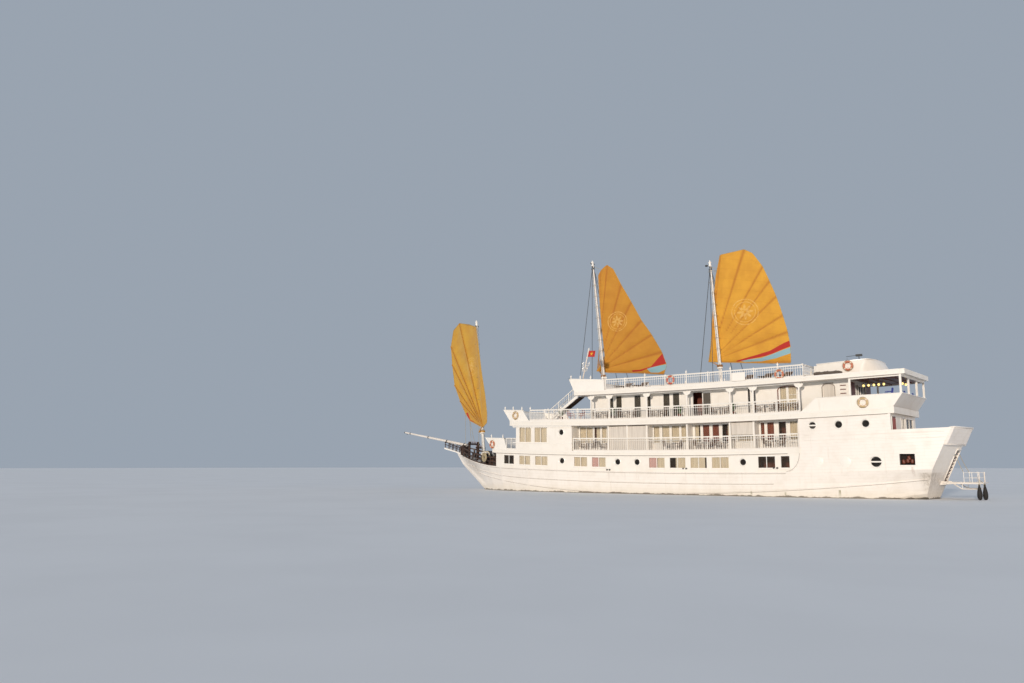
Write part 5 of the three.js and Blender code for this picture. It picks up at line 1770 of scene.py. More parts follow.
@dataclass
class Joinery:
    """Entrance, screen panel, louvre and the sliding doors' glass in the deck 3 house."""

    frame: Frame
    arch: tuple[float, float] = (-12.22, -10.66)
    panel: tuple[float, float] = (-14.98, -14.1)
    louvre: tuple[float, float, float, float] = (-15.86, -15.42, 7.75, 8.35)

    def build(self) -> None:
        """Makes the joinery on both sides and the blinds under deck 3."""
        palette = self.frame.palette
        finishes = [palette.trim, palette.screen, palette.cabin, palette.seam]
        for name, side in SIDES:
            sketch = Sketch()
            sketch.finish = 2
            self.arched_frame(sketch, *self.arch, side, 2.14, 0.07)
            # The panel's arched frame takes the grey of the painted shadow lines.
            sketch.finish = 3
            self.arched_frame(sketch, *self.panel, side, 2.1, 0.06)
            x0, x1, z0, z1 = self.louvre
            wall = side * HOUSE_Y
            sketch.finish = 2
            for z in spaced(z0, z1, 2):
                sketch.box(x0, x1, wall, wall + side * 0.05, z - 0.03, z + 0.03)
            sketch.finish = 0
            for a, b in ((x0 - 0.05, x0), (x1, x1 + 0.05)):
                sketch.box(a, b, wall, wall + side * 0.06, z0 - 0.05, z1 + 0.05)
            for i in (1, 2):
                z = deck3_top(-11.8) + 0.2 + i * 0.62
                sketch.box(-12.1, -11.45, wall + side * 0.005, wall - side * 0.03, z, z + 0.03)
            sketch.finish = 1
            foot, head = deck3_top(self.panel[0]) + 0.1, sun_under(self.panel[0]) - 0.02
            sketch.box(-15.0, -14.08, wall - side * 0.03, wall - side * 0.09, foot, head)
            Piece.make(f"deck3_joinery_{name}", sketch, finishes, "window_frame", sharp=30)
            self.blinds(name, side)
            self.sliding_pane(name, side)
        self.poop_door()

    @staticmethod
    def arched_frame(sketch: Sketch, x0: float, x1: float, side: int, height: float, width: float) -> None:
        """A raised frame with a low arched head on the deck 3 wall."""
        middle, half = (x0 + x1) / 2, (x1 - x0) / 2
        foot = deck3_top(middle) + 0.02
        y0, y1 = side * HOUSE_Y, side * (HOUSE_Y + 0.05)
        steps = [math.pi * i / 12 for i in range(13)]
        inner = [(middle - half * math.cos(a), foot + height - 0.3 + 0.25 * math.sin(a)) for a in steps]
        outer = [
            (
                middle - (half + width) * math.cos(a), foot + height - 0.3 + (0.25 + width) * math.sin(a),
            ) for a in steps
        ]
        inner = [(x0, foot), *inner, (x1, foot)]
        outer = [(x0 - width, foot), *outer, (x1 + width, foot)]
        sketch.loft([
            [(a[0], y0, a[1]), (a[0], y1, a[1]), (b[0], y1, b[1]), (b[0], y0, b[1])] for a,
            b in zip(inner, outer)
        ])

    def blinds(self, name: str, side: int) -> None:
        """Roll-down screens that close three bays of deck 2 above the rail."""
        sketch = Sketch()
        for x0, x1, foot, inset in (
            (2.44, 4.32, 0.12, 0.27), (0.44, 2.38, 0.12, 0.27), (-8.9, -7.05, 1.2, 0.25),
        ):
            z1, z0 = deck3_under(x0) - 0.1, deck2_top(x0) + foot
            rows = []
            for z in (z1, (z0 + z1) / 2, z0):
                row = []
                for x in spaced(x0, x1, 24):
                    sway = 0.012 * math.sin(x * 17) * (z1 - z) / (z1 - z0)
                    row.append((x, side * (breadth(x) - inset + sway), z))
                rows.append(row)
            sketch.shell(rows, 0.006)
        made = Piece.make(f"deck2_blinds_{name}", sketch, [self.frame.palette.screen], "sailcloth", sharp=80)

    def sliding_pane(self, name: str, side: int) -> None:
        """The glass and rim of the sliding leaf and its steel handle, which move with it."""
        palette = self.frame.palette
        leaf = [v.co / MODEL_SCALE for v in self.frame.nodes[f"sliding_door_{name}"].data.vertices]
        face = max(abs(p.y) for p in leaf) * side
        x0, x1 = min(p.x for p in leaf) + 0.08, max(p.x for p in leaf) - 0.08
        z0, z1 = min(p.z for p in leaf) + 0.12, max(p.z for p in leaf) - 0.1
        pane = Sketch()
        pane.box(x0, x1, face, face + side * 0.006, z0, z1)
        pane.finish = 1
        for a, b, low, high in (
            (x0 - 0.02, x0, z0, z1), (x1, x1 + 0.02, z0, z1), (x0 - 0.02, x1 + 0.02, z1, z1 + 0.02),
            (x0 - 0.02, x1 + 0.02, z0 - 0.02, z0),
        ):
            pane.box(a, b, face, face + side * 0.014, low, high)
        pane.finish = 2
        pane.box(x1 + 0.03, x1 + 0.05, face, face + side * 0.03, z0 + 0.8, z0 + 1.05)
        finishes = [palette.smoked, palette.trim, palette.steel]
        Piece.make(
            f"sliding_door_pane_{name}", pane, finishes, "glass", body=f"sliding_door_{name}", bevel=0.003,
        )

    def poop_door(self) -> None:
        """Panels and handle of the aft deck door, which move with it."""
        sketch = Sketch()
        x = AFT_WALL_X
        foot = deck2_top(-19.05) + 0.1
        for low, high in ((0.12, 0.85), (0.98, 1.82)):
            for y0, y1 in ((2.36, 2.72), (2.82, 3.18)):
                sketch.box(x - 0.045, x - 0.02, y0, y1, foot + low, foot + high)
        sketch.finish = 1
        sketch.turned([(0.025, 0), (0.03, 0.03), (0.012, 0.05)], (x - 0.03, 2.33, foot + 0.95), (-1, 0, 0), 8)
        Piece.make(
            "aft_deck_door_panels", sketch, [self.frame.palette.door, self.frame.palette.bronze],
            "door_paint",
            body="aft_deck_door", bevel=0.01,
        )


@dataclass
class Prows:
    """Caps, corner beads and knobs on the three flared bulwarks forward."""

    frame: Frame
    lip: float = 0.05
    shapes: tuple[tuple[str, Line, float, float, float, float, float, tuple[float, ...]], ...] = (
        ("deck2", deck2_top, 16.35, 18.05, 19.2, 4.98, 5.1, (16.55, 18.3)),
        ("deck3", deck3_top, 13.8, 15.5, 16.35, 7.56, 7.7, (13.95, 15.1, 16.22)),
        ("sun", sun_top, 4.6, 7.72, 8.25, 9.89, 10.18, (4.75, 6.0, 7.1, 8.1)),
    )
    stair_gap: tuple[float, float] = (2.1, 3.15)

    def build(self) -> None:
        """Makes one piece of trim for each bulwark."""
        for name, line, aft, foot, tip, top, tip_top, knobs in self.shapes:
            sketch = Sketch()
            head = reading([(aft, top), (tip, tip_top)])
            half = breadth(tip) + 0.06
            for _, side in SIDES:
                outer, inner = on_side(breadth, side, 0.06), on_side(breadth, side, -0.15)
                sketch.band(aft - 0.03, tip + 0.04, head, raised(head, self.lip), outer, inner)
                sketch.band(
                    aft + 0.05, tip - 0.1, raised(head, -0.16), raised(head, -0.12),
                    on_side(breadth, side, 0.045), on_side(breadth, side, 0.01),
                )
                edge = zip(spaced(foot, tip, 4), spaced(line(foot), tip_top, 4))
                sketch.tube([(x, side * (breadth(x) + 0.012), z) for x, z in edge], 0.035, 6)
                for x in knobs:
                    sketch.turned(
                        Railings.knob, (x, side * (breadth(x) - 0.05), head(x) + self.lip), sides=10,
                    )
            spans = ((-half, half),)
            if name == "sun":
                spans = ((-half, self.stair_gap[0]), (self.stair_gap[1], half))
            for y0, y1 in spans:
                sketch.box(tip - 0.17, tip + 0.04, y0, y1, tip_top, tip_top + self.lip)
            rise = tip_top - line(foot)
            for low, high in ((0.06, 0.12), (0.8, 0.85)):
                ring = []
                for part in (low, high):
                    x = foot + (tip - foot) * part
                    for out in (0.0, 0.03):
                        ring.append((x + out, line(foot) + rise * part - out * 0.5))
                corners = [ring[0], ring[1], ring[3], ring[2]]
                for y0, y1 in (
                    (-half + 0.15, 2.0), (2.0, half - 0.15),
                ) if name != "sun" else ((-half + 0.15, 2.05),):
                    sketch.block([(x, y0, z) for x, z in corners], [(x, y1, z) for x, z in corners])
            Piece.make(f"{name}_prow_caps", sketch, [self.frame.palette.trim], "house_paint", sharp=40)


class Buoy(Enum):
    """The colours of a lifebuoy's shell."""

    RED = 0
    ORANGE = 1
    FADED = 2


@dataclass
class Lifebuoys:
    """Lifebuoys on rails and bulwarks, with their bands and grab lines."""

    frame: Frame
    radius: float = 0.3
    section: float = 0.078
    places: tuple[tuple[float, float, float, Buoy], ...] = (
        (-1.91, 3.915, 9.5, Buoy.RED), (18.05, 0.0, 4.45, Buoy.ORANGE), (14.7, 0.0, 7.13, Buoy.FADED),
        (-17.28, 0.0, 6.92, Buoy.FADED), (-16.0, 2.53, 9.83, Buoy.ORANGE), (-11.21, 3.9, 9.37, Buoy.ORANGE),
    )

    def build(self) -> None:
        """Hangs the lifebuoys on both sides; where no y is given they hang on the shell."""
        palette = self.frame.palette
        finishes = [
            palette.red_shell, palette.orange, palette.buoy_tan, palette.buoy_white, palette.rope,
            palette.steel,
        ]
        for name, side in SIDES:
            sketch = Sketch()
            for x, y, z, shade in self.places:
                slope = 0.0 if y else (breadth(x + 0.2) - breadth(x - 0.2)) / 0.4
                axis = Vector((-slope, side, 0)).normalized()
                wall = Vector((x, side * (y or breadth(x) + 0.02), z))
                self.buoy(sketch, wall + axis * self.section, axis, shade)
            Piece.make(f"lifebuoys_{name}", sketch, finishes, "lifebuoy", sharp=50)

    def buoy(self, sketch: Sketch, centre: Vector, axis: Vector, shade: Buoy) -> None:
        """One lifebuoy.

        Args:
            sketch: Takes its faces.
            centre: Its middle.
            axis: The way it faces.
            shade: Its shell's colour.
        """
        turn = Vector((0, 0, 1)).rotation_difference(axis)

        def arc(start: float, end: float, count: int, reach: Line) -> list[Vector]:
            """Points round the buoy between two angles."""
            angles = spaced(start, end, count)
            return [
                centre + turn @ Vector((math.cos(a) * reach(a), math.sin(a) * reach(a), 0)) for a in angles
            ]

        sketch.finish = shade.value
        sketch.ring(centre, axis, self.radius, self.section, 28, 10)
        sketch.finish = 3
        for k in range(4):
            middle = math.pi / 4 + math.pi / 2 * k
            sketch.tube(arc(middle - 0.2, middle + 0.2, 4, level(self.radius)), self.section + 0.006, 10)
        sketch.finish = 4
        line = arc(
            0, 2 * math.pi, 32, lambda a: self.radius + self.section + 0.035 * abs(math.cos(2 * a)) ** 0.5,
        )
        sketch.tube(line[:-1], 0.011, 5, closed=True)
        sketch.finish = 5
        for y in (-0.12, 0.12):
            foot = centre + turn @ Vector((0, y, 0)) - axis * (self.section + 0.02)
            sketch.tube([foot, foot + axis * (2 * self.section + 0.03)], 0.012, 5)


@dataclass
class Plants:
    """Potted palms along the deck 3 walkway."""

    frame: Frame
    leaves: int = 34
    places: tuple[tuple[float, float, float, Line], ...] = (
        (4.1, 3.3, 1.6, deck3_top), (-2.36, 3.3, 1.5, deck3_top), (-7.05, 3.3, 1.5, deck3_top),
        (-13.84, 3.25, 1.3, deck3_top), (9.6, 3.4, 1.25, deck3_top),
    )

    def build(self) -> None:
        """Makes pots and leaves on both sides."""
        palette = self.frame.palette
        for name, side in SIDES:
            dice = random.Random(11 + side)
            sketch = Sketch()
            for x, y, height, floor in self.places:
                foot = Vector((x, side * y, floor(x) + GAP))
                sketch.finish = 0
                pot = [
                    (0.11, 0), (0.14, 0.03), (0.17, 0.26), (0.195, 0.29), (0.195, 0.34), (0.16, 0.34),
                    (0.15, 0.3),
                ]
                sketch.turned(pot, foot, sides=14)
                sketch.finish = 1
                for _ in range(self.leaves):
                    self.leaf(sketch, foot + Vector((0, 0, 0.3)), height - 0.3, dice)
            Piece.make(f"potted_palms_{name}", sketch, [palette.clay, palette.leaf], "foliage", sharp=60)

    @staticmethod
    def leaf(sketch: Sketch, root: Vector, height: float, dice: random.Random) -> None:
        """One arching leaf from the pot's mouth."""
        angle = dice.uniform(0, 2 * math.pi)
        lean, tall = dice.uniform(0.1, 0.42), height * dice.uniform(0.6, 1.0)
        wide = dice.uniform(0.03, 0.05)
        out = Vector((math.cos(angle), math.sin(angle), 0))
        across = Vector((-out.y, out.x, 0))
        rows = []
        for i in range(6):
            part = i / 5
            middle = root + out * (0.04 + lean * part ** 1.6) + Vector(
                (0, 0, tall * (part - 0.32 * part ** 3)),
            )
            half = wide * math.sin(math.pi * (0.12 + 0.8 * part))
            rows.append(
                [middle - across * half, middle + Vector((0, 0, -0.3 * half)), middle + across * half],
            )
        sketch.shell(rows, 0.005)


@dataclass
class Furniture:
    """Chairs, tables and loungers on the open decks."""

    frame: Frame
    walkway_y: float = 3.3
    gallery_tables: tuple[tuple[float, float], ...] = (
        (-18.5, 2.55), (-18.5, 0.85), (-18.5, -0.85), (-18.5, -2.55), (-17.0, 1.9), (-17.0, -1.9),
    )

    def build(self) -> None:
        """Sets out the furniture deck by deck."""
        palette = self.frame.palette
        cane, seats = Sketch(), Sketch()
        for x in (5.3, 2.7, -0.3, -5.9, -9.7, -11.6):
            for _, side in SIDES:
                self.group(cane, x, side * self.walkway_y, deck3_top(x))
        for x in (6.9, 4.9, -1.6, -4.4, -6.2, -10.3):
            for _, side in SIDES:
                self.group(cane, x, side * self.walkway_y, deck2_top(x))
        finishes = [palette.cane, palette.trim]
        Piece.make("walkway_chairs", cane, finishes, "furniture", sharp=40)
        for x, y in self.gallery_tables:
            floor = deck3_top(x)
            seats.stamp(self.table(0.42), (x, y, floor))
            for heading in (0, 180):
                way = Vector((math.cos(math.radians(heading)), math.sin(math.radians(heading)), 0))
                seats.stamp(self.chair(), Vector((x, y, floor)) - way * 0.55, heading)
        for y in (-3.0, -0.4, 0.4, 3.0):
            seats.stamp(self.chair(0.5), (-18.9, y, deck3_top(-18.9)))
        Piece.make("gallery_chairs", seats, [palette.blue_cane, palette.trim], "furniture", sharp=40)
        red = Sketch()
        for x, heading in ((7.35, 0), (8.45, 180)):
            for _, side in SIDES:
                red.stamp(self.chair(), (x, side * 3.5, deck3_top(x) + GAP), heading)
        Piece.make("forward_chairs", red, [palette.door], "furniture", sharp=40)
        loungers = Sketch()
        for x in (3.3, 1.7, -8.0, -9.6, -11.2):
            for _, side in SIDES:
                loungers.stamp(self.lounger(), (x, side * 2.6, sun_top(x) + 0.01), 90 * side)
        Piece.make("sun_loungers", loungers, [palette.cane, palette.trim], "furniture", sharp=40)

    def group(self, sketch: Sketch, x: float, y: float, floor: float) -> None:
        """Two chairs facing a small round table."""
        sketch.stamp(self.table(0.26), (x, y, floor + GAP))
        sketch.stamp(self.chair(), (x - 0.55, y, floor + GAP))
        sketch.stamp(self.chair(), (x + 0.55, y, floor + GAP), 180)

    @staticmethod
    def table(radius: float) -> Sketch:
        """A round table on a turned leg, its top in the second finish."""
        made = Sketch()
        made.turned(
            [(0.2, 0), (0.21, 0.02), (0.06, 0.05), (0.035, 0.12), (0.05, 0.4), (0.03, 0.66), (0.09, 0.69)],
            (0, 0, 0),
        )
        made.finish = 1
        made.turned(
            [(radius - 0.02, 0.69), (radius, 0.7), (radius, 0.725), (radius - 0.01, 0.735)], (0, 0, 0),
            sides=18,
        )
        return made

    @staticmethod
    def chair(rise: float = 0.0) -> Sketch:
        """A cane armchair that faces +X, its seat raised by rise."""
        made = Sketch()
        seat, arm, back = 0.42 + rise, 0.62 + rise, 0.86 + rise
        for x, y, top in ((0.2, 0.22, arm), (0.2, -0.22, arm), (-0.2, 0.22, back), (-0.2, -0.22, back)):
            made.tube([(x, y, 0), (x, y, seat), (x * (1 if x > 0 else 1.3), y, top)], 0.018, 6)
        for y in (0.22, -0.22):
            made.tube([(-0.23, y, arm), (0.05, y, arm + 0.02), (0.2, y, arm)], 0.02, 6)
        made.box(-0.2, 0.23, -0.22, 0.22, seat - 0.02, seat + 0.015)
        made.tube([(-0.26, -0.22, back), (-0.27, 0, back + 0.04), (-0.26, 0.22, back)], 0.018, 6)
        for i in range(7):
            y = -0.165 + 0.055 * i
            made.tube([(-0.2, y, seat + 0.01), (-0.265, y, back + 0.02)], 0.009, 4)
        return made

    @staticmethod
    def lounger() -> Sketch:
        """A slatted lounger, its head towards -X, with a raised back."""
        made = Sketch()
        back = [(-0.95, 0.72), (-0.35, 0.34)]
        for y in (0.3, -0.3):
            made.tube([(0.95, y, 0.3), (-0.35, y, 0.32), (-0.95, y, 0.7)], 0.025, 6)
            for x in (0.8, -0.3):
                made.tube([(x, y, 0), (x, y, 0.31)], 0.025, 6)
        for i in range(13):
            x = -0.3 + 0.1 * i
            made.box(x, x + 0.07, -0.3, 0.3, 0.32, 0.345)
        for i in range(6):
            part = i / 6
            x = back[1][0] + (back[0][0] - back[1][0]) * part
            z = back[1][1] + (back[0][1] - back[1][1]) * part
            made.block(
                [(x, -0.3, z), (x - 0.06, -0.3, z + 0.038), (x - 0.06, 0.3, z + 0.038), (x, 0.3, z)],
                [
                    (x + 0.012, -0.3, z + 0.02), (x - 0.048, -0.3, z + 0.058), (x - 0.048, 0.3, z + 0.058),
                    (x + 0.012, 0.3, z + 0.02),
                ],
            )
        return made


@dataclass
class Deckhouse:
    """The deckhouse on the sun deck: upright sides, a bowed after end, a lipped roof and its gear."""

    frame: Frame
    half: float = 2.5
    levels: tuple[tuple[float, float, float, float], ...] = (
        (0.0, -13.3, -16.62, -18.42), (0.35, -13.42, -16.8, -18.22), (0.8, -13.58, -17.1, -17.9),
        (1.0, -13.66, -17.25, -17.7),
    )
    awning: tuple[float, float] = (-13.45, -15.55)

    def top(self, x: float) -> float:
        """Height of the roof at x."""
        return 10.12 + (-13.65 - x) / 3.35 * 0.14

    def ring(self, part: float, front: float, corner: float, aft: float, grow: float = 0.0) -> list[Point]:
        """The plan outline at a share of the height.

        Args:
            part: 0 at the deck, 1 at the roof.
            front: x of the front.
            corner: x where the sides end.
            aft: x of the bowed end's middle.
            grow: How far the outline stands out.

        Returns:
            Its corners, round the house.
        """
        half = self.half + grow
        plan = [(front + grow, half), (front + grow, -half)]
        for i in range(15):
            angle = math.pi * (i / 14 - 0.5)
            plan.append((corner - grow - (corner - aft) * math.cos(angle), half * math.sin(angle)))
        return [(x, y, sun_top(x) + GAP + (self.top(x) - sun_top(x) - GAP) * part) for x, y in plan]

    def build(self) -> None:
        """Makes the house, its roof lip, door, windows and roof gear."""
        palette = self.frame.palette
        body = Sketch()
        body.loft([self.ring(*row) for row in self.levels])
        house = Piece.make("deckhouse_shell", body, [palette.enamel], "house_paint", sharp=28, bevel=0.03)
        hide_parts("deckhouse")
        trim = Sketch()
        roof = self.ring(*self.levels[-1], 0.05)
        trim.loft([[(x, y, z - 0.04) for x, y, z in roof], [(x, y, z + 0.015) for x, y, z in roof]])
        front = self.levels[1][1]
        for y0, y1, low, high in ((-0.45, 0.45, 0.12, 0.98), (1.0, 2.0, 0.5, 0.9), (-2.0, -1.0, 0.5, 0.9)):
            z0, z1 = sun_top(front) + low, sun_top(front) + high
            for a, b, c, d in (
                (y0, y1, z1, z1 + 0.05), (y0, y1, z0 - 0.05, z0), (y0 - 0.05, y0, z0 - 0.05, z1 + 0.05),
                (y1, y1 + 0.05, z0 - 0.05, z1 + 0.05),
            ):
                trim.box(front - 0.12, front + 0.14, a, b, c, d)
            trim.finish = 1
            trim.box(front - 0.1, front + 0.1, y0, y1, z0, z1)
            trim.finish = 0
        Piece.make("deckhouse_trim", trim, [palette.trim, palette.glass], "house_paint", bevel=0.008)
        self.gear()

    def gear(self) -> None:
        """Awning cases on both sides, and the horn, lamp, domes and whips on the roof."""
        palette = self.frame.palette
        cases = Sketch()
        for _, side in SIDES:
            x0, x1 = self.awning
            path = [
                (
                    x0 + (x1 - x0) * i / 10, side * 2.66, sun_top(-14.5) + 0.24 + 0.02 * math.sin(i * 1.7),
                ) for i in range(11)
            ]
            cases.tube(path, [0.1, 0.14, 0.155, 0.15, 0.16, 0.15, 0.16, 0.165, 0.155, 0.14, 0.1], 10)
            for i in (2, 5, 8):
                cases.ring(path[i], (1, 0, 0), 0.165, 0.014, 14, 5)
        Piece.make("awning_cases", cases, [palette.awning], "dark_timber", sharp=60)
        gear = Sketch()
        roof = self.top(-16.4)
        gear.turned([(0.06, 0), (0.035, 0.06), (0.03, 0.45)], (-16.4, 1.0, roof), sides=8)
        gear.box(-16.64, -16.18, 0.9, 1.1, roof + 0.44, roof + 0.6)
        gear.tube([(-16.2, 1.0, roof + 0.52), (-15.5, 1.15, roof + 0.46)], 0.02, 6)
        gear.turned([(0.07, 0), (0.07, 0.06), (0.03, 0.12)], (-17.6, 0.6, self.top(-17.6) - 0.04), sides=10)
        for x, y, tall in ((-15.6, 1.3, 0.4), (-14.4, -1.2, 0.5)):
            gear.turned(
                [(0.035, 0), (0.03, 0.08), (0.012, 0.12), (0.006, tall)], (x, y, self.top(x)), sides=6,
            )
        gear.turned([(0.12, 0), (0.12, 0.1), (0.06, 0.16)], (-14.2, 1.0, self.top(-14.2)), sides=12)
        Piece.make("roof_gear", gear, [palette.gear], "wire", bevel=0.01, sharp=40)


@dataclass
class Gallery:
    """Lamps, ceiling beams, a dark ceiling lining that paints the shade inside, and the bulwark's cap of the
    open gallery aft.
    """

    frame: Frame
    lamps: tuple[tuple[float, float], ...] = (
        (-16.94, 2.2), (-17.3, 2.2), (-17.68, 2.2), (-18.02, 2.2), (-18.38, 2.2), (-19.5, 1.5), (-19.5, 0.5),
    )
    drop: float = 0.45

    def build(self) -> None:
        """Makes the lamps and the trim of the gallery."""
        palette = self.frame.palette
        lamps = Sketch()
        shade = [(0.02, 0), (0.06, 0.02), (0.085, 0.07), (0.085, 0.12), (0.06, 0.17), (0.02, 0.19)]
        for x, y in self.lamps:
            ceiling = sun_under(x)
            lamps.finish = 0
            lamps.turned(shade, (x, y, ceiling - self.drop - 0.16))
            lamps.finish = 1
            lamps.tube([(x, y, ceiling - self.drop), (x, y, ceiling)], 0.01, 5)
            lamps.turned([(0.07, 0), (0.05, 0.04)], (x, y, ceiling - 0.05), sides=10)
            lamps.turned([(0.06, 0), (0.03, 0.05)], (x, y, ceiling - self.drop), sides=8)
        Piece.make("gallery_lamps", lamps, [palette.lamp, palette.bronze], "glass", sharp=40)
        trim = Sketch()
        for _, side in SIDES:
            outer, inner = on_side(breadth, side, 0.05), on_side(breadth, side, -0.15)
            trim.band(
                -19.9, -13.95, reading([(-19.95, 7.5), (-13.9, 7.38)]),
                reading([(-19.95, 7.54), (-13.9, 7.42)]), outer, inner,
            )
        trim.box(-20.0, -19.76, -breadth(-19.95) - 0.05, breadth(-19.95) + 0.05, 7.5, 7.55)
        # A rosewood lining under the ceiling, with its beams, darkens the open gallery's inside as painted
        # shade.
        trim.finish = 1
        trim.band(-19.6, -16.25, raised(sun_under, -0.03), raised(sun_under, -0.004), level(3.5), level(-3.5))
        for i in range(4):
            x = -16.8 - 0.75 * i
            trim.box(x, x + 0.09, -3.6, 3.6, sun_under(x) - 0.1, sun_under(x) - 0.004)
        Piece.make("gallery_trim", trim, [palette.trim, palette.cabin], "house_paint", bevel=0.01)


@dataclass
class MastGear:
    """Caps, lamps, halyards and hoops of the three masts."""

    frame: Frame
    hitches: tuple[tuple[str, float, float], ...] = (
        ("fore", 0.2, 14.25), ("main", 0.95, 12.1), ("aft", 0.62, 10.6),
    )

    @staticmethod
    def at(rig: Rig, x: float, y: float, v: float) -> Vector:
        """A place beside the mast, v up its length."""
        return Matrix.Translation(rig.foot) @ Matrix.Rotation(
            math.radians(rig.rake), 4, "Y",
        ) @ Vector((x, y, v))

    def build(self) -> None:
        """Dresses each mast, then adds the lines that swing with the sails."""
        palette = self.frame.palette
        finishes = [palette.trim, palette.gear, palette.lamp]
        for rig in RIGS:
            top, thick = rig.mast_length, rig.mast_radius * 0.6
            axis = self.at(rig, 0, 0, 1) - self.at(rig, 0, 0, 0)
            sketch = Sketch()
            cap = [
                (thick + 0.02, -0.1), (thick + 0.045, -0.06), (thick + 0.045, 0.0), (0.06, 0.05),
                (0.05, 0.12), (0.02, 0.17),
            ]
            sketch.turned(cap, self.at(rig, 0, 0, top), axis, 14)
            for v in (top - 0.75, top - 0.35, 2.9 if rig.name == "fore" else 1.3):
                radius = rig.mast_radius * (1 - 0.4 * v / top)
                sketch.turned(
                    [(radius + 0.03, 0), (radius + 0.035, 0.02), (radius + 0.03, 0.09)],
                    self.at(rig, 0, 0, v), axis, 14,
                )
            sketch.finish = 1
            if rig.name == "main":
                sketch.tube([self.at(rig, 0, y, top - 0.2) for y in (-0.32, 0.0, 0.32)], 0.022, 6)
                for y in (-0.3, 0.3):
                    sketch.turned(
                        [(0.03, 0), (0.045, 0.02), (0.045, 0.09), (0.02, 0.11)],
                        self.at(rig, 0, y, top - 0.19), sides=8,
                    )
            if rig.name == "aft":
                sketch.tube(
                    [self.at(rig, 0.08, 0, top - 0.34), self.at(rig, 0.26, 0.05, top - 0.28)], 0.022, 6,
                )
                sketch.turned(
                    [(0.05, 0), (0.09, 0.04), (0.08, 0.2), (0.03, 0.24)], self.at(rig, 0.2, 0.05, top - 0.3),
                    (1, 0.1, 0.1), 10,
                )
            for y in (-1, 1):
                offset = y * (rig.mast_radius + 0.05)
                high, low = self.at(rig, -0.04, offset * 0.75, top - 0.5), self.at(
                    rig, -0.04, offset, 1.0 if rig.name != "fore" else 1.5,
                )
                sketch.tube([high, low], 0.011, 5)
                sketch.tube([low + Vector((0, 0, -0.14)), low + Vector((0, 0, 0.16))], 0.026, 6)
                sketch.turned([(0.02, -0.1), (0.06, -0.07), (0.06, 0.07), (0.02, 0.1)], high, sides=8)
            Piece.make(f"{rig.name}_mast_gear", sketch, finishes, "spar_paint", sharp=40)
        for name, u, v in self.hitches:
            rig = next(r for r in RIGS if r.name == name)
            lines = Sketch()
            start = rig.world(0.02, 0.12, rig.mast_length - 0.42)
            lines.tube([start, rig.world(u, 0.33, v)], 0.014, 6)
            lines.turned([(0.02, -0.08), (0.055, -0.05), (0.055, 0.05), (0.02, 0.08)], start, sides=8)
            Piece.make(
                f"{name}_halyard", lines, [self.frame.palette.rope], "wire", body=f"{name}_rig", sharp=40,
            )


@dataclass
class SheetLines:
    """The taut lines from the foresail's battens to the foredeck."""

    frame: Frame
    runs: tuple[tuple[int, Point], ...] = (
        (8, (23.85, 0.25, 4.5)), (9, (23.0, 0.35, 4.68)), (9, (23.0, -0.2, 4.68)), (10, (22.04, 0.3, 4.27)),
    )
    radius: float = 0.016

    def build(self) -> None:
        """Makes each line as a bar of short lengths, blended between the deck and the sail."""
        rig = RIGS[0]
        for i, (index, foot) in enumerate(self.runs):
            u, v = rig.outline[index]
            head = rig.world(u - 0.03, 0.36, v)
            start = Vector(foot)
            sketch = Sketch()
            sketch.tube([start.lerp(head, k / 14) for k in range(15)], self.radius, 6)
            line = Piece.make(
                f"fore_sheet_{i + 1}", sketch, [self.frame.palette.rope], "wire", body="", sharp=40,
            )
            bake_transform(line)


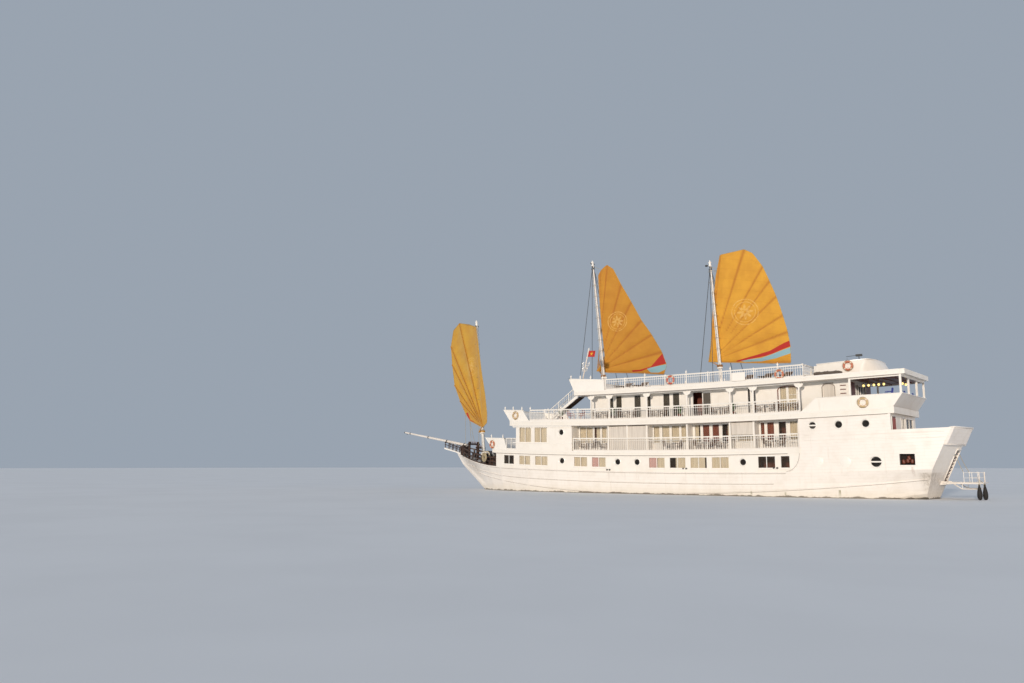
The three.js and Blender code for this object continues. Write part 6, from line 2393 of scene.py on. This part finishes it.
@dataclass
class SignalMast:
    """The leaning signal mast's arms and lamps, and its small flag."""

    frame: Frame
    foot: Point = (7.5, 3.4, 8.9)
    lean: float = -0.253
    fly: float = 0.74
    hoist: tuple[float, float] = (12.16, 12.71)
    star: float = 0.38

    def at(self, z: float, dx: float = 0.0, dy: float = 0.0) -> Vector:
        """A place beside the mast at a height."""
        return Vector((self.foot[0] + self.lean * (z - self.foot[2]) + dx, self.foot[1] + dy, z))

    def build(self) -> None:
        """Makes the fittings and the flag."""
        palette = self.frame.palette
        sketch = Sketch()
        axis = self.at(1) - self.at(0)
        sketch.turned(
            [(0.16, 0), (0.16, 0.04), (0.1, 0.09), (0.075, 0.2), (0.065, 0.22)],
            self.at(sun_top(7.5) + 0.01), axis, 12,
        )
        sketch.turned(
            [(0.07, -0.03), (0.08, 0.02), (0.03, 0.06), (0.045, 0.1), (0.01, 0.15)], self.at(12.85), axis, 10,
        )
        for z, reach in ((11.35, 0.36), (10.9, 0.24)):
            sketch.tube(
                [
                    self.at(z + 0.2, dy=-reach), self.at(z, dy=-reach), self.at(z, dy=reach),
                    self.at(z + 0.2, dy=reach),
                ],
                0.024, 6,
            )
            sketch.tube(
                [
                    self.at(z + 0.2, dx=-reach), self.at(z, dx=-reach), self.at(z, dx=reach),
                    self.at(z + 0.2, dx=reach),
                ],
                0.024, 6,
            )
            for dx, dy in ((0, reach), (0, -reach), (reach, 0), (-reach, 0)):
                sketch.turned(
                    [(0.02, 0), (0.04, 0.02), (0.04, 0.09), (0.02, 0.11)], self.at(z + 0.2, dx, dy), sides=8,
                )
        for z in (10.0, 12.05, 12.8):
            sketch.turned([(0.07, 0), (0.078, 0.02), (0.07, 0.06)], self.at(z), axis, 10)
        Piece.make("signal_mast_fittings", sketch, [palette.trim, palette.gear], "spar_paint", sharp=40)
        self.flag()

    def flag(self) -> None:
        """The red flag with a plain five-pointed star, rippled along its fly."""
        wide, high = 49, 33
        cloth = Sketch()
        rows = []
        for i in range(high):
            down = i / (high - 1)
            z = self.hoist[1] + (self.hoist[0] - self.hoist[1]) * down
            row = []
            for j in range(wide):
                out = j / (wide - 1)
                wave = 0.035 * out ** 0.6 * math.sin(9.5 * out + 1.6 * down)
                start = self.at(z, dx=-0.066)
                row.append(start + Vector((-self.fly * out * 0.92, wave, -0.05 * out * out)))
            rows.append(row)
        cloth.shell(rows, 0.006)
        cells = (wide - 1) * (high - 1)
        for k in range(cells):
            row, column = divmod(k, wide - 1)
            if self.in_star((column + 0.5) / (wide - 1), (row + 0.5) / (high - 1)):
                cloth.finish_of[2 * k] = cloth.finish_of[2 * k + 1] = 1
        palette = self.frame.palette
        made = Piece.make("ensign", cloth, [palette.flag_red, palette.flag_gold], "flag_cloth", sharp=80)
        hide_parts("flag")

    def in_star(self, out: float, down: float) -> bool:
        """Whether a place on the flag lies in the star."""
        x, y = (out - 0.5) * 1.33, 0.5 - down
        turn = 2 * math.pi / 5
        angle = (math.atan2(x, y) + turn / 2) % turn - turn / 2
        along, across = math.hypot(x, y) * math.cos(angle), math.hypot(x, y) * abs(math.sin(angle))
        inner = self.star * 0.382
        corner, wide = inner * math.cos(turn / 2), inner * math.sin(turn / 2)
        return across * (self.star - corner) < (self.star - along) * wide


@dataclass
class Foredeck:
    """Dark gear round the foremast: fife rail, frame, lockers, bollards, chain, pulpit."""

    frame: Frame
    gallows: tuple[float, float, float] = (22.95, 0.7, 4.72)
    plank: tuple[float, float, float] = (24.42, 26.7, 4.3)
    hawse: tuple[float, float] = (22.31, 2.4)

    def build(self) -> None:
        """Makes the gear group by group."""
        palette = self.frame.palette
        timber = Sketch()
        x, half, top = self.gallows
        for _, side in SIDES:
            timber.box(
                x - 0.09, x + 0.09, side * (half - 0.09), side * (half + 0.09), gunwale(x) + 0.01, top + 0.12,
            )
            timber.box(21.95, 22.13, side * 0.42, side * 0.6, gunwale(22) + 0.01, gunwale(22) + 1.55)
            for x0, x1, y0, y1, tall in ((18.2, 19.55, 1.35, 1.95, 0.72), (19.75, 20.1, 1.5, 1.9, 0.95)):
                floor = gunwale(x0) + GAP
                timber.box(x0, x1, side * y0, side * y1, floor, gunwale(x1) + tall)
                timber.box(
                    x0 - 0.03, x1 + 0.03, side * (y0 - 0.03), side * (y1 + 0.03), gunwale(x1) + tall,
                    gunwale(x1) + tall + 0.05,
                )
        timber.box(x - 0.07, x + 0.07, -half - 0.25, half + 0.25, top - 0.2, top - 0.04)
        timber.box(21.98, 22.1, -0.75, 0.75, gunwale(22) + 1.2, gunwale(22) + 1.34)
        for y in (-0.62, 0.62):
            timber.box(21.05, 22.0, y - 0.05, y + 0.05, gunwale(21.5) + 0.95, gunwale(21.5) + 1.05)
            timber.box(21.05, 21.17, y - 0.06, y + 0.06, gunwale(21) + 0.01, gunwale(21.5) + 1.05)
        timber.box(21.05, 21.15, -0.68, 0.68, gunwale(21.5) + 0.95, gunwale(21.5) + 1.05)
        timber.box(17.75, 17.95, -1.1, 1.1, gunwale(17.8) + 0.3, gunwale(17.8) + 0.42)
        self.pulpit(timber)
        pins = Sketch()
        profile = [
            (0.02, -0.2), (0.028, -0.1), (0.028, 0.02), (0.045, 0.04), (0.03, 0.1), (0.038, 0.16),
            (0.012, 0.2),
        ]
        for i in range(7):
            pins.turned(profile, (x, -0.75 + 0.25 * i, top - 0.04), sides=8)
            pins.turned(profile, (22.04, -0.6 + 0.2 * i, gunwale(22) + 1.34), sides=8)
        Piece.make("foredeck_timbers", timber, [palette.timber], "dark_timber", bevel=0.015)
        Piece.make("belaying_pins", pins, [palette.cabin], "dark_timber", sharp=40)
        self.iron()
        self.windlass()

    def pulpit(self, sketch: Sketch) -> None:
        """Posts and rails that stand on the prow plank."""
        x0, x1, tip = self.plank
        top = reading([(x0, gunwale(x0) + 0.17), (x1, tip)])
        for y in (-0.37, 0.37):
            for x in (24.6, 25.1, 25.6, 26.1, 26.6):
                sketch.box(x - 0.035, x + 0.035, y - 0.035, y + 0.035, top(x), top(x) + 0.56)
            for low in (0.26, 0.52):
                ends = ((24.45, low), (26.68, low + 0.06))
                corners = [(x, top(x) + z) for x, z in ends]
                sketch.block(
                    [(x, y - 0.03, z) for x, z in corners] + [(x, y + 0.03, z) for x, z in reversed(corners)],
                    [(x, y - 0.03, z + 0.06) for x, z in corners] + [
                        (x, y + 0.03, z + 0.06) for x, z in reversed(corners)
                    ],
                )
        sketch.box(26.6, 26.68, -0.4, 0.4, tip + 0.5, tip + 0.57)

    def iron(self) -> None:
        """Bollards, chain and hawse rings."""
        palette = self.frame.palette
        sketch = Sketch()
        for x, y in ((19.9, 2.12), (23.5, 0.72), (18.0, 2.55), (-20.3, 2.9), (-22.0, 2.8)):
            floor = gunwale(x) if x > 0 else deck2_top(x)
            for _, side in SIDES:
                sketch.box(x - 0.3, x + 0.3, side * (y - 0.11), side * (y + 0.11), floor + 0.01, floor + 0.05)
                for dx in (-0.17, 0.17):
                    sketch.turned(
                        [(0.08, 0), (0.075, 0.25), (0.1, 0.28), (0.1, 0.32), (0.05, 0.34)],
                        (x + dx, side * y, floor + 0.04), sides=12,
                    )
        hx, hz = self.hawse
        for _, side in SIDES:
            start, end = Vector((20.9, side * 0.36, gunwale(20.9) + 0.7)), Vector(
                (22.35, side * 0.5, gunwale(22.35) + 0.06),
            )
            count = 15
            for i in range(count):
                middle = start.lerp(end, i / (count - 1)) + Vector(
                    (0, 0, -0.1 * math.sin(math.pi * i / (count - 1))),
                )
                along = (end - start).normalized()
                across = Vector((0, 1, 0)) if i % 2 else Vector((0, 0, 1))
                across = (across - along * across.dot(along)).normalized()
                link = []
                for angle in circle(8):
                    link.append(
                        middle + along * (0.075 * math.cos(angle)) + across * (0.045 * math.sin(angle)),
                    )
                sketch.tube(link, 0.016, 4, closed=True)
            sketch.turned([(0.13, 0), (0.15, 0.03), (0.12, 0.07)], end - Vector((0, 0, 0.06)), sides=12)
            y = self.frame.hull.beam(hx, hz, side)
            out = Vector((0.45, side, -0.25)).normalized()
            face = Vector((hx, y, hz))
            sketch.turned([(0.1, -0.03), (0.1, 0.004)], face, out, 12)
            sketch.finish = 1
            sketch.ring(face, out, 0.13, 0.04, 20, 8)
            sketch.finish = 0
        Piece.make("deck_iron", sketch, [palette.gear, palette.grey], "wire", sharp=40)
        coils = Sketch()
        for _, side in SIDES:
            axis = Vector(((breadth(19.2) - breadth(19.6)) / 0.4, side, 0)).normalized()
            middle = Vector((19.4, side * (breadth(19.4) + 0.07), 3.22))
            for i in range(7):
                coils.ring(middle + axis * 0.02 * (i % 2), axis, 0.14 + 0.05 * i, 0.032, 26, 6)
        Piece.make("mooring_coils", coils, [palette.rope], "wire", sharp=60)
        spar = Sketch()
        heel, tip = Vector((23.9, 0, 4.5)), Vector((33.0, 0, 6.05))
        for part, radius in ((0.03, 0.16), (0.3, 0.142), (0.6, 0.118), (0.9, 0.095)):
            place = heel.lerp(tip, part)
            spar.turned(
                [(radius, 0), (radius + 0.012, 0.02), (radius + 0.012, 0.1), (radius, 0.12)], place,
                tip - heel, 12,
            )
        spar.turned([(0.082, -0.06), (0.095, -0.02), (0.09, 0.03), (0.03, 0.06)], tip, tip - heel, 12)
        spar.ring(
            tip - (tip - heel).normalized() * 0.35 - Vector((0, 0, 0.13)), (1, 0, 0), 0.05, 0.014, 12, 5,
        )
        Piece.make("bowsprit_bands", spar, [palette.gear], "spar_paint", sharp=40)

    def windlass(self) -> None:
        """Pale warping heads and rope turns on the drum, which turn with it."""
        palette = self.frame.palette
        sketch = Sketch()
        x, z = 20.62, gunwale(20.62) + 0.72
        head = [
            (0.42, 0.0), (0.475, 0.02), (0.475, 0.07), (0.3, 0.13), (0.26, 0.24), (0.3, 0.36), (0.44, 0.4),
            (0.44, 0.44), (0.12, 0.45), (0.12, 0.47), (0.05, 0.48),
        ]
        for _, side in SIDES:
            sketch.finish = 0
            sketch.turned([(r, d - 0.03) for r, d in head], (x, side * 0.745, z), (0, side, 0), 24)
            sketch.finish = 1
            for angle in circle(8):
                sketch.turned(
                    [(0.022, 0), (0.022, 0.02)],
                    (x + 0.33 * math.cos(angle), side * 1.165, z + 0.33 * math.sin(angle)), (0, side, 0), 6,
                )
            for i in range(7):
                sketch.ring((x, side * (0.16 + 0.05 * i), z), (0, 1, 0), 0.315, 0.026, 24, 6)
        Piece.make(
            "windlass_heads", sketch, [palette.pale, palette.gear], "spar_paint", body="windlass_drum",
            sharp=30,
        )


@dataclass
class SternGear:
    """Rails, fenders and stays of the boarding platform."""

    frame: Frame
    stanchions: tuple[float, ...] = (-23.03, -23.55)
    half: float = 1.06
    deck: float = 1.2
    top: float = 1.9

    def build(self) -> None:
        """Makes what moves with the platform, then the stays that cross its hinge."""
        palette = self.frame.palette
        sketch = Sketch()
        for _, side in SIDES:
            y = side * self.half
            for x in self.stanchions:
                sketch.tube([(x, y, self.deck - 0.02), (x, y, self.top)], 0.02, 6)
                sketch.turned([(0.04, 0), (0.03, 0.05)], (x, y, self.deck), sides=8)
                sketch.turned([(0.02, -0.02), (0.035, 0.02), (0.01, 0.05)], (x, y, self.top), sides=8)
            for z in (1.52, 1.88):
                sketch.tube([(self.stanchions[0], y, z), (-23.99, y, z)], 0.011, 5)
            sketch.turned([(0.05, -0.03), (0.06, 0.0), (0.02, 0.04)], (-23.99, y, 1.9), sides=10)
            for x in (-22.9, -23.9):
                sketch.tube([(x, y, 1.12), (x, y, 0.75)], 0.025, 6)
        for x in (-22.95, -23.95):
            sketch.tube([(x, -self.half, 0.75), (x, self.half, 0.75)], 0.022, 6)
        Piece.make("platform_rails", sketch, [palette.trim], "rail_paint", body="stern_platform", sharp=40)
        self.fenders()
        for name, side in SIDES:
            low = Vector((self.stanchions[0], side * self.half, self.top))
            high = Vector((transom_x(0.72, 3.15) - 0.08, side * 0.72, 3.15))
            sag = lambda part: Vector((0, 0, -0.07 * math.sin(math.pi * part)))
            stay = Sketch()
            stay.tube([high.lerp(low, k / 12) + sag(k / 12) for k in range(13)], 0.018, 6)
            rope = Piece.make(f"platform_stay_{name}", stay, [palette.rope], "wire", body="", sharp=40)
            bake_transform(rope)
            eye = Sketch()
            eye.ring(high, (0, 1, 0), 0.05, 0.016, 12, 6)
            eye.turned([(0.08, 0), (0.08, 0.03), (0.03, 0.06)], high + Vector((0.09, 0, 0)), (-1, 0, 0), 10)
            Piece.make(f"transom_eye_{name}", eye, [palette.steel], "wire", sharp=40)

    def fenders(self) -> None:
        """Two pear-shaped rubber fenders with their eyes and short taut lashings."""
        palette = self.frame.palette
        body = [
            (0.02, 0), (0.09, 0.03), (0.15, 0.14), (0.172, 0.32), (0.16, 0.52), (0.12, 0.74), (0.075, 0.92),
            (0.055, 0.98), (0.06, 1.03), (0.03, 1.08),
        ]
        for name, x, y, foot in (
            ("stern_fender_pear", -24.225, 0.55, -0.02), ("side_fender_pear", -24.0, 1.33, 0.0),
        ):
            sketch = Sketch()
            sketch.turned(body, (x, y, foot), sides=20)
            for rise in (0.24, 0.4):
                radius = 0.165 if rise < 0.3 else 0.17
                sketch.ring((x, y, foot + rise), (0, 0, 1), radius, 0.012, 24, 6)
            sketch.finish = 1
            sketch.ring((x, y, foot + 1.08), (0, 1, 0), 0.04, 0.015, 10, 5)
            post = (-24.02, 1.0, 1.35) if y < 1 else (-23.99, 1.1, 1.42)
            sketch.tube([(x, y, foot + 1.1), post], 0.018, 6)
            made = Piece.make(
                name, sketch, [palette.rubber, palette.rope], "fender_rubber", body="stern_platform",
                sharp=50,
            )
            if y < 1:
                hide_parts("stern_fender")


@dataclass
class EndWalls:
    """Windows and doors of the walls that face forward and aft."""

    frame: Frame
    poop_door: tuple[float, float] = (2.25, 3.3)

    def build(self) -> None:
        """Frames and glazes each wall; wall x, way it faces, openings and doors."""
        palette = self.frame.palette
        wide = ((-2.9, -1.9), (-1.4, -0.6), (0.6, 1.4), (1.9, 2.9))
        narrow = ((-1.4, -0.6), (0.6, 1.4))
        deck2, deck3 = (deck2_top(14.7), deck3_under(14.7)), (deck3_top(6.66), sun_under(6.66))
        aft3, poop = (deck3_top(-15.98), sun_under(-15.98)), deck2_top(AFT_WALL_X) + 0.1
        walls = (
            (
                "deck2_front", 14.7, 1, wide, deck2[0] + 0.9, deck2[1] - 0.3, 0.4, deck2[0] + 0.15,
                deck2[1] - 0.35,
            ),
            (
                "deck3_front", 6.66, 1, narrow, deck3[0] + 0.7, deck3[1] - 0.25, 0.45, deck3[0] + 0.15,
                deck3[1] - 0.35,
            ),
            (
                "deck3_aft", -16.1, -1, narrow, aft3[0] + 0.7, aft3[1] - 0.25, 0.6, aft3[0] + 0.15,
                aft3[1] - 0.35,
            ),
            ("poop", AFT_WALL_X, -1, ((-0.35, 0.65), (-2.9, -0.75)), poop + 0.6, poop + 1.95, 0.0, 0.0, 0.0),
        )
        frames, panes = Sketch(), Sketch()
        for _, x, way, openings, sill, head, door, door_sill, door_head in walls:
            for y0, y1 in openings:
                self.opening(frames, panes, x, way, y0, y1, sill, head, 2)
            if door:
                for y0, y1 in ((-door, 0.0), (0.0, door)):
                    self.opening(frames, panes, x, way, y0, y1, door_sill, door_head, 1)
                    frames.box(
                        x - way * 0.09, x - way * 0.03, y0 + 0.04, y1 - 0.04, door_sill + 0.04,
                        door_sill + 0.5,
                    )
        frames.finish = 1
        for y0, y1 in ((-2.7, -1.52), (1.52, 2.7)):
            frames.box(-16.13, -16.1, y0, y1, aft3[0] + 0.12, aft3[1] - 0.15)
        frames.finish = 0
        z = gunwale(FRONT_X)
        for y0, y1 in ((-1.7, -0.9), (0.9, 1.7)):
            self.opening(frames, panes, FRONT_X, 1, y0, y1, z + 0.5, z + 1.15, 1)
            frames.box(FRONT_X - 0.01, FRONT_X + 0.005, y0, y1, z + 0.5, z + 1.15)
        frames.box(FRONT_X, FRONT_X + 0.03, -0.5, 0.5, z + 0.08, z + 1.5)
        for y0, y1 in ((-0.42, -0.04), (0.04, 0.42)):
            frames.box(FRONT_X + 0.03, FRONT_X + 0.045, y0, y1, z + 0.23, z + 1.35)
        y0, y1 = self.poop_door
        for a, b, low, high in (
            (y0 - 0.08, y0 - 0.01, 0, 2.03), (y1 + 0.01, y1 + 0.08, 0, 2.03),
            (y0 - 0.08, y1 + 0.08, 1.97, 2.03),
        ):
            frames.box(AFT_WALL_X - 0.03, AFT_WALL_X, a, b, poop + low, poop + high)
        Piece.make("end_wall_frames", frames, [palette.trim, palette.cabin], "window_frame", bevel=0.006)
        Piece.make("end_wall_panes", panes, [palette.glass], "glass")

    @staticmethod
    def opening(
        frames: Sketch, panes: Sketch, x: float, way: int, y0: float, y1: float,
        z0: float, z1: float, count: int,
    ) -> None:
        """Frames one opening in a cross wall.

        Args:
            frames: Takes the frame.
            panes: Takes the glass.
            x: The wall's outer face.
            way: 1 where it faces forward, -1 aft.
            y0: Starboard edge.
            y1: Port edge.
            z0: Sill.
            z1: Head.
            count: Panes side by side.
        """
        out, back, edge = x + way * 0.03, x - way * 0.07, 0.06
        strips = (
            (y0 - edge, y0 + 0.02, z0 - edge, z1 + edge), (y1 - 0.02, y1 + edge, z0 - edge, z1 + edge),
            (y0, y1, z1 - 0.02, z1 + edge), (y0, y1, z0 - edge, z0 + 0.02),
        )
        for a, b, low, high in strips:
            frames.box(out, x + way * 0.001, a, b, low, high)
        for a, b, low, high in (
            (y0, y0 + 0.04, z0, z1), (y1 - 0.04, y1, z0, z1), (y0, y1, z1 - 0.04, z1),
            (y0, y1, z0, z0 + 0.04),
        ):
            frames.box(x + way * 0.001, back, a, b, low, high)
        frames.box(x + way * 0.06, x, y0 - edge - 0.02, y1 + edge + 0.02, z0 - edge - 0.035, z0 - edge)
        for i in range(1, count):
            y = y0 + (y1 - y0) * i / count
            frames.box(x, back, y - 0.025, y + 0.025, z0, z1)
        panes.box(x - way * 0.04, x - way * 0.052, y0 + 0.02, y1 - 0.02, z0 + 0.02, z1 - 0.02)


@dataclass
class Brackets:
    """Brackets at the pillar heads, the stair's balusters, and small fittings along the walls."""

    frame: Frame
    pillars: tuple[float, ...] = (6.1, 4.2, 0.5, -3.28, -7.03, -8.95, -12.6)
    cleats: tuple[tuple[float, float], ...] = ((4.25, 2.03), (-3.03, 2.14), (-10.63, 2.2))
    curve: tuple[tuple[float, float], ...] = ((0, 0), (0.4, 0.1), (0.8, 0.35), (1.2, 0.8), (1.57, 1.57))
    stair: tuple[float, float, float, float] = (7.72, 11.35, 2.15, 3.1)

    def build(self) -> None:
        """Makes the brackets, cleats and stair balusters, and a dark board under the stair that paints the
        shade of its underside.
        """
        palette = self.frame.palette
        sketch, iron, underside_shade = Sketch(), Sketch(), Sketch()
        for _, side in SIDES:
            for x in self.pillars:
                z = sun_under(x) - 0.12
                y = side * (breadth(x) - 0.28)
                for way in (-1, 1):
                    outline = [(x + way * 0.055, y, z)]
                    for out, up in self.curve:
                        outline.append(
                            (x + way * (0.055 + 0.3 * math.sin(out)), y, z - 0.3 + 0.3 * math.sin(up)),
                        )
                    sketch.prism(outline, (0, side * 0.05, 0))
                sketch.box(
                    x - 0.085, x + 0.085, y - side * 0.03, y + side * 0.14, deck3_top(x) + 0.01,
                    deck3_top(x) + 0.16,
                )
            for x, z in self.cleats:
                y = side * (breadth(x) if z > gunwale(x) else abs(self.frame.hull.beam(x, z, side)))
                for dx in (-0.13, 0.13):
                    horn = [(0.07, 0), (0.04, 0.03), (0.04, 0.07), (0.07, 0.09)]
                    iron.turned(horn, (x + dx, y, z), (0, side, 0), 10)
        x0, x1, y0, y1 = self.stair
        landing, floor = sun_top(7.7) - 0.05, deck3_top(x1) + 0.02
        for y in (y0 + 0.025, y1 - 0.025):
            for i in range(15):
                part = (i + 0.5) / 15
                x = x0 + part * (x1 - x0 - 0.15)
                z = landing - part * (landing - floor)
                sketch.tube([(x, y, z - 0.05), (x, y, z + 0.82)], 0.014, 5)
            rail = [(x0, y, landing + 0.86), (x1 - 0.1, y, floor + 0.88), (x1 - 0.02, y, floor + 0.84)]
            sketch.tube(rail, 0.036, 8)
            sketch.turned(Railings.knob, (x1 - 0.05, y, floor + 0.86), sides=10)
        Piece.make("brackets_and_stair_rails", sketch, [palette.trim], "rail_paint", sharp=40)
        Piece.make("wall_cleats", iron, [palette.gear], "wire", sharp=40)
        # Painted shade: a dark board under the treads stands for the stair's shaded underside.
        slope = (landing - 0.3 - floor) / (x1 - 0.32 - x0)
        ends = [(x, landing - 0.305 - (x - x0) * slope) for x in (x0 + 0.06, x1 - 1.5)]
        ring = [
            (ends[i][0], y, ends[i][1]) for i,
            y in ((0, y0 + 0.06), (1, y0 + 0.06), (1, y1 - 0.06), (0, y1 - 0.06))
        ]
        underside_shade.block([(x, y, z - 0.03) for x, y, z in ring], ring)
        Piece.make("stair_underside_shade", underside_shade, [palette.timber], "dark_timber", bevel=0.005)


@dataclass
class RailBoards:
    """The bare white panel fixed to each side of the sun deck's rail."""

    frame: Frame
    panel: tuple[float, float, float, float] = (-8.41, -7.34, 0.08, 0.72)

    def build(self) -> None:
        """Makes the panels with their edge strips."""
        x0, x1, foot, head = self.panel
        sketch = Sketch()
        for _, side in SIDES:
            face, back, rim = (on_side(breadth, side, -inset) for inset in (0.062, 0.08, 0.05))
            sketch.panel(x0, x1, raised(sun_top, foot), raised(sun_top, head), face, back)
            strips = (
                (x0 - 0.04, x0, foot - 0.03, head + 0.03), (x1, x1 + 0.04, foot - 0.03, head + 0.03),
                (x0, x1, head, head + 0.03), (x0, x1, foot - 0.03, foot),
            )
            for a, b, low, high in strips:
                sketch.panel(a, b, raised(sun_top, low), raised(sun_top, high), rim, back)
        Piece.make("rail_boards", sketch, [self.frame.palette.trim], "house_paint", bevel=0.008)


@dataclass
class Studio:
    """The camera, the lights and the floor."""

    eye: Point = (-35.097, 68.861, 2.35)
    heading: float = 37.6
    pitch: float = 8.266
    focal_pixels: float = 857.0
    sensor: float = 36.0
    floor_half: float = 500.0

    def build(self, palette: Palette) -> None:
        """Sets the photograph's view over a pale floor at the waterline."""
        camera = bpy.data.cameras.new("camera")
        camera.sensor_width = self.sensor
        camera.lens = self.focal_pixels / FRAME_WIDTH * self.sensor
        camera.clip_end = 1000
        made = Piece.link(camera, "camera")
        made.location = Vector(self.eye) * MODEL_SCALE
        heading, pitch = math.radians(self.heading), math.radians(self.pitch)
        turn = Vector((math.sin(heading), -math.cos(heading), 0))
        look = turn * math.cos(pitch) + Vector((0, 0, math.sin(pitch)))
        made.rotation_euler = look.to_track_quat("-Z", "Y").to_euler()
        bpy.context.scene.camera = made
        self.light("key", 2.4, "#fff2e3", (-0.22, 1.0, 0.18), 0.06)
        self.light("astern", 0.72, "#ffe2ca", (-1.0, 0.12, 0.05), 0.5)
        self.light("starboard", 0.3, "#f2f4ff", (0.0, -1.0, 0.6), 1.2)
        world = bpy.data.worlds.new("studio")
        world.use_nodes = True
        back = world.node_tree.nodes["Background"]
        back.inputs["Color"].default_value = linear("#c9d6e6")
        back.inputs["Strength"].default_value = 0.55
        bpy.context.scene.world = world
        bpy.context.scene.view_settings.view_transform = "Standard"
        half = self.floor_half
        mesh = bpy.data.meshes.new("floor")
        mesh.from_pydata(
            [(-half, -half, 0), (half, -half, 0), (half, half, 0), (-half, half, 0)], [], [(0, 1, 2, 3)],
        )
        mesh.materials.append(palette.floor)
        Piece.link(mesh, "floor")

    @staticmethod
    def light(name: str, power: float, colour: str, toward: Point, spread: float) -> None:
        """Adds a far lamp with a soft edge.

        Args:
            name: Its name.
            power: Its strength.
            colour: Its sRGB colour.
            toward: The direction from the ship to the lamp.
            spread: The angle it seems to fill, in radians.
        """
        lamp = bpy.data.lights.new(name, "SUN")
        lamp.energy = power
        lamp.color = linear(colour)[:3]
        lamp.angle = spread
        Piece.link(lamp, name).rotation_euler = Vector(toward).to_track_quat("Z", "Y").to_euler()


def main() -> None:
    """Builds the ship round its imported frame."""
    logging.basicConfig(level=logging.INFO, format="%(message)s")
    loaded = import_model()
    palette = Palette()
    frame = Frame(
        loaded["nodes"], palette, HullSurface(loaded["nodes"], ("hull", "quarter_port", "quarter_starboard")),
    )
    Studio().build(palette)
    dress_nodes(frame)
    for part in (
        HullTrim, DeckEdges, Railings, Cabins, Windows, Joinery, Prows, Lifebuoys, Plants, Furniture,
        Deckhouse, Gallery, MastGear, SheetLines, SignalMast, Foredeck, SternGear, EndWalls, Brackets,
        RailBoards,
    ):
        LOG.info("building %s", part.__name__)
        part(frame).build()
    for rig in RIGS:
        BattenSail(frame, rig).build()


def dress_nodes(frame: Frame) -> None:
    """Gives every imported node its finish."""
    palette = frame.palette
    both = ("port", "starboard")
    frame.dress(palette.hull, "hull", *(f"quarter_{s}" for s in both))
    frame.dress(palette.deck, "deck_2", "deck_3", "sun_deck")
    frame.dress(
        palette.enamel, "transom", "lower_front", "deck2_front", "aft_deck_wall", "deck3_front",
        "deck3_aft_wall", "gallery_bulwark", "gallery_frame", "deckhouse",
        *(f"{n}_{s}" for n in ("lower_wall", "deck2_house", "deck3_house") for s in both),
    )
    frame.dress(
        palette.trim, "sun_rails", "deck2_prow", "deck3_prow", "sun_prow", "bow_stair",
        *(f"{n}_{s}" for n in ("deck3_pillars", "deck2_rail", "deck3_rail") for s in both),
    )
    frame.dress(palette.timber, "foredeck_rail", "windlass_frame")
    frame.dress(palette.trim, "prow_plank")
    frame.dress(palette.grey, "bowsprit", "signal_mast", "stern_platform", "windlass_drum")
    frame.dress(palette.cabin, "aft_deck_door")
    frame.dress(palette.trim, *(f"sliding_door_{s}" for s in both))
    frame.dress(palette.bronze, *(f"propeller_{s}" for s in both))
    frame.dress(palette.oxide, *(f"rudder_{s}" for s in both))
    frame.dress(palette.rubber, "stern_fender")
    frame.dress(palette.flag_red, "flag")
    for name in ("fore", "main", "aft"):
        frame.dress(palette.trim, f"{name}_mast")
        frame.dress(palette.gold_batten if name == "fore" else palette.batten, f"{name}_battens")
    frame.dress(palette.wire, "main_shrouds", "aft_shrouds")


if __name__ == "__main__":
    main()
